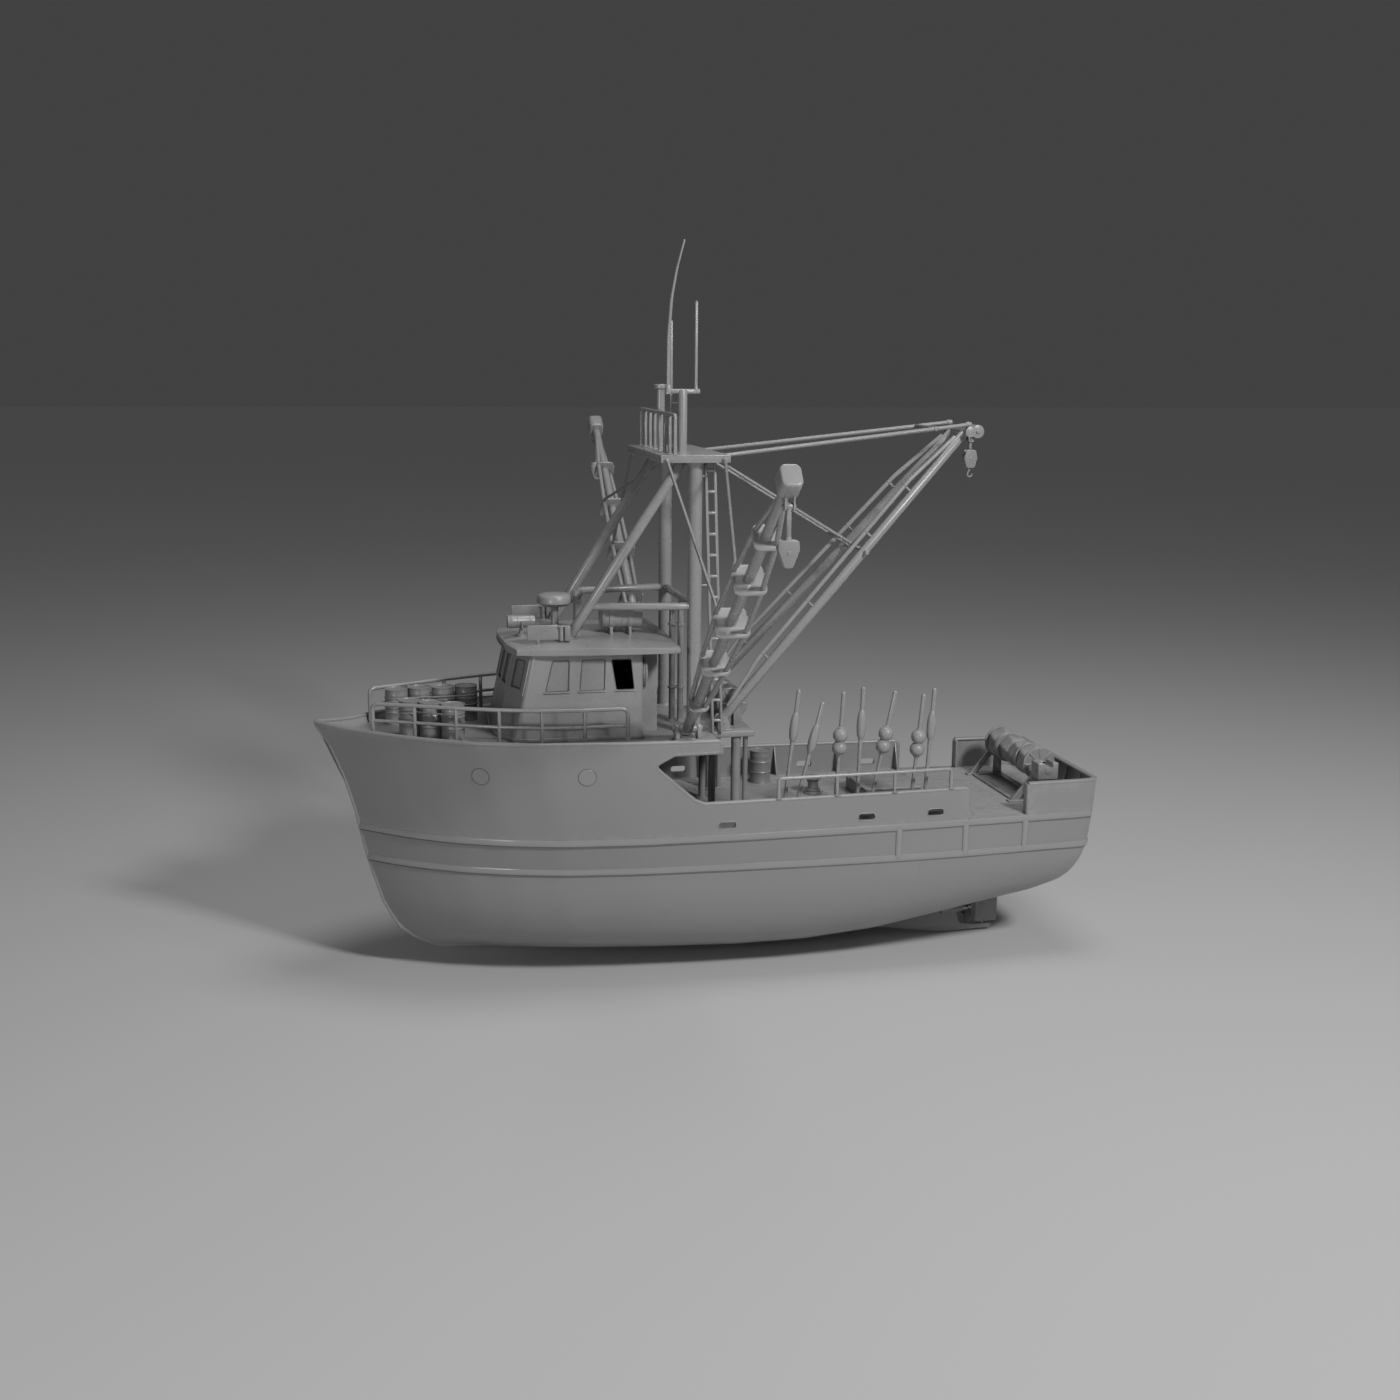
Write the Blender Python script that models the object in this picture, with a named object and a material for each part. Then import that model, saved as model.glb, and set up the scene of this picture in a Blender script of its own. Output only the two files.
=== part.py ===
# A steel fishing boat of about 19 m with its rig spread, modelled in metres.
# +X is forward, +Y is to port and +Z is up. The origin is amidships, on the
# centre line, at the waterline.
import math

import bmesh
import bpy
from mathutils import Matrix, Vector

# Gap left between two pieces that touch
gap = 0.0003

# Levels above the waterline
main_deck = 1.50
bulwark_top = 2.32
shelter_under = 3.51
fore_deck = 3.75
bow_rim_aft, bow_rim_fore, bow_rim_tip = 3.87, 4.00, 4.09
lower_strake, upper_strake = 0.60, 1.40
strake_half_height, strake_depth = 0.08, 0.07

# Places along the boat
break_of_deck = 1.95
shelter_aft_edge = 0.19
bulwark_gap_fore, bulwark_gap_aft = -6.26, -7.85
plate = 0.10

# Rig
mast_x, mast_y, mast_radius = 0.66, 1.74, 0.17
leg_radius, brace_radius, brace_level = 0.125, 0.095, 6.90
platform_top, platform_thick = 10.53, 0.18
platform_fore, platform_aft, platform_half = 1.58, -0.10, 2.16
boom_foot = Vector((-0.15, 1.30, 3.98))
boom_head = Vector((-6.62, 0.76, 10.98))
hook_eye = Vector((-6.93, 0, 10.76))
winch_x, winch_level = -0.55, 4.27
# half the space between a winch's or an eye's two cheeks, and the collar on a drum's shaft
winch_cheek, collar_radius = 0.83, 0.10
hook_cheek, block_cheek = 0.06, 0.07
outrigger_foot = Vector((0.93, 2.30, 4.02))
outrigger_head = Vector((0.96, 10.81, 10.54))
# distance share along the spar, width, height
outrigger_plates = ((0.135, 0.44, 0.44), (0.325, 0.62, 0.62),
                    (0.500, 0.72, 0.70), (0.670, 0.66, 0.68), (0.825, 0.52, 0.56))
lug_length = 0.10

# Propeller shaft, and the shoe that the rudder's stock stands on
shaft_level, hub_fore, shoe_top = -1.78, -7.22, -2.26

# Hull form. The stem and the transom are given by level, and the hull between
# them by stations, as a fraction of the length at each level. The half
# breadths are taken at the two strakes and at the bow rim's level.
stem_line = ((-1.80, 7.04), (-1.26, 7.77), (-0.58, 8.13), (0.56, 8.47), (1.37, 8.65),
             (1.78, 8.73), (2.68, 8.99), (3.52, 9.32), (4.09, 9.70))
transom_line = ((-1.10, -9.10), (-0.50, -9.30), (0.10, -9.56), (0.60, -9.70), (1.40, -9.78),
                (2.32, -9.84), (4.09, -9.90))
# fraction, keel level, half breadth at the lower strake, upper strake and rim,
# fullness of the bottom
stations = (
    (0.000, -0.62, 2.22, 2.28, 2.34, 3.6),
    (0.012, -0.80, 2.42, 2.48, 2.54, 3.6),
    (0.050, -1.02, 2.50, 2.55, 2.60, 3.6),
    (0.120, -1.26, 2.60, 2.62, 2.62, 3.4),
    (0.200, -1.52, 2.71, 2.70, 2.70, 3.2),
    (0.300, -1.84, 2.76, 2.79, 2.78, 3.0),
    (0.420, -2.02, 2.74, 2.84, 2.84, 3.0),
    (0.530, -2.05, 2.68, 2.85, 3.02, 2.9),
    (0.650, -2.03, 2.57, 2.80, 3.10, 2.6),
    (0.750, -2.00, 2.34, 2.60, 3.06, 2.4),
    (0.820, -1.97, 2.00, 2.25, 2.66, 2.3),
    (0.880, -1.93, 1.57, 1.77, 1.98, 2.2),
    (0.930, -1.88, 1.05, 1.20, 1.24, 2.1),
    (0.970, -1.83, 0.54, 0.58, 0.55, 2.0),
    (1.000, -1.80, 0.05, 0.05, 0.05, 2.0),
)
bottom_steps = 6
side_levels = (lower_strake - strake_half_height, lower_strake + strake_half_height,
               upper_strake - strake_half_height, upper_strake + strake_half_height)


# Materials

def material(name, color, roughness=0.45, metallic=0.0):
    """One plain material, made once."""
    found = bpy.data.materials.get(name)
    if found:
        return found
    made = bpy.data.materials.new(name)
    made.use_nodes = True
    shader = made.node_tree.nodes["Principled BSDF"]
    shader.inputs["Base Color"].default_value = (*color, 1.0)
    shader.inputs["Roughness"].default_value = roughness
    shader.inputs["Metallic"].default_value = metallic
    made.diffuse_color = (*color, 1.0)
    return made


finishes = {
    "hull_paint": ((0.30, 0.30, 0.30), 0.40, 0.0),
    "deck_paint": ((0.24, 0.24, 0.24), 0.60, 0.0),
    "house_paint": ((0.33, 0.33, 0.33), 0.42, 0.0),
    "rig_paint": ((0.28, 0.28, 0.28), 0.38, 0.2),
    "gear_paint": ((0.22, 0.22, 0.22), 0.45, 0.2),
    "bare_steel": ((0.30, 0.30, 0.30), 0.35, 0.9),
    "float_plastic": ((0.34, 0.34, 0.34), 0.35, 0.0),
}


# Shape helpers

def add_object(name, finish, bm, origin=(0.0, 0.0, 0.0), smooth=False):
    """Turns a bmesh drawn in world places into an object with the given origin."""
    bmesh.ops.remove_doubles(bm, verts=bm.verts, dist=0.00001)
    bmesh.ops.recalc_face_normals(bm, faces=bm.faces)
    bm.transform(Matrix.Translation(-Vector(origin)))
    mesh = bpy.data.meshes.new(name)
    bm.to_mesh(mesh)
    bm.free()
    color, roughness, metallic = finishes[finish]
    mesh.materials.append(material(finish, color, roughness, metallic))
    made = bpy.data.objects.new(name, mesh)
    made.location = origin
    bpy.context.scene.collection.objects.link(made)
    if smooth:
        mesh.shade_smooth()
        mesh.set_sharp_from_angle(angle=math.radians(40))
    return made


def fuse(name, finish, shapes, origin=(0.0, 0.0, 0.0), smooth=False, cuts=()):
    """Joins shapes that run into each other into one closed body, then makes the cuts."""
    body = add_object(name, finish, shapes[0])
    for operation, list_of_shapes in (("UNION", shapes[1:]), ("DIFFERENCE", cuts)):
        for shape in list_of_shapes:
            other = add_object(name + "_tool", finish, shape)
            step = body.modifiers.new("step", "BOOLEAN")
            step.operation = operation
            step.object = other
            bpy.context.view_layer.update()
            evaluated = body.evaluated_get(bpy.context.evaluated_depsgraph_get())
            result = bpy.data.meshes.new_from_object(evaluated)
            body.modifiers.clear()
            body.data = result
            bpy.data.objects.remove(other)
    bm = bmesh.new()
    bm.from_mesh(body.data)
    bpy.data.objects.remove(body)
    return add_object(name, finish, bm, origin, smooth)


def box(low, high):
    """A box between two corners."""
    bm = bmesh.new()
    size = [high[k] - low[k] for k in range(3)]
    middle = [(high[k] + low[k]) / 2 for k in range(3)]
    bmesh.ops.create_cube(bm, size=1.0)
    bm.transform(Matrix.Translation(middle) @ Matrix.Diagonal((*size, 1.0)))
    return bm


def rod(start, end, radius, sides=8, end_radius=None):
    """A round bar, or a taper, between two points."""
    bm = bmesh.new()
    start, end = Vector(start), Vector(end)
    run = end - start
    turn = run.to_track_quat("Z", "X").to_matrix().to_4x4()
    bmesh.ops.create_cone(bm, cap_ends=True, segments=sides, radius1=radius,
                          radius2=radius if end_radius is None else end_radius, depth=run.length)
    bm.transform(Matrix.Translation((start + end) / 2) @ turn)
    return bm


def turned(profile, sides, centre, axis="Z"):
    """A solid of revolution from (radius, height) points that start and end on the axis."""
    bm = bmesh.new()
    rings = []
    for radius, height in profile:
        if radius == 0.0:
            rings.append([bm.verts.new((0, 0, height))])
        else:
            rings.append([bm.verts.new((radius * math.cos(2 * math.pi * k / sides),
                                        radius * math.sin(2 * math.pi * k / sides), height))
                          for k in range(sides)])
    for lower, upper in zip(rings, rings[1:]):
        for k in range(sides):
            after = (k + 1) % sides
            if len(lower) == 1:
                bm.faces.new((lower[0], upper[after], upper[k]))
            elif len(upper) == 1:
                bm.faces.new((lower[k], lower[after], upper[0]))
            else:
                bm.faces.new((lower[k], lower[after], upper[after], upper[k]))
    turns = {"Z": Matrix.Identity(4), "X": Matrix.Rotation(math.pi / 2, 4, "Y"),
             "Y": Matrix.Rotation(-math.pi / 2, 4, "X")}
    bm.transform(Matrix.Translation(centre) @ turns[axis])
    return bm


def ball(centre, radius, sides=10):
    """A ball of flat facets."""
    steps = sides // 2
    profile = [(radius * math.sin(math.pi * k / steps), -radius * math.cos(math.pi * k / steps))
               for k in range(steps + 1)]
    profile[0], profile[-1] = (0.0, -radius), (0.0, radius)
    return turned(profile, sides, centre)


def prism(outline, low, high, along="Z"):
    """A flat outline pulled out along one axis. Outlines are (x, y), (x, z) or (y, z)."""
    bm = bmesh.new()
    place = {"Z": lambda a, b, h: (a, b, h), "Y": lambda a, b, h: (a, h, b),
             "X": lambda a, b, h: (h, a, b)}[along]
    bottom = [bm.verts.new(place(a, b, low)) for a, b in outline]
    top = [bm.verts.new(place(a, b, high)) for a, b in outline]
    bm.faces.new(bottom)
    bm.faces.new(top)
    count = len(outline)
    for k in range(count):
        bm.faces.new((bottom[k], bottom[(k + 1) % count], top[(k + 1) % count], top[k]))
    return bm


def skin(rows, closed_rows=False, closed_ends=False):
    """Quads between rows of points, each row as long as the next, with the open sides capped."""
    bm = bmesh.new()
    grid = [[bm.verts.new(point) for point in row] for row in rows]
    count = len(grid[0])
    spans = count if closed_rows else count - 1
    pairs = list(zip(grid, grid[1:]))
    if closed_ends:
        pairs.append((grid[-1], grid[0]))
    for first, second in pairs:
        for k in range(spans):
            after = (k + 1) % count
            bm.faces.new((first[k], first[after], second[after], second[k]))
    if not closed_ends and (closed_rows or count > 2):
        bm.faces.new(grid[0])
        bm.faces.new(grid[-1])
    bmesh.ops.triangulate(bm, faces=bm.faces)
    return bm


def pipe(points, radii, sides=6):
    """A round bar that runs through points, mitred at each bend."""
    points = [Vector(point) for point in points]
    if not isinstance(radii, (list, tuple)):
        radii = [radii] * len(points)
    runs = [(after - before).normalized() for before, after in zip(points, points[1:])]
    first = runs[0].orthogonal().normalized() if abs(runs[0].z) > 0.9 else Vector((0, 0, 1))
    rows = []
    for k, point in enumerate(points):
        before, after = runs[max(k - 1, 0)], runs[min(k, len(runs) - 1)]
        normal = (before + after).normalized()
        row = []
        up = (first - after * first.dot(after)).normalized()
        across = after.cross(up)
        for j in range(sides):
            angle = 2 * math.pi * (j + 0.5) / sides
            spoke = (up * math.cos(angle) + across * math.sin(angle)) * radii[k]
            row.append(point + spoke - after * (spoke.dot(normal) / after.dot(normal)))
        rows.append(row)
    return skin(rows, closed_rows=True)


def spun_along(profile, sides, start, run):
    """A turned solid whose axis starts at a point and follows a direction."""
    bm = turned(profile, sides, (0, 0, 0))
    bm.transform(Matrix.Translation(start) @ run.to_track_quat("Z", "X").to_matrix().to_4x4())
    return bm


def rounded(width, height, radius, steps=2):
    """The outline of a rectangle with round corners, about its centre."""
    points = []
    for corner, (sx, sy) in enumerate(((1, 1), (-1, 1), (-1, -1), (1, -1))):
        for k in range(steps + 1):
            angle = math.pi / 2 * (corner + k / steps)
            points.append((sx * (width / 2 - radius) + radius * math.cos(angle),
                           sy * (height / 2 - radius) + radius * math.sin(angle)))
    return points


# Hull surface

def read_table(table, value, column=1):
    """Straight-line reading of a table whose first column rises."""
    if value <= table[0][0]:
        return table[0][column]
    for before, after in zip(table, table[1:]):
        if value <= after[0]:
            share = (value - before[0]) / (after[0] - before[0])
            return before[column] + share * (after[column] - before[column])
    return table[-1][column]


def along(fraction, level):
    """X of a fraction of the length at a level."""
    aft = read_table(transom_line, level)
    return aft + (read_table(stem_line, level) - aft) * fraction


def side_y(fraction, level):
    """Half breadth of the topsides at a fraction of the length and a level."""
    low = read_table(stations, fraction, 2)
    high = read_table(stations, fraction, 3)
    rim = read_table(stations, fraction, 4)
    if level <= upper_strake:
        return low + (high - low) * (level - lower_strake) / (upper_strake - lower_strake)
    return high + (rim - high) * (level - upper_strake) / (bow_rim_fore - upper_strake)


def fraction_at(x, level):
    """The fraction of the length that lies at x on a level."""
    aft = read_table(transom_line, level)
    return (x - aft) / (read_table(stem_line, level) - aft)


def side_point(x, level, side=1, outset=0.0):
    """A point of the topsides at x, moved out of the hull by outset."""
    return Vector((x, side * (side_y(fraction_at(x, level), level) + outset), level))


def station_fractions(start_x=None, end_x=None, level=main_deck):
    """The stations' fractions between two places, with the places themselves."""
    low = 0.0 if start_x is None else fraction_at(start_x, level)
    high = 1.0 if end_x is None else fraction_at(end_x, level)
    inner = [row[0] for row in stations if low + 0.004 < row[0] < high - 0.004]
    return [low, *inner, high]


def section(fraction):
    """One side of a hull section, from the keel up to the main deck."""
    keel = read_table(stations, fraction, 1)
    fullness = read_table(stations, fraction, 5)
    top = side_levels[0]
    breadth = side_y(fraction, top)
    points = []
    for step in range(bottom_steps + 1):
        angle = math.pi / 2 * step / bottom_steps
        y = breadth * math.sin(angle) ** (2 / fullness)
        z = top - (top - keel) * math.cos(angle) ** (2 / 2.1)
        points.append((y, z))
    points += [(side_y(fraction, level), level) for level in side_levels[1:]]
    points.append((side_y(fraction, main_deck - gap), main_deck - gap))
    return points


def build_hull():
    """The hull up to the main deck, with its skeg and the shoe under the propeller."""
    rows = []
    for row in stations:
        half = section(row[0])
        port = [(along(row[0], z), y, z) for y, z in half]
        starboard = [(x, -y, z) for x, y, z in reversed(port[1:])]
        rows.append(starboard + port)
    body = skin(rows)
    bmesh.ops.holes_fill(body, edges=[edge for edge in body.edges if edge.is_boundary])
    skeg_outline = [(-3.6, -1.70), (-3.6, -2.02), (-5.1, -2.20), (-6.64, -2.43), (-7.56, -2.40),
                    (-8.05, -2.40), (-8.05, shoe_top), (-7.56, shoe_top), (-7.15, -2.20),
                    (-7.02, -1.72), (-6.95, -1.20)]
    skeg = prism(skeg_outline, -0.09, 0.09, "Y")
    boss = rod((-6.6, 0, shaft_level), (hub_fore + gap, 0, shaft_level), 0.13)
    return fuse("hull", "hull_paint", [body, skeg, boss], smooth=True)


def side_strip(name, finish, xs, bottom, top_at, cuts=(), sides=(1,), extra=()):
    """A bulwark plate that follows the topsides between two levels."""
    shapes = []
    for side in sides:
        rows = []
        for x in xs:
            top = top_at(x)
            middle = (bottom + top) / 2
            outer = [side_point(x, level, side) for level in (bottom, middle, top)]
            inner = [side_point(x, level, side, -plate) for level in (top, middle, bottom)]
            rows.append(outer + inner)
        shapes.append(skin(rows, closed_rows=True))
    return fuse(name, finish, shapes + list(extra), cuts=cuts)


def strip_xs(start, end, level, extra=()):
    """The stations' places between two ends, with some more places."""
    places = {round(along(f, level), 4) for f in station_fractions(start, end, level)}
    return sorted(places | set(extra))


def slot_cutter(x, side, level=1.72):
    """A rounded freeing slot through a bulwark."""
    outline = [(x + a, level + b) for a, b in rounded(0.42, 0.17, 0.07)]
    low, high = (2.2, 3.4) if side > 0 else (-3.4, -2.2)
    return prism(outline, low, high, "Y")


def side_ladder():
    """The short ladder that stands off the starboard bulwark under the shelter deck."""
    shapes = []
    for x in (-0.62, -0.94):
        shapes.append(rod((x, -2.45, main_deck + gap), (x, -2.45, 3.1), 0.03, 6))
        shapes.append(rod((x, -2.45, 2.1), (x, side_point(x, 2.1, -1, -plate / 2).y, 2.1), 0.025, 6))
    for k in range(5):
        shapes.append(rod((-0.62, -2.45, 1.75 + 0.3 * k), (-0.94, -2.45, 1.75 + 0.3 * k), 0.024, 6))
    return shapes


def build_bulwarks():
    """Side bulwarks with the slanted wing under the shelter deck, and the stern bulwark."""
    def top_at(x):
        shape = ((-6.3, bulwark_top), (0.60, bulwark_top), (0.84, 2.42), (1.84, 3.29),
                 (break_of_deck - gap, shelter_under - gap))
        return read_table(shape, x)

    xs = strip_xs(bulwark_gap_fore, break_of_deck - gap, main_deck, (0.60, 0.84, 1.2, 1.84))
    for name, side in (("bulwark_port", 1), ("bulwark_starboard", -1)):
        cuts = [slot_cutter(x, side) for x in (0.05, -3.50, -5.32)]
        knees = []
        for x in (-2.62, -4.38, -6.10):
            y = side_point(x, main_deck, side, -plate + 0.02).y
            knees.append(prism([(y, main_deck + gap), (y - side * 0.30, main_deck + gap),
                                (y, bulwark_top - 0.05)], x - 0.04, x + 0.04, "X"))
        if side < 0:
            knees += side_ladder()
        side_strip(name, "hull_paint", xs, main_deck + gap, top_at, cuts, (side,), knees)

    stern_level = (main_deck + bulwark_top) / 2
    rows = []
    fractions = [f for f in station_fractions(end_x=bulwark_gap_aft, level=stern_level)]
    path = [(f, 1) for f in reversed(fractions)] + [(f, -1) for f in fractions]
    for f, side in path:
        row = []
        for level, inset in ((main_deck + gap, 0), (bulwark_top, 0),
                             (bulwark_top, plate), (main_deck + gap, plate)):
            x = along(f, level)
            if f < 0.012:
                x += inset
            y = side_y(f, level) - (inset if f > 0.005 else inset * 0.6)
            if 0.005 < f < 0.02:
                x += inset * 0.6
            row.append((x, side * y, level))
        rows.append(row)
    add_object("bulwark_stern", "hull_paint", skin(rows, closed_rows=True))


def build_forecastle():
    """The raised bow, closed, from the main deck up to the fore deck."""
    levels = (main_deck, 2.32, 3.10, fore_deck)
    rows = []
    for f in station_fractions(start_x=break_of_deck, level=main_deck):
        port = []
        for level in levels:
            start = fraction_at(break_of_deck, level)
            spread = start + (1 - start) * (f - fraction_at(break_of_deck, main_deck)) / (
                1 - fraction_at(break_of_deck, main_deck))
            port.append((along(spread, level), side_y(spread, level), level))
        starboard = [(x, -y, z) for x, y, z in reversed(port)]
        rows.append(starboard + port)
    block = skin(rows, closed_rows=True)
    return fuse("forecastle", "hull_paint", [block], smooth=True)


def rim_level(x):
    """Level of the bow rim at x."""
    return read_table(((shelter_aft_edge, bow_rim_aft), (5.0, bow_rim_fore - 0.02),
                       (8.9, bow_rim_fore), (9.6, bow_rim_tip)), x)


def build_shelter_deck():
    """The deck plate aft of the forecastle, with its face plates at the sides."""
    xs = strip_xs(shelter_aft_edge, break_of_deck - gap, fore_deck, (1.0,))
    rows = []
    for x in xs:
        row = []
        for level, side in ((shelter_under, -1), (fore_deck, -1), (fore_deck, 1), (shelter_under, 1)):
            row.append(side_point(x, level, side))
        rows.append(row)
    add_object("shelter_deck", "deck_paint", skin(rows, closed_rows=True))


def build_bow_bulwark():
    """The low rim that runs round the bow above the fore deck."""
    fractions = station_fractions(shelter_aft_edge, None, fore_deck)[:-1]
    path = [(f, 1) for f in fractions] + [(1.0, 0)] + [(f, -1) for f in reversed(fractions)]
    rows = []
    for f, side in path:
        row = []
        for top, inset in ((False, 0), (True, 0), (True, 1), (False, 1)):
            level = fore_deck + gap
            if top:
                level = rim_level(along(f, fore_deck))
            if side == 0:
                x = along(1.0, level) + 0.03 - inset * 0.22
                row.append((x, 0.0, level))
                continue
            row.append((along(f, level), side * (side_y(f, level) - inset * plate), level))
        rows.append(row)
    add_object("bulwark_bow", "hull_paint", skin(rows, closed_rows=True))


def build_strakes():
    """The two rubbing strakes that run round the hull, tied by ribs on the quarters."""
    shapes = []
    for middle in (lower_strake, upper_strake):
        half = ((-strake_half_height, 0.001), (-strake_half_height * 0.6, strake_depth * 0.75),
                (0.0, strake_depth), (strake_half_height * 0.6, strake_depth * 0.75),
                (strake_half_height, 0.001))
        fractions = [row[0] for row in stations]
        path = [(f, 1) for f in reversed(fractions)] + [(f, -1) for f in fractions]
        rows = []
        for f, side in path:
            row = []
            for up, out in half:
                level = middle + up
                x = along(f, level)
                y = side_y(f, level)
                if f == 1.0:
                    x += out
                elif f == 0.0:
                    x -= out
                elif f < 0.02:
                    x -= out * 0.5
                    y += out * 0.8
                else:
                    y += out
                row.append((x, side * y, level))
            rows.append(row)
        shapes.append(skin(rows, closed_rows=True, closed_ends=True))
    for x in (-4.36, -6.15, -7.79):
        for side in (1, -1):
            rows = []
            for level in (lower_strake, upper_strake):
                y = [side_y(fraction_at(x + dx, level), level) for dx in (-0.05, 0.05)]
                rows.append([(x - 0.05, side * (y[0] + 0.004), level),
                             (x + 0.05, side * (y[1] + 0.004), level),
                             (x + 0.05, side * (y[1] + 0.055), level),
                             (x - 0.05, side * (y[0] + 0.055), level)])
            shapes.append(skin(rows, closed_rows=True))
    fuse("rubbing_strakes", "hull_paint", shapes)


def rail(name, posts, foot_level, rail_levels, radius=0.045):
    """A guard rail: upright posts with level rails that run from post to post."""
    shapes = []
    for x, y in posts:
        shapes.append(rod((x, y, foot_level), (x, y, rail_levels[0]), radius * 0.95, 6))
    for level in rail_levels:
        ends = []
        for (x, y), (near_x, near_y) in ((posts[0], posts[1]), (posts[-1], posts[-2])):
            reach = radius / math.hypot(x - near_x, y - near_y)
            ends.append((x + (x - near_x) * reach, y + (y - near_y) * reach, level))
        middle = [(x, y, level) for x, y in posts[1:-1]]
        shapes.append(pipe([ends[0], *middle, ends[1]], radius * 1.03))
    fuse(name, "rig_paint", shapes)


def build_rails():
    """Two fore deck rails and the rail on the port bulwark."""
    posts = ((8.31, 0.91), (7.35, 1.37), (6.41, 1.82), (5.44, 2.22), (4.47, 2.51), (3.47, 2.60), (2.44, 2.59))
    for name, side in (("fore_rail_port", 1), ("fore_rail_starboard", -1)):
        rail(name, [(x, side * y) for x, y in posts], fore_deck + gap, (4.63, 4.22))
    main_posts = [(x, side_point(x, bulwark_top, 1, -plate / 2).y) for x in (-1.23, -2.72, -4.22, -5.72)]
    rail("main_rail_port", main_posts, bulwark_top + gap, (2.80,), 0.04)


# Deckhouse

house_top = 5.80
roof_edge, roof_crown, roof_thick = 5.86, 6.20, 0.13
# x, half breadth, rise of the edge
roof_plan = ((1.10, 2.29, 0.0), (2.0, 2.29, 0.02), (3.2, 2.22, 0.04), (4.3, 2.10, 0.02), (4.97, 1.93, 0.0),
             (5.10, 1.30, 0.0))
# x and y of the companionway door's hinge, clear of the exhaust pipes
door_hinge = (1.405, -0.87)
# half breadth and x of the wall's corners at the deck and under the roof
house_plan = ((1.95, 1.95, 1.95, 1.95), (5.03, 1.95, 4.60, 1.90), (5.38, 1.05, 4.94, 1.00))


def house_ring(level, inset=0.0):
    """The wheelhouse wall's plan at a level, port side first, going round."""
    share = (level - fore_deck) / (house_top - fore_deck)
    port = []
    for low_x, low_y, high_x, high_y in house_plan:
        x = low_x + (high_x - low_x) * share
        y = low_y + (high_y - low_y) * share
        port.append((x, y))
    nose = 5.46 + (5.02 - 5.46) * share
    moved = [(port[0][0] + inset, port[0][1] - inset), (port[1][0] - inset * 0.5, port[1][1] - inset),
             (port[2][0] - inset, port[2][1] - inset * 0.4)]
    ring = [(x, y, level) for x, y in moved] + [(nose - inset, 0.0, level)]
    ring += [(x, -y, level) for x, y in reversed(moved)]
    return ring


def build_wheelhouse():
    """The hollow wheelhouse walls with their windows cut."""
    outer = skin([house_ring(fore_deck + gap), house_ring(house_top)], closed_rows=True)
    bottom, top = fore_deck - 0.2, house_top + 0.2
    inner = skin([house_ring(bottom, 0.08), house_ring(top, 0.08)], closed_rows=True)
    cuts = [inner]
    sill, head = 4.96, 5.70
    side_windows = ((4.30, 3.75, 4.12, 3.72), (3.48, 2.88, 3.42, 2.86), (2.60, 2.16, 2.72, 2.24))
    for low_fore, low_aft, high_fore, high_aft in side_windows:
        for side in (1, -1):
            cuts.append(prism([(low_aft, sill), (low_fore, sill), (high_fore, head), (high_aft, head)],
                              side * 1.6, side * 2.3, "Y"))
    for middle, half in ((0.0, 0.26), (0.66, 0.24), (-0.66, 0.24)):
        cuts.append(box((4.6, middle - half, sill + 0.05), (5.8, middle + half, head - 0.04)))
    for side in (1, -1):
        cuts.append(prism([(4.78, side * 1.62), (4.88, side * 1.22), (5.6, side * 1.45), (5.3, side * 1.95)],
                          sill + 0.05, head - 0.04, "Z"))
    cuts.append(box((1.8, -0.36, fore_deck + 0.1), (2.2, 0.36, 5.55)))
    fuse("wheelhouse", "house_paint", [outer], cuts=cuts)


def roof_level(x, y):
    """Level of the roof's upper face at the stations of its plan."""
    lane = y / read_table(roof_plan, x)
    near_end = min(1.0, max(0.0, min(x - roof_plan[0][0], roof_plan[-1][0] + 0.15 - x) / 1.1))
    crown = (roof_crown - roof_edge - roof_thick) * (1 - lane * lane) * (0.25 + 0.75 * near_end)
    return roof_edge + roof_thick + read_table(roof_plan, x, 2) + crown


def roof_shape(lift=0.0):
    """The crowned roof sheet, lifted by a little where it serves to cut what stands on it."""
    rows = []
    lanes = (-1.0, -0.6, -0.25, 0.25, 0.6, 1.0)
    for x, half, rise in roof_plan:
        bow = [0.10 * (1 - lane * lane) if x > 4.9 else 0.0 for lane in lanes]
        upper = [(x + b, half * lane, roof_level(x, half * lane) + lift) for lane, b in zip(lanes, bow)]
        lower = [(x + b, half * lane * 0.99, roof_edge + lift) for lane, b in zip(lanes, bow)]
        rows.append(upper + lower[::-1])
    return skin(rows, closed_rows=True)


def build_roof():
    """The crowned roof, which stands out all round, on a frame that sits on the walls."""
    rows = []
    for inset, levels in ((0.002, (house_top + gap, roof_edge + 0.05)), (0.078, (roof_edge + 0.05, house_top + gap))):
        for level in levels:
            rows.append([(x, y, level) for x, y, z in house_ring(house_top, inset)])
    frame = skin([list(points) for points in zip(*rows)], closed_rows=True, closed_ends=True)
    fuse("wheelhouse_roof", "house_paint", [roof_shape(), frame], smooth=True)


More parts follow.
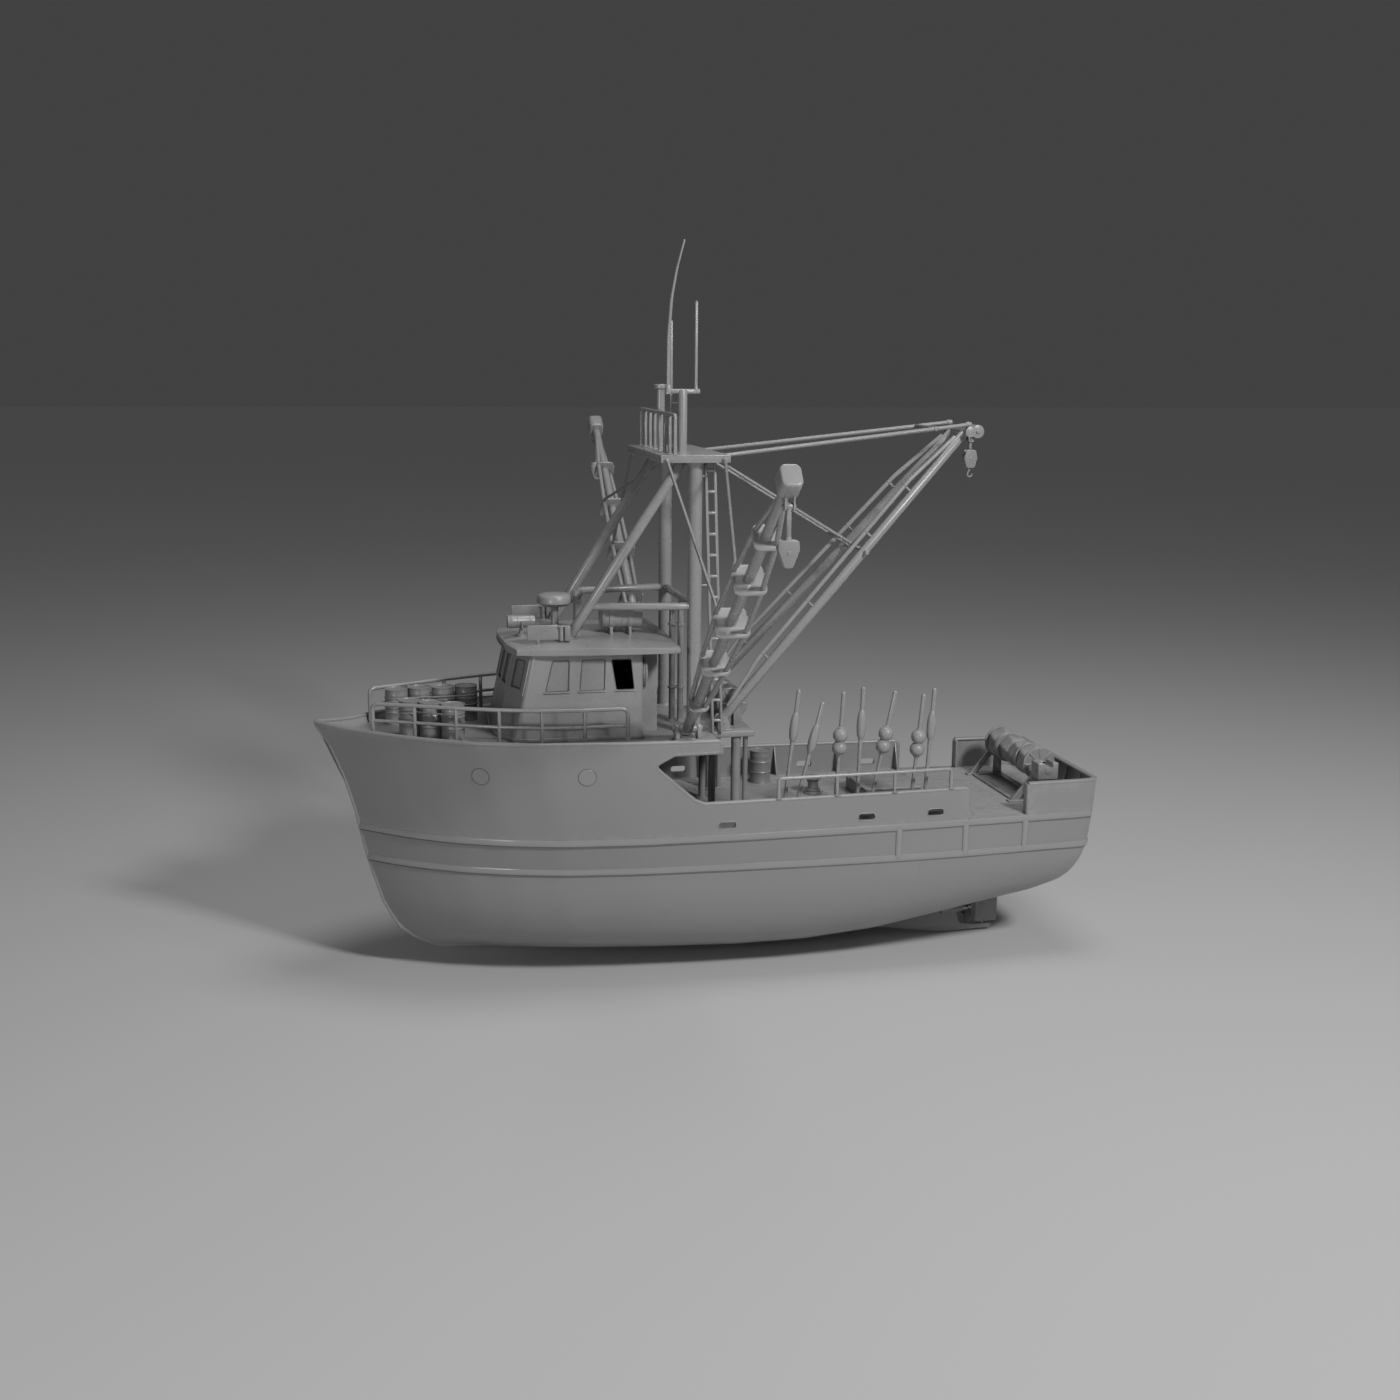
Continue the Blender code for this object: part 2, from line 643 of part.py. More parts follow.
def build_companionway():
    """The casing behind the wheelhouse with its hinged door."""
    outer = box((1.44, -1.15, fore_deck + gap), (1.95 - gap, 1.15, 5.78))
    hollow = box((1.50, -0.85, fore_deck - 0.1), (2.2, 0.85, 5.66))
    x, y = door_hinge
    doorway = box((1.3, y + 0.06, fore_deck + 0.12), (1.6, y + 0.78, 5.52))
    fuse("companionway", "house_paint", [outer], cuts=[hollow, doorway])
    leaf = box((x + 0.005, y + 0.02, fore_deck + 0.09), (1.44 - gap, y + 0.82, 5.56))
    shapes = [leaf]
    for level in (4.1, 5.2):
        shapes.append(rod((x, y, level - 0.08), (x, y, level + 0.08), 0.022, 8))
        shapes.append(box((x - 0.01, y, level - 0.06), (x + 0.025, y + 0.12, level + 0.06)))
    shapes.append(box((x - 0.065, y + 0.68, 4.60), (x + 0.015, y + 0.72, 4.76)))
    fuse("companionway_door", "house_paint", shapes, origin=(x, y, 4.6))


def build_roof_gear():
    """Lights, radome, vent and life raft, each on its foot on the roof."""
    def seat(name, finish, shapes):
        fuse(name, finish, shapes, smooth=True, cuts=[roof_shape(gap)])

    level = roof_level(4.70, 0.62)
    body = rod((4.36, 0.62, 6.47), (5.04, 0.62, 6.47), 0.16, 12)
    foot = rod((4.70, 0.62, level - 0.05), (4.70, 0.62, 6.40), 0.06)
    base = rod((4.70, 0.62, level - 0.05), (4.70, 0.62, level + 0.05), 0.12)
    seat("searchlight", "gear_paint", [body, foot, base])

    for name, side, y in (("sidelight_port", 1, 1.62), ("sidelight_starboard", -1, -1.62)):
        level = roof_level(4.1, y)
        board = box((3.92, y - 0.025, level + 0.06), (4.68, y + 0.025, level + 0.42))
        lamp = box((3.66, y - 0.10, level + 0.03), (3.95, y + 0.10, level + 0.40))
        feet = [box((x, y - 0.05, level - 0.08), (x + 0.06, y + 0.05, level + 0.10)) for x in (3.78, 4.40)]
        seat(name, "gear_paint", [board, lamp] + feet)

    level = roof_level(3.82, 0.15)
    post = rod((3.82, 0.15, level - 0.05), (3.82, 0.15, 6.80), 0.10)
    dome = turned(((0, 6.76), (0.30, 6.76), (0.44, 6.84), (0.42, 7.00), (0.34, 7.06), (0, 7.08)),
                  14, (3.82, 0.15, 0))
    seat("radome", "float_plastic", [post, dome])

    level = roof_level(3.28, 0.30)
    tube = rod((3.28, 0.30, level - 0.05), (3.28, 0.30, 7.02), 0.10, 10)
    collar = rod((3.28, 0.30, 6.86), (3.28, 0.30, 6.92), 0.13, 10)
    cap = rod((3.28, 0.30, 7.00), (3.28, 0.30, 7.16), 0.14, 10, 0.11)
    seat("vent_pipe", "rig_paint", [tube, collar, cap])

    level = roof_level(2.32, 0.95)
    middle = level + 0.41
    can = turned(((0, -0.50), (0.27, -0.50), (0.31, -0.46), (0.31, 0.46), (0.27, 0.50), (0, 0.50)),
                 16, (2.32, 0.95, middle), "X")
    shapes = [can]
    for x in (2.12, 2.58):
        shapes.append(rod((x - 0.03, 0.95, middle), (x + 0.03, 0.95, middle), 0.33, 16))
        shapes.append(box((x - 0.04, 0.72, level - 0.08), (x + 0.04, 1.18, middle - 0.15)))
    seat("life_raft", "float_plastic", shapes)

    ring = []
    for k in range(16):
        a = 2 * math.pi * k / 16
        for_ring = []
        for j in range(6):
            b = 2 * math.pi * (j + 0.5) / 6
            r = 0.305 + 0.07 * math.cos(b)
            x = 1.95 - gap - 0.07 * (1 - math.sin(b))
            for_ring.append((x, 1.56 + r * math.cos(a), 5.30 + r * math.sin(a)))
        ring.append(for_ring)
    add_object("lifebuoy", "float_plastic", skin(ring, closed_rows=True, closed_ends=True), smooth=True)


# Mast and rig

def rig_basis(foot, head):
    """Unit vectors along a spar, level across it, and square to both."""
    run = (head - foot).normalized()
    across = Vector((1, 0, 0))
    up = across.cross(run).normalized()
    if up.z < 0:
        up = -up
    return run, across, up


def rig_lines():
    """The ends of each taut line: on the platform, then on the spar that it holds."""
    under = platform_top - platform_thick
    lines = {}
    for name, side in (("port", 1), ("starboard", -1)):
        foot = Vector((outrigger_foot.x, side * outrigger_foot.y, outrigger_foot.z))
        head = Vector((outrigger_head.x, side * outrigger_head.y, outrigger_head.z))
        run, across, up = rig_basis(foot, head)
        for which, x, pick in (("fore", 1.44, 2), ("aft", 0.04, 3)):
            share, width, height = outrigger_plates[pick]
            end = foot.lerp(head, share) + across * (width / 2 - 0.10) + up * (height / 2)
            lines["stay_" + name + "_" + which] = (Vector((x, side * platform_half, platform_top - 0.10)), end, 0.04)
        lines["topping_lift_" + name] = (Vector((platform_aft, side * 1.11, platform_top - 0.09)),
                                         Vector((boom_head.x, side * 0.66, boom_head.z + 0.18)), 0.055)
        lines["mid_stay_" + name] = (Vector((platform_aft + 0.02, side * 0.61, under)),
                                     Vector((-3.90, side * 0.52, 8.05)), 0.045)
    return lines


def line_parts(name):
    """The lug on the platform, the lug on the spar, and the line between them."""
    start, end, radius = rig_lines()[name]
    run = (end - start).normalized()
    near = rod(start - run * 0.05, start + run * lug_length, radius * 1.5, 8)
    far = rod(end + run * 0.05, end - run * lug_length, radius * 1.5, 8)
    line = rod(start + run * (lug_length + gap), end - run * (lug_length + gap), radius, 6)
    return near, far, line


def build_mast():
    """Two posts, two raking legs and the braces between them."""
    under = platform_top - platform_thick - gap
    shapes = []
    for side in (1, -1):
        shapes.append(rod((mast_x, side * mast_y, fore_deck + gap), (mast_x, side * mast_y, under), mast_radius, 12))
        shapes.append(rod((3.74, side * 1.36, 6.02), (0.93, side * 1.55, under + 0.02), leg_radius, 10))
        shapes.append(rod((mast_x, side * mast_y, brace_level), (3.16, side * 1.40, brace_level), brace_radius, 8))
    shapes.append(rod((mast_x, -mast_y, brace_level), (mast_x, mast_y, brace_level), brace_radius, 8))
    trim = box((0.2, -2.3, under), (1.6, 2.3, under + 0.5))
    fuse("mast", "rig_paint", shapes, smooth=True, cuts=[trim, roof_shape(gap)])


def build_platform():
    """The platform on the mast, with a rail across its fore part."""
    low = platform_top - platform_thick
    deck = box((platform_aft, -platform_half, low), (platform_fore, platform_half, platform_top))
    shapes = [deck]
    rail_x, rail_top = 1.23, 11.45
    posts = [-2.09 + 4.18 * k / 7 for k in range(8)]
    for y in posts:
        shapes.append(rod((rail_x, y, platform_top - 0.02), (rail_x, y, rail_top), 0.045, 6))
    shapes.append(rod((rail_x, -2.13, rail_top), (rail_x, 2.13, rail_top), 0.055, 6))
    shapes += [line_parts(name)[0] for name in rig_lines()]
    fuse("mast_platform", "rig_paint", shapes)


def build_antennas():
    """Two lamp posts on the platform, a cross bar and three whips."""
    top = platform_top + gap
    capped = [rod((0.86, -1.45, top), (0.86, -1.45, 11.98), 0.115, 10),
              rod((0.86, -1.45, 11.98), (0.86, -1.45, 12.08), 0.17, 10)]
    fuse("capped_post", "rig_paint", capped, smooth=True)
    shapes = [rod((0.92, 1.45, top), (0.92, 1.45, 12.02), 0.115, 10),
              rod((1.32, 1.45, 11.98), (0.50, 1.45, 11.98), 0.06, 8),
              rod((0.60, 1.45, 11.95), (0.60, 1.45, 14.06), 0.04, 8),
              rod((1.12, 1.10, top), (1.12, 1.10, 13.62), 0.035, 8, 0.030),
              rod((1.12, 1.10, 11.70), (0.95, 1.45, 11.70), 0.03, 6)]
    whip = ((1.27, 11.95, 0.050), (1.25, 13.30, 0.050), (1.20, 14.10, 0.045), (1.07, 14.80, 0.038), (0.90, 15.45, 0.026))
    shapes.append(pipe([(x, 1.45, z) for x, z, radius in whip], [radius for x, z, radius in whip]))
    fuse("antennas", "rig_paint", shapes, smooth=True)


def build_ladders():
    """The ladder from the shelter deck to the platform."""
    foot, head = Vector((-0.06, 1.68, fore_deck + gap)), Vector((0.18, 1.68, platform_top - platform_thick - gap))
    width = Vector((0.22, 0.0, 0.0))
    shapes = []
    for shift in (Vector((0, 0, 0)), width):
        shapes.append(rod(foot + shift, head + shift, 0.035, 6))
    count = 13
    for k in range(count):
        place = foot.lerp(head, (k + 0.6) / count)
        shapes.append(rod(place - width * 0.02, place + width * 1.02, 0.028, 6))
    flat_low = box((-1, 1, fore_deck - 1), (1, 2, fore_deck + gap))
    flat_high = box((-1, 1, head.z), (1, 2, head.z + 1))
    fuse("mast_ladder", "rig_paint", shapes, cuts=[flat_low, flat_high])


def build_exhausts():
    """A pair of upright pipes between the mast's posts."""
    shapes = [rod((0.66, y, fore_deck + gap), (0.66, y, brace_level - brace_radius - gap), 0.075, 10)
              for y in (0.20,)]
    shapes.append(rod((0.86, 0.12, fore_deck + gap), (0.86, 0.12, 6.60), 0.075, 10))
    shapes.append(box((0.60, 0.05, 4.6), (0.92, 0.26, 4.68)))
    shapes.append(box((0.60, 0.05, 6.2), (0.92, 0.26, 6.28)))
    fuse("exhaust_pipes", "rig_paint", shapes, smooth=True)


def spar_plate(middle, run, across, up, width, height, thick, corner=0.08):
    """A plate square to a spar."""
    bm = prism(rounded(width, height, corner), -thick / 2, thick / 2)
    frame = Matrix.Identity(4)
    for row in range(3):
        frame[row][0], frame[row][1], frame[row][2], frame[row][3] = across[row], up[row], run[row], middle[row]
    bm.transform(frame)
    return bm


def build_outriggers():
    """A pair of spreading spars, each a tube with two truss rods through five plates."""
    for name, side in (("port", 1), ("starboard", -1)):
        foot = Vector((outrigger_foot.x, side * outrigger_foot.y, outrigger_foot.z))
        head = Vector((outrigger_head.x, side * outrigger_head.y, outrigger_head.z))
        run, across, up = rig_basis(foot, head)
        shapes = [rod(foot + run * 0.02, head, 0.135, 8, 0.11)]
        rods = {1: [], -1: []}
        for share, width, height in outrigger_plates:
            middle = foot.lerp(head, share)
            shapes.append(spar_plate(middle, run, across, up, width, height, 0.06))
            for which in (1, -1):
                rods[which].append(middle + across * which * (width / 2 - 0.07) + up * which * (height / 2 - 0.11))
        for which in (1, -1):
            points = [foot + run * 0.25] + rods[which] + [head - run * 0.15]
            shapes.append(pipe(points, 0.05, 5))
        shapes.append(spar_plate(head + run * 0.10, run, across, up, 0.42, 0.50, 0.46, 0.10))
        shapes.append(rod(foot - across * (0.22 - gap), foot + across * (0.22 - gap), 0.10, 10))
        eye = block_eye(side)
        for which in (1, -1):
            near, far = sorted((which * (block_cheek + gap), which * (block_cheek + 0.03)))
            shapes.append(prism([(eye.y - 0.09, eye.z - 0.08), (eye.y + 0.09, eye.z - 0.08),
                                 (eye.y + 0.11, head.z), (eye.y - 0.11, head.z)],
                                eye.x + near, eye.x + far, "X"))
        shapes += [line_parts("stay_" + name + which)[1] for which in ("_fore", "_aft")]
        fuse("outrigger_" + name, "rig_paint", shapes, origin=foot, smooth=True)
        bracket = [box((foot.x - 0.34, side * 2.3 - 0.22, fore_deck + gap), (foot.x + 0.34, side * 2.3 + 0.22, fore_deck + 0.04))]
        for x in (0.27, -0.27):
            bracket.append(prism([(side * 2.12, fore_deck + 0.02), (side * 2.48, fore_deck + 0.02),
                                  (side * 2.40, foot.z + 0.12), (side * 2.20, foot.z + 0.12)],
                                 foot.x + x - 0.05, foot.x + x + 0.05, "X"))
        fuse("outrigger_bracket_" + name, "rig_paint", bracket)


def block_eye(side):
    """The pin under an outrigger's head that its block hangs on."""
    return Vector((outrigger_head.x - 0.02, side * (outrigger_head.y + 0.02), outrigger_head.z - 0.41))


def build_hanging_blocks():
    """The block that hangs on a strap under each outrigger's head."""
    for name, side in (("port", 1), ("starboard", -1)):
        eye = block_eye(side)
        barrel = rod(eye - Vector((block_cheek, 0, 0)), eye + Vector((block_cheek, 0, 0)), 0.07, 12)
        strap = rod(eye + Vector((0, 0, -0.02)), eye - Vector((0, 0, 0.92)), 0.06, 8)
        shell = prism([(-0.20, -0.62), (0.20, -0.62), (0.21, -0.80), (0.08, -1.14), (-0.08, -1.14), (-0.21, -0.80)],
                      -0.09, 0.09, "Y")
        shell.transform(Matrix.Translation(eye))
        fuse("outrigger_block_" + name, "gear_paint", [strap, barrel, shell], origin=eye)


def build_lines():
    """The taut lines: four stays to the outriggers, the topping lifts and the mid stays."""
    for name in rig_lines():
        if name.startswith("stay"):
            add_object(name, "rig_paint", line_parts(name)[2], smooth=True)
    for name in ("topping_lift", "mid_stay"):
        start, end, radius = rig_lines()[name + "_port"]
        place = end.lerp(start, 0.14)
        spreader = rod((place.x, -place.y - 0.06, place.z), (place.x, place.y + 0.06, place.z), radius, 6)
        shapes = [line_parts(name + "_port")[2], line_parts(name + "_starboard")[2], spreader]
        fuse(name + "s", "rig_paint", shapes, smooth=True)


def build_boom():
    """The boom: two legs that close towards the head, each a tube with a pipe on stand-offs."""
    shapes = []
    for side in (1, -1):
        foot = Vector((boom_foot.x, side * boom_foot.y, boom_foot.z))
        head = Vector((boom_head.x, side * boom_head.y * 0.55, boom_head.z))
        run = (head - foot).normalized()
        over = Vector((0.72, 0, 0.69))
        shapes.append(rod(foot, head, 0.125, 10, 0.11))
        low, high = foot + run * 0.35 + over * 0.10, head - run * 0.3 + over * 0.12
        middle_low, middle_high = foot.lerp(head, 0.18) + over * 0.30, foot.lerp(head, 0.80) + over * 0.30
        shapes.append(pipe((low, middle_low, middle_high, high), 0.055))
        for share in (0.20, 0.38, 0.62, 0.78):
            at = foot.lerp(head, share)
            shapes.append(rod(at, at + over * 0.30, 0.035, 6))
        pin = Vector((0, 0.15 - gap, 0))
        shapes.append(rod(foot - pin, foot + pin, 0.10, 10))
    shapes.append(rod((-3.90, -1.06, 8.03), (-3.90, 1.06, 8.03), 0.055, 8))
    shapes += [line_parts(kind + side)[1] for kind in ("topping_lift", "mid_stay") for side in ("_port", "_starboard")]
    shapes.append(rod((boom_head.x, -0.76, boom_head.z), (boom_head.x, 0.76, boom_head.z), 0.11, 10))
    shapes.append(box((-7.12, -0.16, 10.84), (-6.55, 0.16, 11.10)))
    shapes.append(rod((-7.05, -0.22, 10.96), (-7.05, 0.22, 10.96), 0.17, 12))
    eye = hook_eye
    for which in (1, -1):
        near, far = sorted((which * (hook_cheek + gap), which * (hook_cheek + 0.03)))
        shapes.append(prism([(eye.x - 0.07, eye.z - 0.07), (eye.x + 0.07, eye.z - 0.07),
                             (eye.x + 0.09, eye.z + 0.15), (eye.x - 0.09, eye.z + 0.15)], near, far, "Y"))
    fuse("boom", "rig_paint", shapes, origin=(boom_foot.x, 0, boom_foot.z), smooth=True)
    for side, name in ((1, "port"), (-1, "starboard")):
        bracket = [box((boom_foot.x - 0.22, side * boom_foot.y - 0.26, fore_deck + gap),
                       (boom_foot.x + 0.22, side * boom_foot.y + 0.26, fore_deck + 0.04))]
        for shift in (-0.19, 0.19):
            y = side * (boom_foot.y + shift)
            bracket.append(prism([(boom_foot.x - 0.20, fore_deck + 0.02), (boom_foot.x + 0.20, fore_deck + 0.02),
                                  (boom_foot.x + 0.10, boom_foot.z + 0.12), (boom_foot.x - 0.10, boom_foot.z + 0.12)],
                                 y - 0.04, y + 0.04, "Y"))
        fuse("boom_bracket_" + name, "rig_paint", bracket)
    barrel = rod(eye - Vector((0, hook_cheek, 0)), eye + Vector((0, hook_cheek, 0)), 0.06, 12)
    strap = rod(eye - Vector((0, 0, 0.02)), eye - Vector((0, 0, 0.30)), 0.05, 8)
    shell = box(eye - Vector((0.18, 0.10, 0.72)), eye - Vector((-0.18, -0.10, 0.26)))
    hook = rod(eye - Vector((0, 0, 0.70)), eye - Vector((0, 0, 0.98)), 0.05, 8)
    fuse("hook_block", "gear_paint", [strap, barrel, shell, hook], origin=eye)


def build_boom_table():
    """The table aft of the shelter deck that carries the winch, on its legs."""
    top = fore_deck + 0.0
    table = box((-0.92, -1.62, top - 0.16), (shelter_aft_edge - gap, 1.62, top))
    shapes = [table]
    # x, y, radius of the legs
    for x, y, radius in ((-0.50, 1.42, 0.12), (-0.74, 1.42, 0.065), (-0.50, -1.42, 0.12), (-0.74, -1.42, 0.065),
                         (-0.10, 0.55, 0.09), (-0.10, -0.55, 0.09)):
        shapes.append(rod((x, y, main_deck + gap), (x, y, top - 0.05), radius, 8))
    for y in (winch_cheek + 0.04, -winch_cheek - 0.04):
        shapes.append(prism([(winch_x - 0.28, top - 0.02), (winch_x + 0.28, top - 0.02), (winch_x + 0.09, winch_level + 0.1),
                             (winch_x - 0.09, winch_level + 0.1)], y - 0.04, y + 0.04, "Y"))
    hole = rod((winch_x, -1.0, winch_level), (winch_x, 1.0, winch_level), 0.065, 14)
    fuse("boom_table", "deck_paint", shapes, cuts=[hole])


def build_winch():
    """The trawl winch on the table: two flanged drums on one shaft, in two bearings."""
    seat = winch_cheek - gap
    half = ((0.40, 0.08), (0.16, 0.08), (0.16, 0.74), (0.40, 0.74), (0.40, 0.80), (collar_radius, 0.80),
            (collar_radius, seat), (0.06, seat), (0.06, 0.98), (0, 0.98))
    profile = [(radius, -y) for radius, y in reversed(half)] + list(half)
    drum = turned(profile, 14, (winch_x, 0, winch_level), "Y")
    add_object("winch_drum", "gear_paint", drum, origin=(winch_x, 0, winch_level), smooth=True)


# Deck gear

drum_profile = ((0, 0), (0.280, 0), (0.280, 0.27), (0.292, 0.30), (0.280, 0.33),
                (0.280, 0.55), (0.292, 0.58), (0.280, 0.61), (0.286, 0.88), (0, 0.88))


def build_drums():
    """Steel drums: four and three lashed side by side on the fore deck, one on the main deck."""
    groups = (("drums_starboard", ((7.66, -0.84), (7.09, -0.96), (6.51, -0.92), (5.93, -0.98)), fore_deck),
              ("drums_port", ((7.40, 0.60), (6.93, 0.93), (6.44, 1.24)), fore_deck),
              ("deck_drum", ((-2.02, -1.90),), main_deck))
    for name, places, deck in groups:
        shapes = [turned(drum_profile, 10, (x, y, deck + gap)) for x, y in places]
        for (xa, ya), (xb, yb) in zip(places, places[1:]):
            for level in (0.30, 0.58):
                shapes.append(rod((xa, ya, deck + level), (xb, yb, deck + level), 0.02, 6))
        fuse(name, "gear_paint", shapes, smooth=True)


def build_hatch():
    """The fish hold's coaming with its hinged lid."""
    x0, x1, half = -5.62, -4.10, 0.86
    outer = box((x0, -half, main_deck + gap), (x1, half, main_deck + 0.34))
    inner = box((x0 + 0.06, -half + 0.06, main_deck + 0.03), (x1 - 0.06, half - 0.06, main_deck + 0.5))
    fuse("hatch_coaming", "deck_paint", [outer], cuts=[inner])
    top = main_deck + 0.34
    lid = box((x0 - 0.04, -half - 0.04, top + gap), (x1 + 0.02, half + 0.04, top + 0.06))
    shapes = [lid]
    for y in (-0.5, 0.5):
        shapes.append(rod((x1 + 0.04, y - 0.10, top + 0.03), (x1 + 0.04, y + 0.10, top + 0.03), 0.028, 8))
    fuse("hatch_lid", "deck_paint", shapes, origin=(x1 + 0.04, 0, top + 0.03))


def build_capstan():
    """The capstan on the main deck."""
    place = (-3.08, -0.43)
    foot = rod((*place, main_deck + gap), (*place, main_deck + 0.10), 0.24, 12)
    add_object("capstan_base", "gear_paint", foot, smooth=True)
    profile = ((0, 0.1003), (0.20, 0.1003), (0.14, 0.16), (0.13, 0.34), (0.24, 0.42), (0.24, 0.46), (0, 0.48))
    head = turned(profile, 14, (*place, main_deck))
    add_object("capstan_head", "gear_paint", head, origin=(*place, main_deck), smooth=True)


def build_net_drum():
    """The stern net drum across the deck, its stand and its motor."""
    x, level = -8.72, main_deck + 0.94
    cheeks = (-1.51, 1.36)
    low_seat, high_seat = cheeks[0] + 0.045 + gap, cheeks[1] - 0.045 - gap
    profile = ((0, -1.60), (0.06, -1.60), (0.06, low_seat), (collar_radius, low_seat), (collar_radius, -1.42),
               (0.44, -1.42), (0.44, -1.34), (0.30, -1.28), (0.30, -0.86), (0.40, -0.80), (0.40, -0.70),
               (0.30, -0.64), (0.34, 0.0), (0.30, 0.46), (0.42, 0.52), (0.42, 0.60), (0.32, 0.66), (0.32, 1.10),
               (0.44, 1.16), (0.44, 1.26), (collar_radius, 1.26), (collar_radius, high_seat), (0.06, high_seat),
               (0.06, 1.50), (0, 1.50))
    drum = turned(profile, 14, (x, 0, level), "Y")
    add_object("net_drum", "gear_paint", drum, origin=(x, 0, level), smooth=True)
    stand = []
    for y in cheeks:
        stand.append(prism([(x - 0.10, main_deck + 0.02), (x + 0.10, main_deck + 0.02), (x + 0.08, level + 0.12),
                            (x - 0.08, level + 0.12)], y - 0.045, y + 0.045, "Y"))
        stand.append(prism([(x + 0.62, main_deck + 0.02), (x + 0.84, main_deck + 0.02), (x + 0.08, level - 0.05),
                            (x - 0.02, level - 0.12)], y - 0.045, y + 0.045, "Y"))
    stand.append(box((x - 0.12, -1.60, main_deck + gap), (x + 0.90, -1.42, main_deck + 0.05)))
    stand.append(box((x - 0.12, 1.27, main_deck + gap), (x + 0.90, 1.45, main_deck + 0.05)))
    stand.append(box((x - 0.12, -1.5, main_deck + gap), (x + 0.06, 1.4, main_deck + 0.05)))
    stand.append(box((x - 0.20, 1.52, level - 0.24), (x + 0.36, 1.98, level + 0.20)))
    stand.append(box((x - 0.14, 1.38, main_deck + gap), (x + 0.30, 1.94, level - 0.20)))
    hole = [rod((x, -1.7, level), (x, 1.6, level), 0.065, 14)]
    fuse("net_drum_stand", "gear_paint", stand, cuts=hole)


def build_running_gear():
    """The propeller ahead of the rudder, and the rudder on its stock."""
    x, level = hub_fore - 0.14, shaft_level
    hub = turned(((0, -0.16), (0.07, -0.14), (0.11, -0.02), (0.11, 0.14), (0, 0.14)), 10, (x, 0, level), "X")
    shapes = [hub]
    for k in range(4):
        blade = rod((0, 0, 0.05), (0, 0, 0.42), 0.14, 8, 0.10)
        blade.transform(Matrix.Diagonal((0.16, 1.0, 1.0, 1.0)))
        blade.transform(Matrix.Translation((x, 0, level)) @ Matrix.Rotation(math.pi / 2 * k + math.pi / 4, 4, "X")
                        @ Matrix.Rotation(math.radians(28), 4, "Z"))
        shapes.append(blade)
    fuse("propeller", "bare_steel", shapes, origin=(x, 0, level), smooth=True)
    stock_x = -7.82
    outline = ((0.22, -2.21), (0.22, -1.30), (-0.44, -1.27), (-0.42, -2.22))
    blade = prism([(stock_x + x, z) for x, z in outline], -0.05, 0.05, "Y")
    stock = rod((stock_x, 0, shoe_top + gap), (stock_x, 0, -1.22), 0.06, 8)
    fuse("rudder", "hull_paint", [blade, stock], origin=(stock_x, 0, -1.75))


def build_buoy_rack():
    """The marker buoys' poles, standing in a low rack inside the port bulwark."""
    rack_y = 2.25
    shapes = [box((-6.05, rack_y - 0.14, main_deck + gap), (-1.30, rack_y + 0.14, main_deck + 0.16))]
    # x of the foot, x and level of the tip, float kind
    poles = ((-1.56, -1.86, 4.88, "spindle"), (-1.88, -2.48, 4.54, "spindle"), (-2.86, -3.00, 4.78, "balls"),
             (-3.42, -3.50, 4.88, "spindle"), (-3.82, -4.34, 4.75, "balls"), (-4.85, -5.08, 4.65, "balls"),
             (-5.20, -5.36, 4.78, "spindle"))
    for foot_x, tip_x, tip, kind in poles:
        foot = Vector((foot_x + (foot_x - tip_x) * 0.26, rack_y, main_deck + 0.06))
        end = Vector((tip_x, rack_y, tip))
        shapes.append(rod(foot, end, 0.035, 5))
        if kind == "balls":
            for share in (0.635, 0.735):
                shapes.append(ball(foot.lerp(end, share), 0.175, 8))
        else:
            run = (end - foot).normalized()
            spindle = ((0, 0), (0.05, 0), (0.10, 0.22), (0.10, 0.46), (0.05, 0.74), (0, 0.74))
            shapes.append(spun_along(spindle, 7, foot.lerp(end, 0.50), run))
    fuse("buoy_rack", "float_plastic", shapes, smooth=True)


def main():
    for old in list(bpy.data.objects):
        bpy.data.objects.remove(old)
    for step in (build_hull, build_bulwarks, build_forecastle, build_shelter_deck, build_bow_bulwark,
                 build_strakes, build_rails, build_wheelhouse, build_roof, build_companionway,
                 build_roof_gear, build_mast, build_platform, build_antennas, build_ladders,
                 build_exhausts, build_outriggers, build_hanging_blocks, build_boom, build_lines,
                 build_boom_table, build_winch, build_drums, build_hatch, build_capstan,
                 build_net_drum, build_running_gear, build_buoy_rack):
        step()


main()
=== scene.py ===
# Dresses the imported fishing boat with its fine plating, rig, deck gear and finishes.
# +X is forward, +Y to port and +Z up, with the origin amidships at the waterline.
import math

import bmesh
import bpy
from mathutils import Matrix, Vector


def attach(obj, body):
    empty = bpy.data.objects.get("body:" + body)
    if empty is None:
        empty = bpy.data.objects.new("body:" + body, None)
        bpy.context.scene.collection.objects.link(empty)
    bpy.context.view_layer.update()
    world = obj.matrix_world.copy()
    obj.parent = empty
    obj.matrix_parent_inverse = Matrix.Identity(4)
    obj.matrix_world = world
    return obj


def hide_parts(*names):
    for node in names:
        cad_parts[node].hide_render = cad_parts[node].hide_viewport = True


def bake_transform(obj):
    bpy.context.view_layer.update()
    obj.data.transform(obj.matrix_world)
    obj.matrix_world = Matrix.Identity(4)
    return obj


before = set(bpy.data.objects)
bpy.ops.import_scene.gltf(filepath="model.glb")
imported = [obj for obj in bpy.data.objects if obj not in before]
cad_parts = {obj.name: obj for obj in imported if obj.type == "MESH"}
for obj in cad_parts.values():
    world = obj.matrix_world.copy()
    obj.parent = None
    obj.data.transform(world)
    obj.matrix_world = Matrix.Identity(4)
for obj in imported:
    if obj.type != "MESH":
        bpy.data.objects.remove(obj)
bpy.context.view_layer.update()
print("frame loaded")

# Camera, as the photograph was taken
cameraSetup = {
    "place": (9.54, 41.0, 13.0),
    "right": (-0.97487, 0.22262, 0.00878),
    "up": (-0.03711, -0.2011, 0.97887),
    "back": (0.21969, 0.95395, 0.20431),
    "lens": 43.457, "sensor": 36.0, "farthest": 500,
}


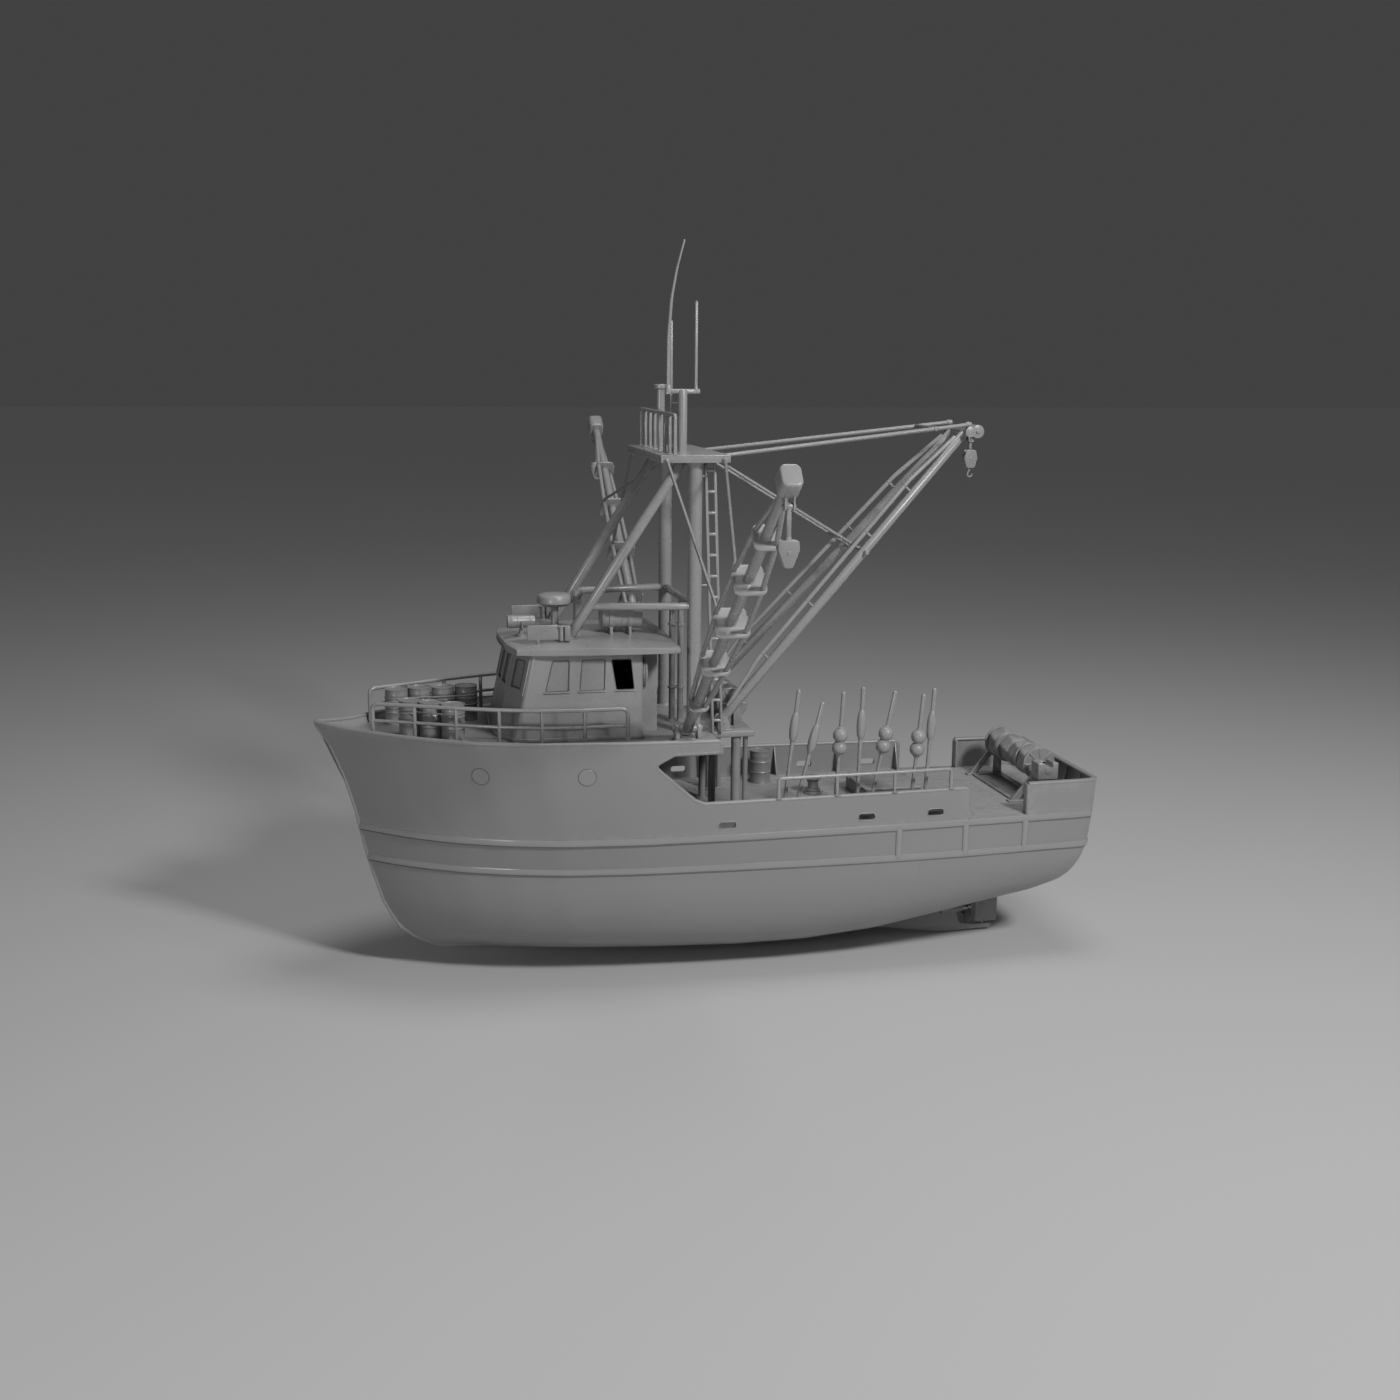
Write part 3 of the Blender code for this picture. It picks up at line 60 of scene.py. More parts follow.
def addCamera():
    data = bpy.data.cameras.new("photoCamera")
    data.lens = cameraSetup["lens"]
    data.sensor_width = cameraSetup["sensor"]
    data.sensor_fit = "HORIZONTAL"
    data.clip_end = cameraSetup["farthest"]
    camera = bpy.data.objects.new("photoCamera", data)
    bpy.context.scene.collection.objects.link(camera)
    turn = Matrix([cameraSetup[axis] for axis in ("right", "up", "back")]).transposed().to_4x4()
    camera.matrix_world = Matrix.Translation(cameraSetup["place"]) @ turn
    bpy.context.scene.camera = camera


addCamera()


# Shader node groups, shared by the finishes

def makeGroup(name, inputs, outputs):
    group = bpy.data.node_groups.new(name, "ShaderNodeTree")
    for label, value in inputs.items():
        socket = group.interface.new_socket(name=label, in_out="INPUT", socket_type="NodeSocketFloat")
        socket.default_value = value
    for label in outputs:
        group.interface.new_socket(name=label, in_out="OUTPUT", socket_type="NodeSocketFloat")
    return group, group.nodes.new("NodeGroupInput").outputs, group.nodes.new("NodeGroupOutput").inputs


def addNode(tree, kind, **values):
    node = tree.nodes.new(kind)
    for label, value in values.items():
        setattr(node, label, value)
    return node


def feed(tree, socket, value):
    # links a socket, or sets it where the value is a number or a colour
    if isinstance(value, (int, float)):
        socket.default_value = value
    elif isinstance(value, (list, tuple)):
        socket.default_value = value
    else:
        tree.links.new(value, socket)


def addMath(tree, operation, first, second):
    node = addNode(tree, "ShaderNodeMath", operation=operation)
    feed(tree, node.inputs[0], first)
    feed(tree, node.inputs[1], second)
    return node.outputs[0]


def addNoise(tree, scale, detail, roughness=0.55, stretch=None):
    place = addNode(tree, "ShaderNodeTexCoord").outputs["Object"]
    if stretch:
        mapping = addNode(tree, "ShaderNodeMapping")
        mapping.inputs["Scale"].default_value = stretch
        tree.links.new(place, mapping.inputs["Vector"])
        place = mapping.outputs["Vector"]
    noise = addNode(tree, "ShaderNodeTexNoise")
    for label, value in (("Detail", detail), ("Roughness", roughness), ("Scale", scale), ("Vector", place)):
        feed(tree, noise.inputs[label], value)
    return noise.outputs["Fac"]


def addRange(tree, value, low, high, bottom=0.0, top=1.0):
    node = addNode(tree, "ShaderNodeMapRange", interpolation_type="SMOOTHSTEP")
    for label, part in (("From Min", low), ("From Max", high), ("To Min", bottom), ("To Max", top),
                        ("Value", value)):
        feed(tree, node.inputs[label], part)
    return node.outputs["Result"]


# Scales, details and limits of the noise in each group
wearAndHighlightNoise = {
    "broadDetail": 5.0, "fineScale": 22.0, "fineDetail": 4.0, "broadShare": 0.7, "fineShare": 0.3,
    "even": 0.5,
    "runNoise": (3.0, 3.0, 0.6, (2.4, 2.4, 0.12)), "runRange": (0.56, 0.78),
    "runBreaks": (0.8, 3.0), "runBreakRange": (0.4, 0.65),
    # the edge mask paints sharp edges lighter, as rubbed wear and as a painted highlight
    "edgeRange": (0.51, 0.6), "edgeBreaks": (5.0, 5.0, 0.65), "edgeBreakRange": (0.38, 0.62),
    "swellScale": 1.7, "swellDetail": 3.0,
}


def makePaintPatches():
    # broad patches and fine specks, as a factor near one
    group, enter, leave = makeGroup("paintPatches", {"Patch Scale": 0.6, "Contrast": 0.2}, ("Shade", "Patch"))
    broad = addNoise(group, enter["Patch Scale"], wearAndHighlightNoise["broadDetail"])
    fine = addNoise(group, wearAndHighlightNoise["fineScale"], wearAndHighlightNoise["fineDetail"])
    mixed = addMath(group, "ADD", addMath(group, "MULTIPLY", broad, wearAndHighlightNoise["broadShare"]),
                    addMath(group, "MULTIPLY", fine, wearAndHighlightNoise["fineShare"]))
    swing = addMath(group, "MULTIPLY", addMath(group, "SUBTRACT", mixed, wearAndHighlightNoise["even"]), enter["Contrast"])
    group.links.new(addMath(group, "ADD", swing, 1.0), leave["Shade"])
    group.links.new(broad, leave["Patch"])
    return group


def makeMask(name, amount, strong, breaks, limits):
    # a mask that noise breaks up, times its amount
    group, enter, leave = makeGroup(name, {"Amount": amount}, ("Mask",))
    patchy = addMath(group, "MULTIPLY", strong(group), addRange(group, addNoise(group, *breaks), *limits))
    group.links.new(addMath(group, "MULTIPLY", patchy, enter["Amount"]), leave["Mask"])
    return group


def thinRuns(group):
    # thin marks that rain leaves down a wall
    return addRange(group, addNoise(group, *wearAndHighlightNoise["runNoise"]), *wearAndHighlightNoise["runRange"])


def sharpEdges(group):
    # where edges are painted brighter, as rubbed wear and as a painted highlight
    shape = addNode(group, "ShaderNodeNewGeometry").outputs["Pointiness"]
    return addRange(group, shape, *wearAndHighlightNoise["edgeRange"])


def makeBrushGrain():
    # the low swell of hand-laid paint and its fine grain, as heights
    group, enter, leave = makeGroup("brushGrain", {"Swell": 0.6, "Grain": 0.2, "Grain Scale": 70.0},
                                    ("Height",))
    swell = addMath(group, "MULTIPLY", addNoise(group, wearAndHighlightNoise["swellScale"], wearAndHighlightNoise["swellDetail"]),
                    enter["Swell"])
    fine = addNoise(group, enter["Grain Scale"], wearAndHighlightNoise["swellDetail"])
    group.links.new(addMath(group, "ADD", swell, addMath(group, "MULTIPLY", fine, enter["Grain"])),
                    leave["Height"])
    return group


groups = {
    "patches": makePaintPatches(),
    "runs": makeMask("runMarks", 0.3, thinRuns, wearAndHighlightNoise["runBreaks"], wearAndHighlightNoise["runBreakRange"]),
    # edges painted lighter, as rubbed wear and as a painted highlight
    "rubAndHighlight": makeMask("edgeRubAndHighlight", 0.5, sharpEdges, wearAndHighlightNoise["edgeBreaks"], wearAndHighlightNoise["edgeBreakRange"]),
    "grain": makeBrushGrain(),
}

# What each finish is made of, where it is not as the common look. Slot is the record's material slot.
commonLook = {
    "slot": "gear_paint", "metal": 0.0, "coat": 0.0, "patchScale": 3.0, "contrast": 0.08, "runs": 0.0,
    "rubAndHighlight": 0.3, "swell": 0.2, "grain": 0.15, "grainScale": 60.0, "bump": 0.004,
    # shared by every finish: the coat's roughness, how far edges are painted lighter, as rubbed wear and as a
    # painted highlight, how far rain marks darken, and the bump's strength
    "coatRough": 0.25, "rubAndHighlightLift": 1.5, "darken": 0.62, "patchRange": (0.3, 0.7), "smoother": 0.07,
    "rougher": 0.09, "rubbedSmooth": 0.1, "strength": 0.55,
}
finishes = {
    "hullPaint": {"slot": "hull_paint", "shade": 0.226, "rough": 0.38, "coat": 0.12, "patchScale": 0.45,
                  "runs": 0.16, "rubAndHighlight": 0.36, "swell": 0.9, "grain": 0.08, "bump": 0.012},
    "strakePaint": {"slot": "hull_paint", "shade": 0.255, "rough": 0.17, "coat": 0.25, "patchScale": 0.9,
                    "rubAndHighlight": 0.0, "swell": 0.3, "grain": 0.03, "grainScale": 34.0, "bump": 0.006},
    "deckPaint": {"slot": "deck_paint", "shade": 0.225, "rough": 0.5, "patchScale": 0.9, "contrast": 0.22,
                  "rubAndHighlight": 0.35, "swell": 0.3, "grain": 0.4, "grainScale": 120.0, "bump": 0.009},
    "deckWood": {"slot": "deck_paint", "shade": 0.24, "rough": 0.5, "patchScale": 1.3, "contrast": 0.34,
                 "grain": 0.5, "grainScale": 40.0, "bump": 0.01},
    "housePaint": {"slot": "house_paint", "shade": 0.258, "rough": 0.32, "coat": 0.18, "patchScale": 0.8,
                   "contrast": 0.07, "runs": 0.18, "rubAndHighlight": 0.32, "swell": 0.3, "grain": 0.08,
                   "grainScale": 70.0, "bump": 0.01},
    "rigPaint": {"slot": "rig_paint", "shade": 0.266, "rough": 0.25, "metal": 0.1, "coat": 0.2,
                 "patchScale": 1.8, "contrast": 0.06, "rubAndHighlight": 0.22},
    "gearPaint": {"shade": 0.238, "rough": 0.34, "metal": 0.15, "coat": 0.1, "patchScale": 2.4,
                  "contrast": 0.14, "runs": 0.1, "rubAndHighlight": 0.4, "swell": 0.3, "grain": 0.25,
                  "grainScale": 80.0, "bump": 0.008},
    "wire": {"slot": "rope", "shade": 0.225, "rough": 0.45, "metal": 0.3, "contrast": 0.2, "rubAndHighlight": 0.2,
             "grain": 0.5, "grainScale": 120.0, "bump": 0.006},
    "bareSteel": {"slot": "bare_steel", "shade": 0.3, "rough": 0.34, "metal": 0.85, "contrast": 0.25,
                  "rubAndHighlight": 0.4, "swell": 0.3, "grain": 0.3, "grainScale": 90.0, "bump": 0.006},
    "plastic": {"slot": "float_plastic", "shade": 0.255, "rough": 0.34, "coat": 0.2, "contrast": 0.12,
                "rubAndHighlight": 0.25, "grainScale": 140.0},
    "netting": {"shade": 0.25, "rough": 0.55, "patchScale": 4.0, "contrast": 0.34, "swell": 0.9,
                "grain": 0.9, "grainScale": 24.0, "bump": 0.018},
    "pane": {"slot": "house_paint", "shade": 0.232, "rough": 0.22, "coat": 0.5, "patchScale": 1.5,
             "rubAndHighlight": 0.0, "swell": 0.3, "grain": 0.02, "bump": 0.003},
    # dark rubber; the same dark finish paints shadow lines under the strakes, round the porthole covers and
    # round the windows
    "rubberAndShadowLines": {"shade": 0.12, "rough": 0.6, "patchScale": 4.0, "contrast": 0.2, "rubAndHighlight": 0.15,
               "grain": 0.4, "grainScale": 110.0},
}


def makeFinish(name, look):
    material = bpy.data.materials.new(name)
    material.use_nodes = True
    tree = material.node_tree
    shader = tree.nodes["Principled BSDF"]
    for label, key in (("Metallic", "metal"), ("Coat Weight", "coat"), ("Coat Roughness", "coatRough")):
        shader.inputs[label].default_value = look[key]

    def place(key, **values):
        node = addNode(tree, "ShaderNodeGroup", node_tree=groups[key])
        for label, value in values.items():
            node.inputs[label.replace("_", " ")].default_value = value
        return node.outputs

    def mixColor(kind, factor, first, second):
        node = addNode(tree, "ShaderNodeMix", data_type="RGBA", blend_type=kind)
        for label, value in (("Factor", factor), ("A", first), ("B", second)):
            feed(tree, node.inputs[label], value)
        return node.outputs["Result"]

    patches = place("patches", Patch_Scale=look["patchScale"], Contrast=look["contrast"])
    runs = place("runs", Amount=look["runs"])["Mask"]
    rubAndHighlight = place("rubAndHighlight", Amount=look["rubAndHighlight"])["Mask"]
    grain = place("grain", Swell=look["swell"], Grain=look["grain"], Grain_Scale=look["grainScale"])
    # edges are painted lighter, as rubbed wear and as a painted highlight; rain marks darken
    base, rubAndHighlightColor, darker = ((look["shade"] * share,) * 3 + (1.0,)
                             for share in (1, look["rubAndHighlightLift"], look["darken"]))
    shaded = mixColor("MULTIPLY", 1.0, base, patches["Shade"])
    rubbedAndHighlit = mixColor("MIX", rubAndHighlight, mixColor("MIX", runs, shaded, darker), rubAndHighlightColor)
    tree.links.new(rubbedAndHighlit, shader.inputs["Base Color"])
    rough = addRange(tree, patches["Patch"], *look["patchRange"], look["rough"] - look["smoother"],
                     look["rough"] + look["rougher"])
    smoothed = addMath(tree, "MULTIPLY", rubAndHighlight, look["rubbedSmooth"])
    tree.links.new(addMath(tree, "SUBTRACT", rough, smoothed), shader.inputs["Roughness"])
    bump = addNode(tree, "ShaderNodeBump")
    bump.inputs["Strength"].default_value = look["strength"]
    bump.inputs["Distance"].default_value = look["bump"]
    tree.links.new(grain["Height"], bump.inputs["Height"])
    tree.links.new(bump.outputs["Normal"], shader.inputs["Normal"])
    return material


for finishName, finishLook in finishes.items():
    finishes[finishName] = {**commonLook, **finishLook}
    finishes[finishName]["material"] = makeFinish(finishName, finishes[finishName])
print("finishes made")

# Mesh helpers. Each returns a bmesh, and addPiece joins them into one object.

# how close points merge, how sharp an edge stays hard, and how sharp an edge is rounded, in degrees
meshing = {"merge": 0.00002, "smooth": 35, "round": 30, "prismRound": 40, "plateRound": 45}


def anglesRound(count):
    return [2 * math.pi * k / count for k in range(count)]


def spokeAt(angle, plane):
    a, b = math.cos(angle), math.sin(angle)
    return Vector({"XY": (a, b, 0), "XZ": (a, 0, b), "YZ": (0, a, b)}[plane])


def lifted(profile, level):
    return [(radius, level + height) for radius, height in profile]


def sided(point, side):
    return Vector((point[0], point[1] * side, point[2]))


def joinParts(parts):
    whole = bmesh.new()
    for part in parts:
        scratch = bpy.data.meshes.new("scratch")
        part.to_mesh(scratch)
        part.free()
        whole.from_mesh(scratch)
        bpy.data.meshes.remove(scratch)
    return whole


def addObject(name, parts, finish, smooth=meshing["smooth"]):
    bm = joinParts(parts)
    bmesh.ops.remove_doubles(bm, verts=bm.verts, dist=meshing["merge"])
    bmesh.ops.recalc_face_normals(bm, faces=bm.faces)
    mesh = bpy.data.meshes.new(name)
    bm.to_mesh(mesh)
    bm.free()
    mesh.shade_smooth()
    mesh.set_sharp_from_angle(angle=math.radians(smooth))
    mesh.materials.append(finishes[finish]["material"])
    piece = bpy.data.objects.new(name, mesh)
    bpy.context.scene.collection.objects.link(piece)
    return piece


def addPiece(name, parts, finish, nodes=(), body="boat", smooth=meshing["smooth"]):
    piece = addObject(name, parts, finish, smooth)
    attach(piece, body)
    if nodes:
        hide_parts(*nodes)
    return piece


def cutPiece(piece, cutters, smooth=meshing["smooth"]):
    # takes the cutters out of a piece
    for cutter in cutters:
        mesh = bpy.data.meshes.new("cutter")
        bmesh.ops.recalc_face_normals(cutter, faces=cutter.faces)
        cutter.to_mesh(mesh)
        cutter.free()
        tool = bpy.data.objects.new("cutter", mesh)
        bpy.context.scene.collection.objects.link(tool)
        step = piece.modifiers.new("cut", "BOOLEAN")
        step.operation = "DIFFERENCE"
        step.object = tool
        takeResult(piece)
        bpy.data.objects.remove(tool)
    piece.data.shade_smooth()
    piece.data.set_sharp_from_angle(angle=math.radians(smooth))


def takeResult(piece):
    bpy.context.view_layer.update()
    evaluated = piece.evaluated_get(bpy.context.evaluated_depsgraph_get())
    result = bpy.data.meshes.new_from_object(evaluated)
    piece.modifiers.clear()
    piece.data = result


def softened(bm, width, steps=2, angle=meshing["round"]):
    bm.normal_update()
    edges = [edge for edge in bm.edges
             if len(edge.link_faces) == 2 and edge.calc_face_angle(0.0) > math.radians(angle)]
    if edges and width:
        bmesh.ops.bevel(bm, geom=edges, offset=width, offset_type="OFFSET", segments=steps, profile=0.5,
                        affect="EDGES", clamp_overlap=True)
    return bm


def boxPart(low, high, bevel=0.012, steps=2):
    bm = bmesh.new()
    size = [high[k] - low[k] for k in range(3)]
    middle = [(high[k] + low[k]) / 2 for k in range(3)]
    bmesh.ops.create_cube(bm, size=1.0)
    bm.transform(Matrix.Translation(middle) @ Matrix.Diagonal((*size, 1.0)))
    return softened(bm, min(bevel, min(size) * 0.4), steps)


def padPart(middle, half, low, high, bevel=0.012, steps=2):
    # a block by its middle and half widths in plan
    (x, y), (a, b) = middle, half
    return boxPart((x - a, y - b, low), (x + a, y + b, high), bevel, steps)


def turnedPart(profile, sides, centre, axis="Z"):
    # a solid of revolution from (radius, height) points that start and end on the axis
    bm = bmesh.new()
    rings = []
    for radius, height in profile:
        if radius == 0.0:
            rings.append([bm.verts.new((0, 0, height))])
        else:
            rings.append([bm.verts.new((radius * math.cos(angle), radius * math.sin(angle), height))
                          for angle in anglesRound(sides)])
    for lower, upper in zip(rings, rings[1:]):
        for k in range(sides):
            after = (k + 1) % sides
            if len(lower) == 1:
                bm.faces.new((lower[0], upper[after], upper[k]))
            elif len(upper) == 1:
                bm.faces.new((lower[k], lower[after], upper[0]))
            else:
                bm.faces.new((lower[k], lower[after], upper[after], upper[k]))
    turns = {"Z": Matrix.Identity(4), "X": Matrix.Rotation(math.pi / 2, 4, "Y"),
             "Y": Matrix.Rotation(-math.pi / 2, 4, "X")}
    turn = turns[axis] if isinstance(axis, str) else axis.to_track_quat("Z", "X").to_matrix().to_4x4()
    bm.transform(Matrix.Translation(centre) @ turn)
    return bm


def rodPart(start, end, radius, sides=16, endRadius=None, bevel=0.008):
    # a round bar or taper with rounded rims
    start, end = Vector(start), Vector(end)
    endRadius = radius if endRadius is None else endRadius
    length = (end - start).length
    bevel = min(bevel, radius * 0.4, endRadius * 0.4, length * 0.3)
    profile = [(0.0, 0.0), (radius - bevel, 0.0), (radius - bevel * 0.3, bevel * 0.3), (radius, bevel),
               (endRadius, length - bevel), (endRadius - bevel * 0.3, length - bevel * 0.3),
               (endRadius - bevel, length), (0.0, length)]
    return turnedPart(profile, sides, start, end - start)


def ringPart(centre, axis, radius, thickness, steps=24, sides=8):
    # a round ring about an axis
    turn = Vector(axis).to_track_quat("Z", "X").to_matrix()
    rows = []
    for around in anglesRound(steps):
        row = []
        for angle in anglesRound(sides):
            spot = spokeAt(around, "XY") * (radius + thickness * math.cos(angle))
            spot.z = thickness * math.sin(angle)
            row.append(Vector(centre) + turn @ spot)
        rows.append(row)
    return skinPart(rows, closedEnds=True)


def ballPart(centre, radius, sides=20):
    steps = sides // 2
    profile = [(radius * math.sin(math.pi * k / steps), -radius * math.cos(math.pi * k / steps))
               for k in range(steps + 1)]
    profile[0], profile[-1] = (0.0, -radius), (0.0, radius)
    return turnedPart(profile, sides, centre)


def prismPart(outline, low, high, along="Z", bevel=0.01, steps=2):
    # a flat outline pulled out along one axis
    place = {"Z": lambda a, b, h: (a, b, h), "Y": lambda a, b, h: (a, h, b),
             "X": lambda a, b, h: (h, a, b)}[along]
    return platePart(outline, place, low, high, bevel, steps, meshing["prismRound"])


def slabPart(outline, middle, half, along, bevel=0.012, steps=2):
    return prismPart(outline, middle - half, middle + half, along, bevel, steps)


def platePart(outline, place, low, high, bevel=0.006, steps=2, angle=meshing["plateRound"]):
    # a plate on a wall, whose place turns (a, b, height off the wall) into a point
    bm = bmesh.new()
    bottom = [bm.verts.new(place(a, b, low)) for a, b in outline]
    top = [bm.verts.new(place(a, b, high)) for a, b in outline]
    bm.faces.new(bottom)
    bm.faces.new(top)
    count = len(outline)
    for k in range(count):
        after = (k + 1) % count
        bm.faces.new((bottom[k], bottom[after], top[after], top[k]))
    bmesh.ops.recalc_face_normals(bm, faces=bm.faces)
    return softened(bm, bevel, steps, angle)


def skinPart(rows, closedEnds=False, caps=True):
    # a skin over rows of points, each row a closed loop
    bm = bmesh.new()
    grid = [[bm.verts.new(point) for point in row] for row in rows]
    count = len(grid[0])
    pairs = list(zip(grid, grid[1:]))
    if closedEnds:
        pairs.append((grid[-1], grid[0]))
    for first, second in pairs:
        for k in range(count):
            after = (k + 1) % count
            bm.faces.new((first[k], first[after], second[after], second[k]))
    if caps and not closedEnds:
        bm.faces.new(grid[0])
        bm.faces.new(grid[-1])
    return bm


def filleted(points, radius, steps=5):
    # rounds each inner corner of a path
    points = [Vector(point) for point in points]
    result = [points[0]]
    for before, corner, after in zip(points, points[1:], points[2:]):
        into, out = (corner - before), (after - corner)
        turn = into.angle(out, 0.0)
        if turn < 0.05:
            result.append(corner)
            continue
        reach = min(radius * math.tan(turn / 2), into.length * 0.45, out.length * 0.45)
        start, end = corner - into.normalized() * reach, corner + out.normalized() * reach
        for k in range(steps + 1):
            share = k / steps
            result.append(start * (1 - share) ** 2 + corner * 2 * share * (1 - share) + end * share ** 2)
    result.append(points[-1])
    return result


def tubePart(points, radius, sides=12, endRadius=None):
    # a round bar that runs through points, mitred at each bend
    points = [Vector(point) for point in points]
    count = len(points)
    endRadius = radius if endRadius is None else endRadius
    radii = [radius + (endRadius - radius) * k / (count - 1) for k in range(count)]
    runs = [(after - before).normalized() for before, after in zip(points, points[1:])]
    up = runs[0].orthogonal().normalized()
    rows = []
    for k, point in enumerate(points):
        before, after = runs[max(k - 1, 0)], runs[min(k, len(runs) - 1)]
        normal = (before + after).normalized()
        up = (up - after * up.dot(after)).normalized()
        across = after.cross(up)
        row = []
        for j in range(sides):
            angle = 2 * math.pi * (j + 0.5) / sides
            spoke = (up * math.cos(angle) + across * math.sin(angle)) * radii[k]
            row.append(point + spoke - after * (spoke.dot(normal) / after.dot(normal)))
        rows.append(row)
    return skinPart(rows)


def weldPart(centre, axis, radius, bead=0.012):
    return ringPart(centre, axis, radius, bead, 20, 6)


def boltPart(centre, axis, size=0.022):
    # a hexagonal head, set a little into its seat
    axis = Vector(axis).normalized()
    start = Vector(centre) - axis * 0.004
    head = ((0, 0), (1, 0), (1, 0.75), (0.85, 0.9), (0, 0.9))
    return turnedPart([(size * radius, size * height) for radius, height in head], 6, start, axis)


def rounded(width, height, radius, steps=4):
    points = []
    for corner, (sx, sy) in enumerate(((1, 1), (-1, 1), (-1, -1), (1, -1))):
        for k in range(steps + 1):
            angle = math.pi / 2 * (corner + k / steps)
            points.append((sx * (width / 2 - radius) + radius * math.cos(angle),
                           sy * (height / 2 - radius) + radius * math.sin(angle)))
    return points


bothSides = (("port", 1), ("starboard", -1))
deckSeat = {"main": 1.5003, "fore": 3.7503}   # where pieces stand, a hair above the decks

# Hull form, by level for the stem and the transom and by stations between them
hullForm = {
    "stem": ((-1.8, 7.04), (-1.26, 7.77), (-0.58, 8.13), (0.56, 8.47), (1.37, 8.65),
             (1.78, 8.73), (2.68, 8.99), (3.52, 9.32), (4.09, 9.7)),
    "transom": ((-1.1, -9.1), (-0.5, -9.3), (0.1, -9.56), (0.6, -9.7), (1.4, -9.78),
                (2.32, -9.84), (4.09, -9.9)),
    # fraction of the length, keel level, half breadth at the lower strake, upper strake and rim, fullness
    "stations": (
        (0.0, -0.62, 2.22, 2.28, 2.34, 3.6),
        (0.012, -0.8, 2.42, 2.48, 2.54, 3.6),
        (0.05, -1.02, 2.5, 2.55, 2.6, 3.6),
        (0.12, -1.26, 2.6, 2.62, 2.62, 3.4),
        (0.2, -1.52, 2.71, 2.7, 2.7, 3.2),
        (0.3, -1.84, 2.76, 2.79, 2.78, 3.0),
        (0.42, -2.02, 2.74, 2.84, 2.84, 3.0),
        (0.53, -2.05, 2.68, 2.85, 3.02, 2.9),
        (0.65, -2.03, 2.57, 2.8, 3.1, 2.6),
        (0.75, -2.0, 2.34, 2.6, 3.06, 2.4),
        (0.82, -1.97, 2.0, 2.25, 2.66, 2.3),
        (0.88, -1.93, 1.57, 1.77, 1.98, 2.2),
        (0.93, -1.88, 1.05, 1.2, 1.24, 2.1),
        (0.97, -1.83, 0.54, 0.58, 0.55, 2.0),
        (1.0, -1.8, 0.05, 0.05, 0.05, 2.0),
    ),
    "shelterUnder": 3.51,
    "lowerStrake": 0.6, "upperStrake": 1.4, "rimLevel": 4.0, "plate": 0.1,
    "rims": ((0.19, 3.87), (5.0, 3.98), (8.9, 4.0), (9.6, 4.09)),
    "knuckleSoftness": 0.012, "levelSoftness": 0.1, "quarterTurn": 0.05, "quarterPower": 2.6,
}


def readTable(table, value, column=1):
    if value <= table[0][0]:
        return table[0][column]
    for before, after in zip(table, table[1:]):
        if value <= after[0]:
            share = (value - before[0]) / (after[0] - before[0])
            return before[column] + share * (after[column] - before[column])
    return table[-1][column]


def readSoft(table, value, column, window, start=None):
    # rounds the table's corners over a window that closes at its ends
    start = table[0][0] if start is None else start
    window = min(window, value - start, table[-1][0] - value)
    if window <= 0:
        return readTable(table, value, column)
    spots = [readTable(table, value + window * share, column) for share in (-1, -0.5, 0, 0.5, 1)]
    return (spots[0] + 2 * spots[1] + 2 * spots[2] + 2 * spots[3] + spots[4]) / 8


def along(fraction, level):
    aft = readSoft(hullForm["transom"], level, 1, hullForm["levelSoftness"])
    fore = readSoft(hullForm["stem"], level, 1, hullForm["levelSoftness"])
    return aft + (fore - aft) * fraction


def breadthAt(fraction, column):
    turn, power = hullForm["quarterTurn"], hullForm["quarterPower"]
    if fraction >= turn:
        return readSoft(hullForm["stations"], fraction, column, hullForm["knuckleSoftness"], turn)
    transom, side = (readTable(hullForm["stations"], mark, column) for mark in (0.0, turn))
    return transom + (side - transom) * (1 - (1 - fraction / turn) ** power) ** (1 / power)


def sideY(fraction, level):
    low, high, rim = (breadthAt(fraction, column) for column in (2, 3, 4))
    if level <= hullForm["upperStrake"]:
        share = (level - hullForm["lowerStrake"]) / (hullForm["upperStrake"] - hullForm["lowerStrake"])
        return low + (high - low) * share
    share = (level - hullForm["upperStrake"]) / (hullForm["rimLevel"] - hullForm["upperStrake"])
    return high + (rim - high) * share


def fractionAt(x, level):
    aft = readTable(hullForm["transom"], level)
    return (x - aft) / (readTable(hullForm["stem"], level) - aft)


def sidePoint(x, level, side=1, outset=0.0):
    return Vector((x, side * (sideY(fractionAt(x, level), level) + outset), level))


def fineFractions(low=0.0, high=1.0, step=0.02):
    # even steps, closer where the quarter and the bow turn
    marks = [0.0, 0.004, 0.008, 0.012, 0.018, 0.026, 0.036]
    value = 0.05
    while value < 0.996:
        marks.append(round(value, 4))
        value += step if value < 0.72 else step * 0.55
    marks.append(1.0)
    inner = [mark for mark in marks if low + step * 0.3 < mark < high - step * 0.1]
    return [low, *inner, high]


def rimLevelAt(x):
    return readTable(hullForm["rims"], x)


def sweepPart(path, section, hold=(0, 0, 1), closed=False):
    # carries a section of (out, up) points along a path, with up held near one direction
    path = [Vector(point) for point in path]
    hold, count = Vector(hold), len(path)
    rows = []
    for k, point in enumerate(path):
        before = path[k - 1] if closed or k else path[0]
        after = path[(k + 1) % count] if closed or k < count - 1 else path[-1]
        tangent = (after - before).normalized()
        out = tangent.cross(hold).normalized()
        up = out.cross(tangent)
        rows.append([point + out * a + up * b for a, b in section])
    return skinPart(rows, closedEnds=closed)


def roundSection(across, upright=None, sides=12):
    upright = across if upright is None else upright
    return [(across * math.cos(angle), upright * math.sin(angle)) for angle in anglesRound(sides)]


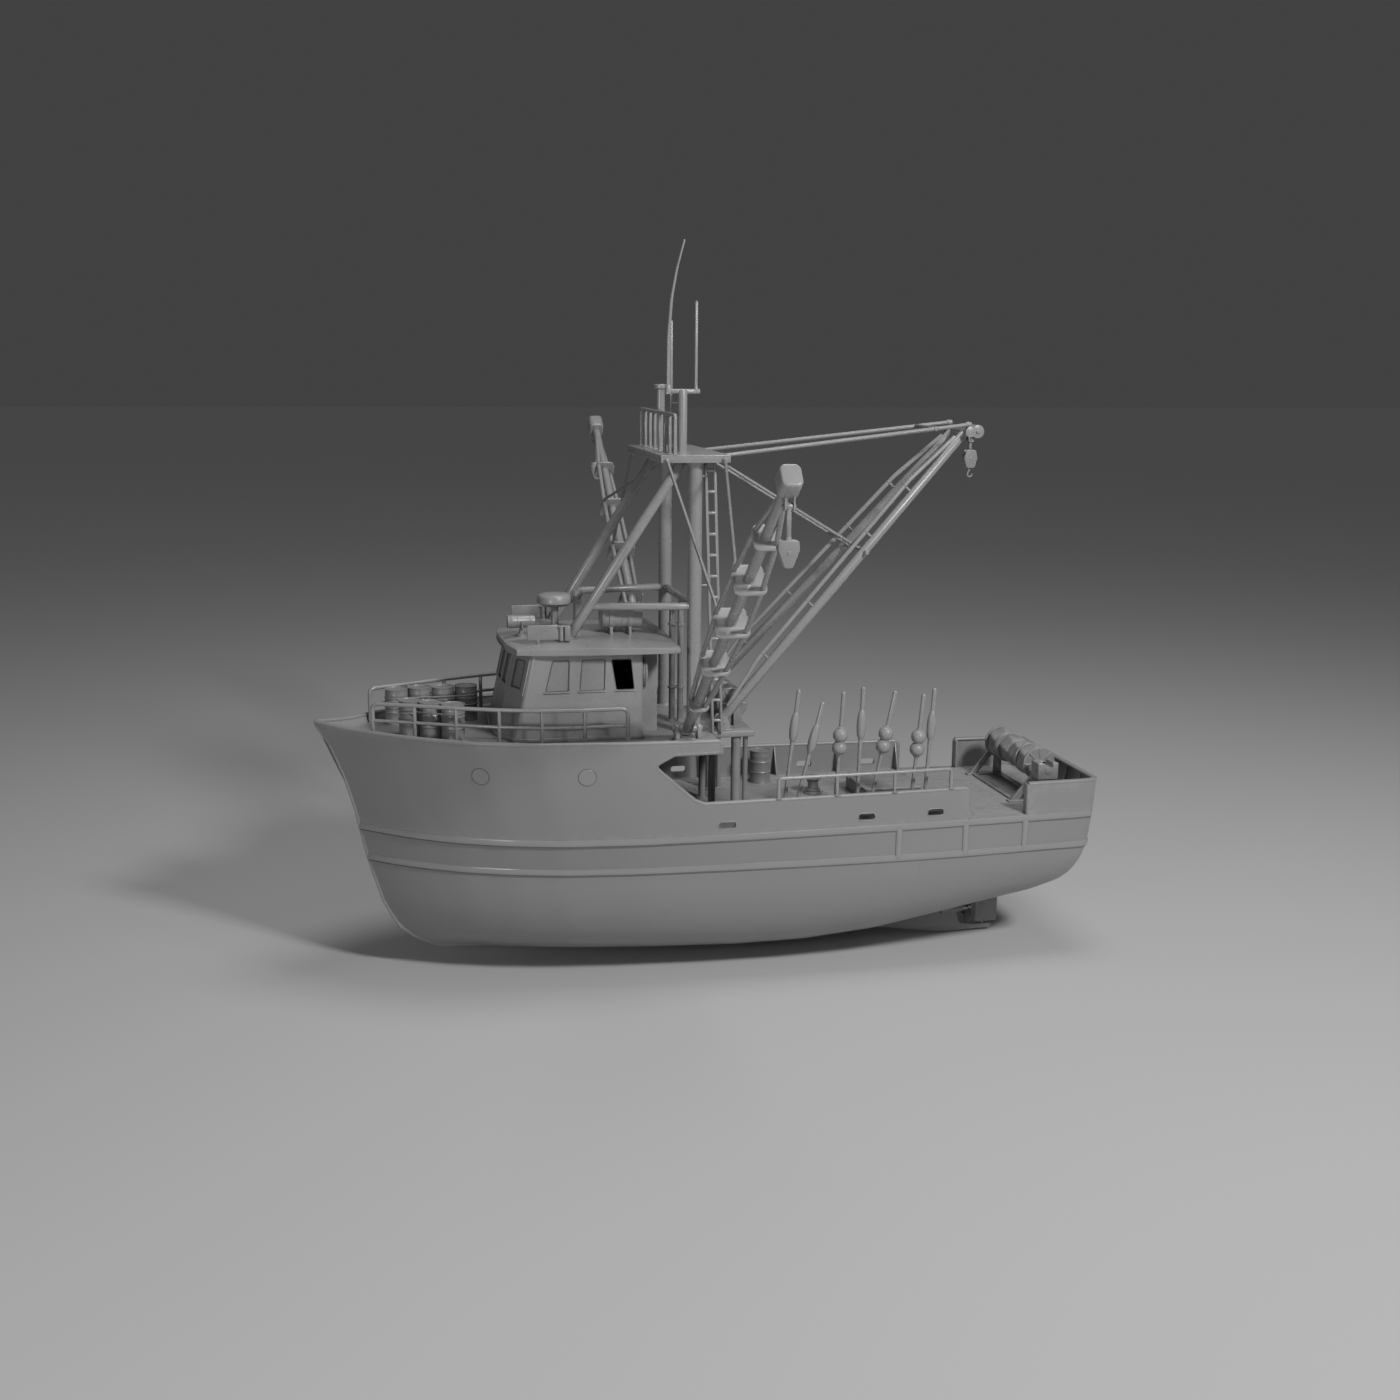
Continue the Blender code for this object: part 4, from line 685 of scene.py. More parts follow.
def roundOutline(points, radius, steps=4):
    # a flat outline with its corners rounded
    count = len(points)
    result = []
    for k in range(count):
        before, corner, after = (Vector((*points[(k + j) % count], 0.0)) for j in (-1, 0, 1))
        rounding = filleted((before, corner, after), radius, steps)
        result += [(point.x, point.y) for point in rounding[1:-1]]
    return result


def taperOutline(middle, low, high, lowHalf, highHalf, radius, steps=4):
    # a rounded outline that stands on a middle and narrows or widens upwards
    return roundOutline([(middle - lowHalf, low), (middle + lowHalf, low), (middle + highHalf, high),
                         (middle - highHalf, high)], radius, steps)


def finer(points, step):
    # adds points so that no span is longer than the step
    result = [Vector(points[0])]
    for before, after in zip(points, points[1:]):
        before, after = Vector(before), Vector(after)
        count = max(1, math.ceil((after - before).length / step))
        result += [before.lerp(after, (k + 1) / count) for k in range(count)]
    return result


def sidePlace(side):
    # turns (x, level, height off the plating) into a point
    near = 0.05

    def place(x, level, height):
        point = sidePoint(x, level, side)
        ahead = sidePoint(x + near, level, side) - point
        above = sidePoint(x, level + near, side) - point
        normal = ahead.cross(above).normalized()
        if normal.y * side < 0:
            normal = -normal
        return point + normal * height
    return place


# Hull below the upper strake, with the keel bar and the skeg
hullDetail = {
    "bottomSteps": 14,
    "sideLevels": (0.52, 0.7, 0.95, 1.2, 1.36, 1.47),
    "deckEdge": (0.05, 1.488),
    "skeg": ((-3.6, -1.7), (-3.6, -2.02), (-5.1, -2.2), (-6.64, -2.43), (-7.56, -2.4), (-8.05, -2.4),
             (-8.05, -2.26), (-7.56, -2.26), (-7.15, -2.2), (-7.02, -1.72), (-6.95, -1.2)),
    "skegHalf": 0.09, "shaft": (-7.2197, 0, -1.78),
    "boss": ((0, 0), (0.1, 0), (0.13, 0.02), (0.13, 0.14), (0.15, 0.16), (0.15, 0.24), (0.17, 0.62),
             (0, 0.66)),
    # where the keel bar is held: levels down the stem, then fractions of the length aft of the forefoot
    "stemMarks": (3.98, 3.52, 3.1, 2.68, 2.2, 1.78, 1.37, 0.95, 0.56, 0.2, -0.2, -0.58, -0.95, -1.26, -1.55),
    "forefoot": (6.84, 0, -1.8), "keelMarks": (0.94, 0.9, 0.84, 0.78, 0.7, 0.62, 0.54, 0.46, 0.38, 0.32),
    "keelBar": (0.13, 0.11, 0.035), "keelSink": 0.015,
}


def hullSection(fraction):
    keel = readTable(hullForm["stations"], fraction, 1)
    fullness = readTable(hullForm["stations"], fraction, 5)
    top = hullDetail["sideLevels"][0]
    breadth = sideY(fraction, top)
    points = []
    for step in range(hullDetail["bottomSteps"] + 1):
        angle = math.pi / 2 * step / hullDetail["bottomSteps"]
        points.append((breadth * math.sin(angle) ** (2 / fullness),
                       top - (top - keel) * math.cos(angle) ** (2 / 2.1)))
    points += [(sideY(fraction, level), level) for level in hullDetail["sideLevels"][1:]]
    inset, level = hullDetail["deckEdge"]
    points.append((max(sideY(fraction, level) - inset, 0.01), level))
    return [Vector((along(fraction, z), y, z)) for y, z in points]


def mirrored(points):
    return [Vector((point.x, -point.y, point.z)) for point in points]


def addHull():
    rows = []
    for fraction in fineFractions():
        port = hullSection(fraction)
        rows.append(mirrored(port[:0:-1]) + port)
    body = skinPart(rows, caps=False)
    body.verts.ensure_lookup_table()
    count = len(rows[0])
    for start in (0, len(rows) * count - count):
        for k in range(count // 2):
            ring = (start + k, start + k + 1, start + count - 2 - k, start + count - 1 - k)
            body.faces.new([body.verts[j] for j in dict.fromkeys(ring)])
    half = hullDetail["skegHalf"]
    skeg = prismPart(hullDetail["skeg"], -half, half, "Y", 0.03, 3)
    boss = turnedPart(hullDetail["boss"], 28, hullDetail["shaft"], "X")
    keelPath = [(along(1.0, level), 0, level) for level in hullDetail["stemMarks"]]
    keelPath.append(hullDetail["forefoot"])
    for fraction in hullDetail["keelMarks"]:
        level = readTable(hullForm["stations"], fraction, 1)
        keelPath.append((along(fraction, level), 0, level + hullDetail["keelSink"]))
    bar = sweepPart(keelPath, rounded(*hullDetail["keelBar"]), (0, 1, 0))
    addPiece("hull", [body, skeg, boss], "hullPaint", ("hull",))
    addPiece("keelBar", [bar], "hullPaint")


# Topsides: one plate each side from the upper strake to the rim, open under the shelter deck
topsides = {
    "levels": (1.44, 1.62, 1.85, 2.1, 2.32, 2.55, 2.8, 3.05, 3.3, 3.52, 3.75),
    "bead": 0.058, "beadLift": 0.052,
    # the middle of the rolled edge round the opening, as x and level, and where it is held at the bow
    "edge": ((-6.205, 1.5), (-6.205, 2.268), (0.61, 2.268), (0.87, 2.372), (1.905, 3.295), (1.4, 3.56),
             (0.245, 3.56), (0.245, 3.83)),
    "rimMarks": (1.0, 2.0, 3.0, 4.0, 4.6, 5.0, 5.3, 5.6, 6.0, 6.5, 7.0, 7.5, 8.0, 8.4, 8.8, 9.1, 9.35, 9.52,
                 9.62),
    "slots": (0.05, -3.5, -5.32), "slotLevel": 1.72, "slotSize": (0.42, 0.17, 0.07),
    "portholes": ((5.92, 3.1), (3.47, 3.09)),
    "ribs": (-4.36, -6.15, -7.79), "knees": (-2.64, -4.4, -6.1),
    "knee": ((0, 1.5003), (0.3, 1.5003), (0.3, 1.56), (0.03, 2.24), (0, 2.24)),
}


def edgePath(side):
    # the middle of the rolled edge, from the deck aft up to the bow
    flat = [Vector((x, 0, level)) for x, level in topsides["edge"]]
    rim = [Vector((x, 0, rimLevelAt(x) - topsides["beadLift"])) for x in topsides["rimMarks"]]
    flat = filleted([*flat, *rim], 0.14, 6)
    inset = -hullForm["plate"] / 2
    path = []
    for point in finer(flat, 0.22):
        spot = sidePoint(point.x, point.z, side, inset)
        if spot.y * side > 0.03:
            path.append(spot)
    last = path[-1]
    path.append(Vector((along(1.0, last.z) - 0.02, side * 0.012, last.z)))
    return path


def addTopsides():
    parts = []
    for word, side in bothSides:
        rows = []
        start = fractionAt(-6.6, 1.5)
        for fraction in fineFractions(start, 1.0, 0.018):
            rim = rimLevelAt(along(fraction, 4.0)) - topsides["beadLift"]
            levels = [*topsides["levels"], rim]
            outer = [Vector((along(fraction, level), side * sideY(fraction, level), level))
                     for level in levels]
            inner = [Vector((point.x, side * max(abs(point.y) - hullForm["plate"], 0.0), point.z))
                     for point in outer]
            rows.append(outer + inner[::-1])
        nodes = ("forecastle" if side > 0 else "bulwark_bow", "bulwark_" + word)
        piece = addPiece("topsides" + word.capitalize(), [skinPart(rows)], "hullPaint", nodes)
        # everything aft of and above the rolled edge comes off
        edge = topsides["edge"]
        outline = roundOutline([(-8.0, 1.2), (edge[0][0], 1.2), *edge[1:-1], (edge[-1][0], 4.6), (-8.0, 4.6)],
                               0.14)
        low, high = sorted((1.9 * side, 3.6 * side))
        cutters = [prismPart(outline, low, high, "Y", 0)]
        width, height, radius = topsides["slotSize"]
        for x in topsides["slots"]:
            shape = [(x + a, topsides["slotLevel"] + b) for a, b in rounded(width, height, radius, 5)]
            cutters.append(prismPart(shape, low, high, "Y", 0))
        cutPiece(piece, cutters)
        parts.append(tubePart(edgePath(side), topsides["bead"], 14))
    addPiece("rolledEdge", parts, "hullPaint")


# the strakes' round bar: half its height, how far its middle stands off, and the arc that shows
strake = {"half": 0.085, "lift": 0.018, "sweep": 115, "transomLimit": -9.742}


def addStrakes():
    half, lift, sweep = strake["half"], strake["lift"], math.radians(strake["sweep"])
    section = [(-0.03, -half * 0.6)]
    for k in range(13):
        angle = sweep * (k / 6 - 1)
        section.append((lift + half * math.cos(angle), half * math.sin(angle)))
    section.append((-0.03, half * 0.6))
    parts, sealsAndShadowLines = [], []
    for level in (hullForm["lowerStrake"], hullForm["upperStrake"]):
        marks = fineFractions(0.0, 1.0, 0.018)
        port = [Vector((max(along(mark, level), strake["transomLimit"]), sideY(mark, level), level))
                for mark in marks]
        aft = [Vector((port[0].x, port[0].y * share, level)) for share in (0.66, 0.33, 0.0, -0.33, -0.66)]
        nose = [Vector((port[-1].x + 0.03, 0.0, level))]
        path = nose + mirrored(port[::-1]) + aft[::-1] + port
        parts.append(sweepPart(path, section, closed=True))
        # a thin dark bead below each strake, a painted shadow line where the strake shades the hull
        below = [point - Vector((0, 0, half + 0.01)) for point in path]
        sealsAndShadowLines.append(sweepPart(below, roundSection(0.014, 0.016, 6), closed=True))
    for x in topsides["ribs"]:
        for side in (1, -1):
            levels = [0.6 + 0.1 * k for k in range(9)]
            parts.append(sweepPart([sidePoint(x, level, side, -0.004) for level in levels],
                                   roundSection(0.058, 0.085, 16), (1, 0, 0)))
    addPiece("rubbingStrakes", parts, "strakePaint", ("rubbing_strakes",))
    addPiece("strakeShadowLines", sealsAndShadowLines, "rubberAndShadowLines")


def addSideTrim():
    # blank covers over the portholes, lips round the freeing slots, and the bulwarks' knees
    covers, sealsAndShadowLines, lips, knees = [], [], [], []
    width, height, radius = topsides["slotSize"]
    for side in (1, -1):
        place = sidePlace(side)
        for x, level in topsides["portholes"]:
            centre, normal = place(x, level, 0.004), place(x, level, 1.0) - place(x, level, 0.0)
            covers.append(turnedPart(((0, -0.03), (0.206, -0.03), (0.206, 0.002), (0.198, 0.008), (0, 0.009)),
                                     40, centre, normal))
            # a dark rubber ring round each cover, which also paints the groove's shadow
            sealsAndShadowLines.append(ringPart(place(x, level, 0.0), normal, 0.213, 0.01, 48, 8))
        for x in topsides["slots"]:
            shape = rounded(width + 0.02, height + 0.02, radius + 0.01, 5)
            path = [place(x + a, topsides["slotLevel"] + b, 0.0) for a, b in shape]
            lips.append(sweepPart(path, roundSection(0.014, 0.014, 8), (0, side, 0), closed=True))
        for x in topsides["knees"]:
            y = sidePoint(x, 1.5, side, -0.09).y
            shape = [(y - side * inset, level) for inset, level in topsides["knee"]]
            knees.append(slabPart(shape, x, 0.018, "X", 0.008))
    addPiece("portholeCovers", covers, "hullPaint")
    addPiece("portholeSealsAndShadows", sealsAndShadowLines, "rubberAndShadowLines")
    addPiece("slotLips", lips, "hullPaint")
    addPiece("bulwarkKnees", knees, "hullPaint")
    ladder = []
    for x in (-0.62, -0.94):
        y = sidePoint(x, 2.1, -1, -0.05).y
        ladder.append(tubePart(filleted(((x, -2.45, 1.5003), (x, -2.45, 3.1), (x, y + 0.06, 3.22)), 0.12),
                               0.028, 10))
        ladder.append(rodPart((x, -2.45, 2.1), (x, y, 2.1), 0.022, 10))
    for k in range(5):
        ladder.append(rodPart((-0.62, -2.45, 1.75 + 0.3 * k), (-0.94, -2.45, 1.75 + 0.3 * k), 0.02, 10))
    addPiece("sideLadder", ladder, "rigPaint")


sternBulwark = {"fore": -7.85, "levels": (1.44, 1.7, 2.0, 2.25), "rim": 2.275, "return": 0.26}


def sternLoop(level, inset):
    # plan of the stern at a level, port side first, moved inboard
    start = fractionAt(sternBulwark["fore"], level)
    marks = [mark for mark in fineFractions(0.0, start, 0.02)][::-1]
    port = [Vector((along(mark, level), sideY(mark, level), level)) for mark in marks]
    aft = [Vector((port[-1].x, port[-1].y * share, level)) for share in (0.6, 0.2, -0.2, -0.6)]
    loop = port + aft + mirrored(port[::-1])
    moved = []
    for k, point in enumerate(loop):
        run = (loop[min(k + 1, len(loop) - 1)] - loop[max(k - 1, 0)]).normalized()
        moved.append(point + Vector((-run.y, run.x, 0.0)) * inset)
    return moved


def addSternBulwark():
    plate = hullForm["plate"]
    outer = [sternLoop(level, 0.0) for level in sternBulwark["levels"]]
    inner = [sternLoop(level, plate) for level in sternBulwark["levels"]]
    rows = [list(points) for points in zip(*outer, *inner[::-1])]
    rim = sternLoop(sternBulwark["rim"], 0.07)
    parts = [skinPart(rows), sweepPart(rim, rounded(0.16, 0.09, 0.044, 4))]
    for side in (1, -1):
        # the rounded end and the short flange that turns inboard
        x, y = sternBulwark["fore"], sidePoint(sternBulwark["fore"], 1.9, side).y
        parts.append(rodPart((x, y - side * 0.05, 1.48), (x, y - side * 0.05, 2.27), 0.055, 16))
        low, high = sorted((y - side * 0.02, y - side * sternBulwark["return"]))
        parts.append(boxPart((x - 0.035, low, 1.5003), (x + 0.035, high, 2.27), 0.025, 3))
    for y in (-1.6, -0.8, 0.0, 0.8, 1.6):
        parts.append(prismPart([(-9.68, 1.5003), (-9.5, 1.5003), (-9.7, 2.2), (-9.74, 2.2)], y - 0.015,
                               y + 0.015,
                               "Y", 0.006))
    addPiece("sternBulwark", parts, "hullPaint", ("bulwark_stern",))


def addDecks():
    # plank lines on the main deck
    boards, pitch, gap = [], 0.17, 0.016
    for k in range(-15, 15):
        low, high = k * pitch + gap / 2, (k + 1) * pitch - gap / 2
        reach = max(abs(low), abs(high)) + 0.13
        aft = -9.64
        while sideY(fractionAt(aft, 1.5), 1.5) < reach:
            aft += 0.02
        shift = (k % 4) * 1.1
        ends = [aft] + [x for x in (-7.6 + shift, -3.4 + shift) if x > aft + 0.4] + [1.94]
        for start, stop in zip(ends, ends[1:]):
            boards.append(boxPart((start + 0.004, low, 1.468), (stop - 0.004, high, 1.4997), 0.005, 1))
    addPiece("deckPlanks", boards, "deckWood")
    # fore deck with the shelter deck aft of it, and the beams below
    rows = []
    for mark in fineFractions(fractionAt(0.245, 3.75), 0.992, 0.025):
        x = along(mark, 3.75)
        low = hullForm["shelterUnder"] if x < 2.2 else 3.68
        breadth = max(sideY(mark, 3.75) - 0.04, 0.01)
        lower = max(sideY(fractionAt(x, low), low) - 0.04, 0.01)
        top = [Vector((x, breadth * share, 3.7497)) for share in (-1, -0.33, 0.33, 1)]
        rows.append([*top, Vector((x, lower, low)), Vector((x, -lower, low))])
    deck = skinPart(rows)
    half = sidePoint(0.22, 3.6, 1, -0.03).y
    face = boxPart((0.19, -half, 3.51), (0.26, half, 3.7497), 0.018, 3)
    beams = [boxPart((x - 0.03, -2.62, 3.4), (x + 0.03, 2.62, 3.52), 0.01) for x in (0.75, 1.35)]
    addPiece("foreDeck", [deck, face, *beams], "deckPaint", ("shelter_deck",))
    # bulkhead under the shelter deck, with stiffeners and a weathertight door
    wall = [boxPart((1.93, -2.62, 1.46), (1.99, 2.62, 3.56), 0.004, 1)]
    for y in (-2.2, -1.65, -0.2, 0.35, 0.9, 1.45, 2.0):
        wall.append(boxPart((1.87, y - 0.012, 1.5), (1.94, y + 0.012, 3.5), 0.004, 1))
        wall.append(boxPart((1.865, y - 0.03, 1.5), (1.877, y + 0.03, 3.5), 0.004, 1))
    addPiece("bulkhead", wall, "hullPaint")
    place = lambda y, level, height: Vector((1.93 - height, y, level))
    shape = [(-0.95 + a, 2.45 + b) for a, b in rounded(0.74, 1.62, 0.16, 6)]
    inner = [(-0.95 + a, 2.45 + b) for a, b in rounded(0.62, 1.5, 0.12, 6)]
    door = [platePart(shape, place, -0.01, 0.035, 0.012), platePart(inner, place, 0.0, 0.06, 0.02)]
    for level in (1.95, 2.45, 2.95):
        door.append(boxPart((1.84, -0.66, level - 0.02), (1.91, -0.58, level + 0.02), 0.008))
        door.append(rodPart((1.865, -1.3, level - 0.06), (1.865, -1.3, level + 0.06), 0.02, 12))
    addPiece("bulkheadDoor", door, "housePaint")


def railParts(posts, foot, top, middles, radius, corner=0.16):
    # the end posts bend over into the top rail
    first, last = posts[0], posts[-1]
    path = [(*first, foot), *[(x, y, top) for x, y in posts], (*last, foot)]
    parts = [tubePart(filleted(path, corner, 6), radius, 12)]
    for x, y in posts[1:-1]:
        parts.append(rodPart((x, y, foot), (x, y, top), radius * 0.92, 12))
        parts.append(weldPart((x, y, top - radius * 0.85), (0, 0, 1), radius * 0.92, 0.008))
    for level in middles:
        parts.append(tubePart([(x, y, level) for x, y in posts], radius * 0.85, 12))
    for x, y in posts:
        shoe = ((0, 0), (radius * 2.1, 0), (radius * 2.1, 0.008), (radius * 1.2, 0.02), (0, 0.02))
        parts.append(turnedPart(shoe, 20, (x, y, foot)))
    return parts


def addRails():
    posts = ((8.31, 0.91), (7.35, 1.37), (6.41, 1.82), (5.44, 2.22), (4.47, 2.51), (3.47, 2.6), (2.44, 2.59))
    for word, side in bothSides:
        parts = railParts([(x, side * y) for x, y in posts], deckSeat["fore"], 4.63, (4.22,), 0.05)
        addPiece("foreRail" + word.capitalize(), parts, "rigPaint", ("fore_rail_" + word,))
    spots = [(x, sidePoint(x, 2.32, 1, -0.05).y) for x in (-1.23, -2.72, -4.22, -5.72)]
    addPiece("mainRailPort", railParts(spots, 2.305, 2.8, (), 0.048, 0.1), "rigPaint", ("main_rail_port",))


for step in (addHull, addTopsides, addStrakes, addSideTrim, addSternBulwark, addDecks, addRails):
    step()
print("hull and decks dressed")


# Wheelhouse
house = {
    # x and half breadth of each wall corner at the deck and under the roof, and the nose between them
    "plan": ((1.95, 1.95, 1.95, 1.95), (5.03, 1.95, 4.6, 1.9), (5.38, 1.05, 4.94, 1.0)),
    "nose": (5.46, 5.02), "foot": 3.75, "top": 5.8, "wall": 0.08,
    "outside": (3.7, 5.89), "inside": (3.5, 6.1), "doorway": ((1.8, -0.36, 3.85), (2.2, 0.36, 5.55)),
    "sill": 4.96, "head": 5.7, "corner": 0.05, "cut": (1.6, 2.3), "frame": 0.011,
    "pane": (-0.045, -0.022, 0.0),
    # fore and aft edge at the sill, then at the head, and whether it is glazed
    "sideWindows": ((4.3, 3.75, 4.12, 3.72, True), (3.48, 2.88, 3.42, 2.86, True),
                    (2.6, 2.16, 2.72, 2.24, False)),
    # middle and half width of the front windows across the boat, and their lower and upper edge
    "frontWindows": ((0.0, 0.26), (0.66, 0.22), (-0.66, 0.22), (1.42, 0.21), (-1.42, 0.21)),
    "frontEdges": (5.01, 5.66), "frontFrame": 0.016, "frontMiddle": 5.3, "frontCut": (-0.5, 0.3, 0.0),
    # sills: how far past the window, lower and upper edge, then depth, height off the wall, bevel and steps
    "sideSill": (0.04, 4.925, 4.955, (-0.05, 0.045, 0.014, 3)),
    "frontSill": (0.03, 4.975, 5.0, (-0.04, 0.04, 0.01)),
    "columns": (0.36, -0.36, 0.97, -0.97, 1.8, -1.8), "column": (0.045, 4.86, 5.86, (-0.02, 0.03, 0.012, 3)),
    "skirt": (3.8, -0.012, (0.05, 0.1, 0.015)), "roofStep": (5.83, -0.02, (0.06, 0.07, 0.015)),
    # x, half breadth and lift of the roof's edge
    "roofPlan": ((1.1, 2.29, 0.0), (2.0, 2.29, 0.02), (3.2, 2.22, 0.04), (4.3, 2.1, 0.02), (4.97, 1.93, 0.0),
                 (5.1, 1.3, 0.0)),
    "roofEdge": 5.86, "roofCrown": 6.2, "roofThick": 0.13, "roofEase": (0.15, 1.1, 0.25),
    "roofBow": (0.1, 4.5, 0.5),
    "roofLanes": (0.0, 0.21, 0.42, 0.62, 0.8, 0.92, 1.0), "roofRound": (0.058, 5, 40),
    "roofMarks": (1.1, 1.28, 1.6, 2.0, 2.4, 2.8, 3.2, 3.6, 4.0, 4.3, 4.62, 4.86, 4.97, 5.1),
}


def houseRing(level, inset=0.0):
    share = (level - house["foot"]) / (house["top"] - house["foot"])
    port = [((low + (high - low) * share), (lowY + (highY - lowY) * share))
            for low, lowY, high, highY in house["plan"]]
    nose = house["nose"][0] + (house["nose"][1] - house["nose"][0]) * share
    # how much of the inset each corner takes along and across
    shares = ((1, 1), (-0.5, 1), (-1, 0.4))
    ring = [Vector((x + inset * a, y - inset * b, level)) for (x, y), (a, b) in zip(port, shares)]
    ring.append(Vector((nose - inset, 0.0, level)))
    return ring + mirrored(ring[2::-1])


def houseBand(level, inset, section):
    # a bar that runs round the walls
    ring = houseRing(level, inset)
    return sweepPart(finer([*ring, ring[0]], 0.5)[:-1], rounded(*section), closed=True)


def sideWall(side):
    def place(x, level, height):
        aft, fore = houseRing(level)[:2]
        y = aft.y + (fore.y - aft.y) * (x - aft.x) / (fore.x - aft.x)
        return Vector((x, side * (y + height), level))
    return place


def frontWall(y, level, height):
    ring = houseRing(level)
    ends = (ring[3], ring[2]) if abs(y) <= ring[2].y else (ring[2], ring[1])
    point = ends[0].lerp(ends[1], (abs(y) - ends[0].y) / (ends[1].y - ends[0].y))
    run = ends[1] - ends[0]
    normal = Vector((run.y, -run.x, 0.0)).normalized()
    return Vector((point.x + normal.x * height, math.copysign(abs(y) + normal.y * height, y), level))


def roofLevel(x, y):
    plan, (past, ease, least) = house["roofPlan"], house["roofEase"]
    lane = y / readTable(plan, x)
    nearEnd = min(1.0, max(0.0, min(x - plan[0][0], plan[-1][0] + past - x) / ease))
    edge = house["roofEdge"] + house["roofThick"]
    crown = (house["roofCrown"] - edge) * (1 - lane * lane) * (least + (1 - least) * nearEnd)
    return edge + readTable(plan, x, 2) + crown


def flatOutline(left, right, low, high):
    return [(left, low), (right, low), (right, high), (left, high)]


def addWheelhouse():
    outer = softened(skinPart([houseRing(level) for level in house["outside"]]), 0.05, 4, 12)
    walls = addPiece("wheelhouse", [outer], "housePaint", ("wheelhouse",), smooth=30)
    cutters = [skinPart([houseRing(level, house["wall"]) for level in house["inside"]])]
    frames, panes, sills = [], [], []
    bar = roundSection(house["frame"], sides=8)
    thinBar = roundSection(house["frame"], sides=6)
    for foreLow, aftLow, foreHigh, aftHigh, glazed in house["sideWindows"]:
        corners = [(aftLow, house["sill"]), (foreLow, house["sill"]), (foreHigh, house["head"]),
                   (aftHigh, house["head"])]
        shape = roundOutline(corners, house["corner"], 4)
        past, low, high, depth = house["sideSill"]
        for _, side in bothSides:
            place = sideWall(side)
            cutters.append(prismPart(shape, *sorted(side * reach for reach in house["cut"]), "Y", 0))
            frames.append(sweepPart([place(x, level, 0.0) for x, level in shape], bar, (0, side, 0),
                                    closed=True))
            if glazed:
                panes.append(platePart(shape, place, *house["pane"]))
                deep = [place(x, level, house["pane"][1]) for x, level in shape]
                frames.append(sweepPart(deep, thinBar, (0, side, 0), closed=True))
            sills.append(platePart(flatOutline(aftLow - past, foreLow + past, low, high), place, *depth))
    for middle, half in house["frontWindows"]:
        shape = roundOutline(flatOutline(middle - half, middle + half, *house["frontEdges"]), house["corner"],
                             4)
        cutters.append(platePart(shape, frontWall, *house["frontCut"]))
        normal = frontWall(middle, house["frontMiddle"], 1.0) - frontWall(middle, house["frontMiddle"], 0.0)
        frames.append(sweepPart([frontWall(y, level, 0.0) for y, level in shape],
                                roundSection(house["frontFrame"], sides=8), normal, closed=True))
        panes.append(platePart(shape, frontWall, *house["pane"]))
        past, low, high, depth = house["frontSill"]
        sills.append(platePart(flatOutline(middle - half - past, middle + half + past, low, high), frontWall,
                               *depth))
    cutters.append(boxPart(*house["doorway"], 0))
    cutPiece(walls, cutters, 30)
    # the frames are dark rubber, which also paints the shadow line round each window
    addPiece("windowFramesAndShadowLines", frames, "rubberAndShadowLines")
    addPiece("windowPanes", panes, "pane")
    addPiece("windowSills", sills, "housePaint")
    # columns between the front windows, and the skirting
    half, low, high, depth = house["column"]
    trim = [platePart(flatOutline(y - half, y + half, low, high), frontWall, *depth)
            for y in house["columns"]]
    addPiece("wheelhouseTrim", [*trim, houseBand(*house["skirt"])], "housePaint")


def addRoof():
    rows = []
    lanes = [-lane for lane in house["roofLanes"][:0:-1]] + list(house["roofLanes"])
    reach, start, length = house["roofBow"]
    for x in house["roofMarks"]:
        half = readTable(house["roofPlan"], x)
        bow = [reach * (1 - lane * lane) * max(0.0, min(1.0, (x - start) / length)) for lane in lanes]
        upper = [Vector((x + b, half * lane, roofLevel(x, half * lane))) for lane, b in zip(lanes, bow)]
        lower = [Vector((point.x, point.y, house["roofEdge"])) for point in upper]
        rows.append(upper + lower[::-1])
    sheet = softened(skinPart(rows), *house["roofRound"])
    addPiece("wheelhouseRoof", [sheet], "housePaint", ("wheelhouse_roof",), smooth=50)
    addPiece("roofStep", [houseBand(*house["roofStep"])], "housePaint")


# The hinge is the door's x and y; panel and port levels are in the boat's frame, places across from the hinge
companionway = {
    "hinge": (1.405, -0.87), "shell": ((1.44, -1.15, 3.7), (1.95, 1.15, 5.89)),
    "inside": ((1.5, -0.85, 3.6), (2.2, 0.85, 5.66)), "opening": ((1.3, -0.81, 3.87), (1.6, -0.09, 5.52)),
    "middle": (0.42, 4.825), "leaf": ((0.79, 1.45, 0.1, 5), 0.0, 0.034, 0.01), "panelLevel": 4.3,
    "panel": ((0.56, 0.3, 0.05, 4), 0.02, 0.044), "face": 1.4397, "portLevel": 5.14,
    "portRing": (0.15, 0.016, 32, 8), "port": ((0, 0), (0.14, 0), (0.14, 0.008), (0, 0.01)),
    "hinges": (4.1, 5.2),
    "handle": ((1.4, 4.74), (1.345, 4.74), (1.345, 4.62), (1.4, 4.62)), "handleAcross": 0.7,
    "rim": (0.9, 1.56, 0.14, 5), "rimBar": 0.016,
}


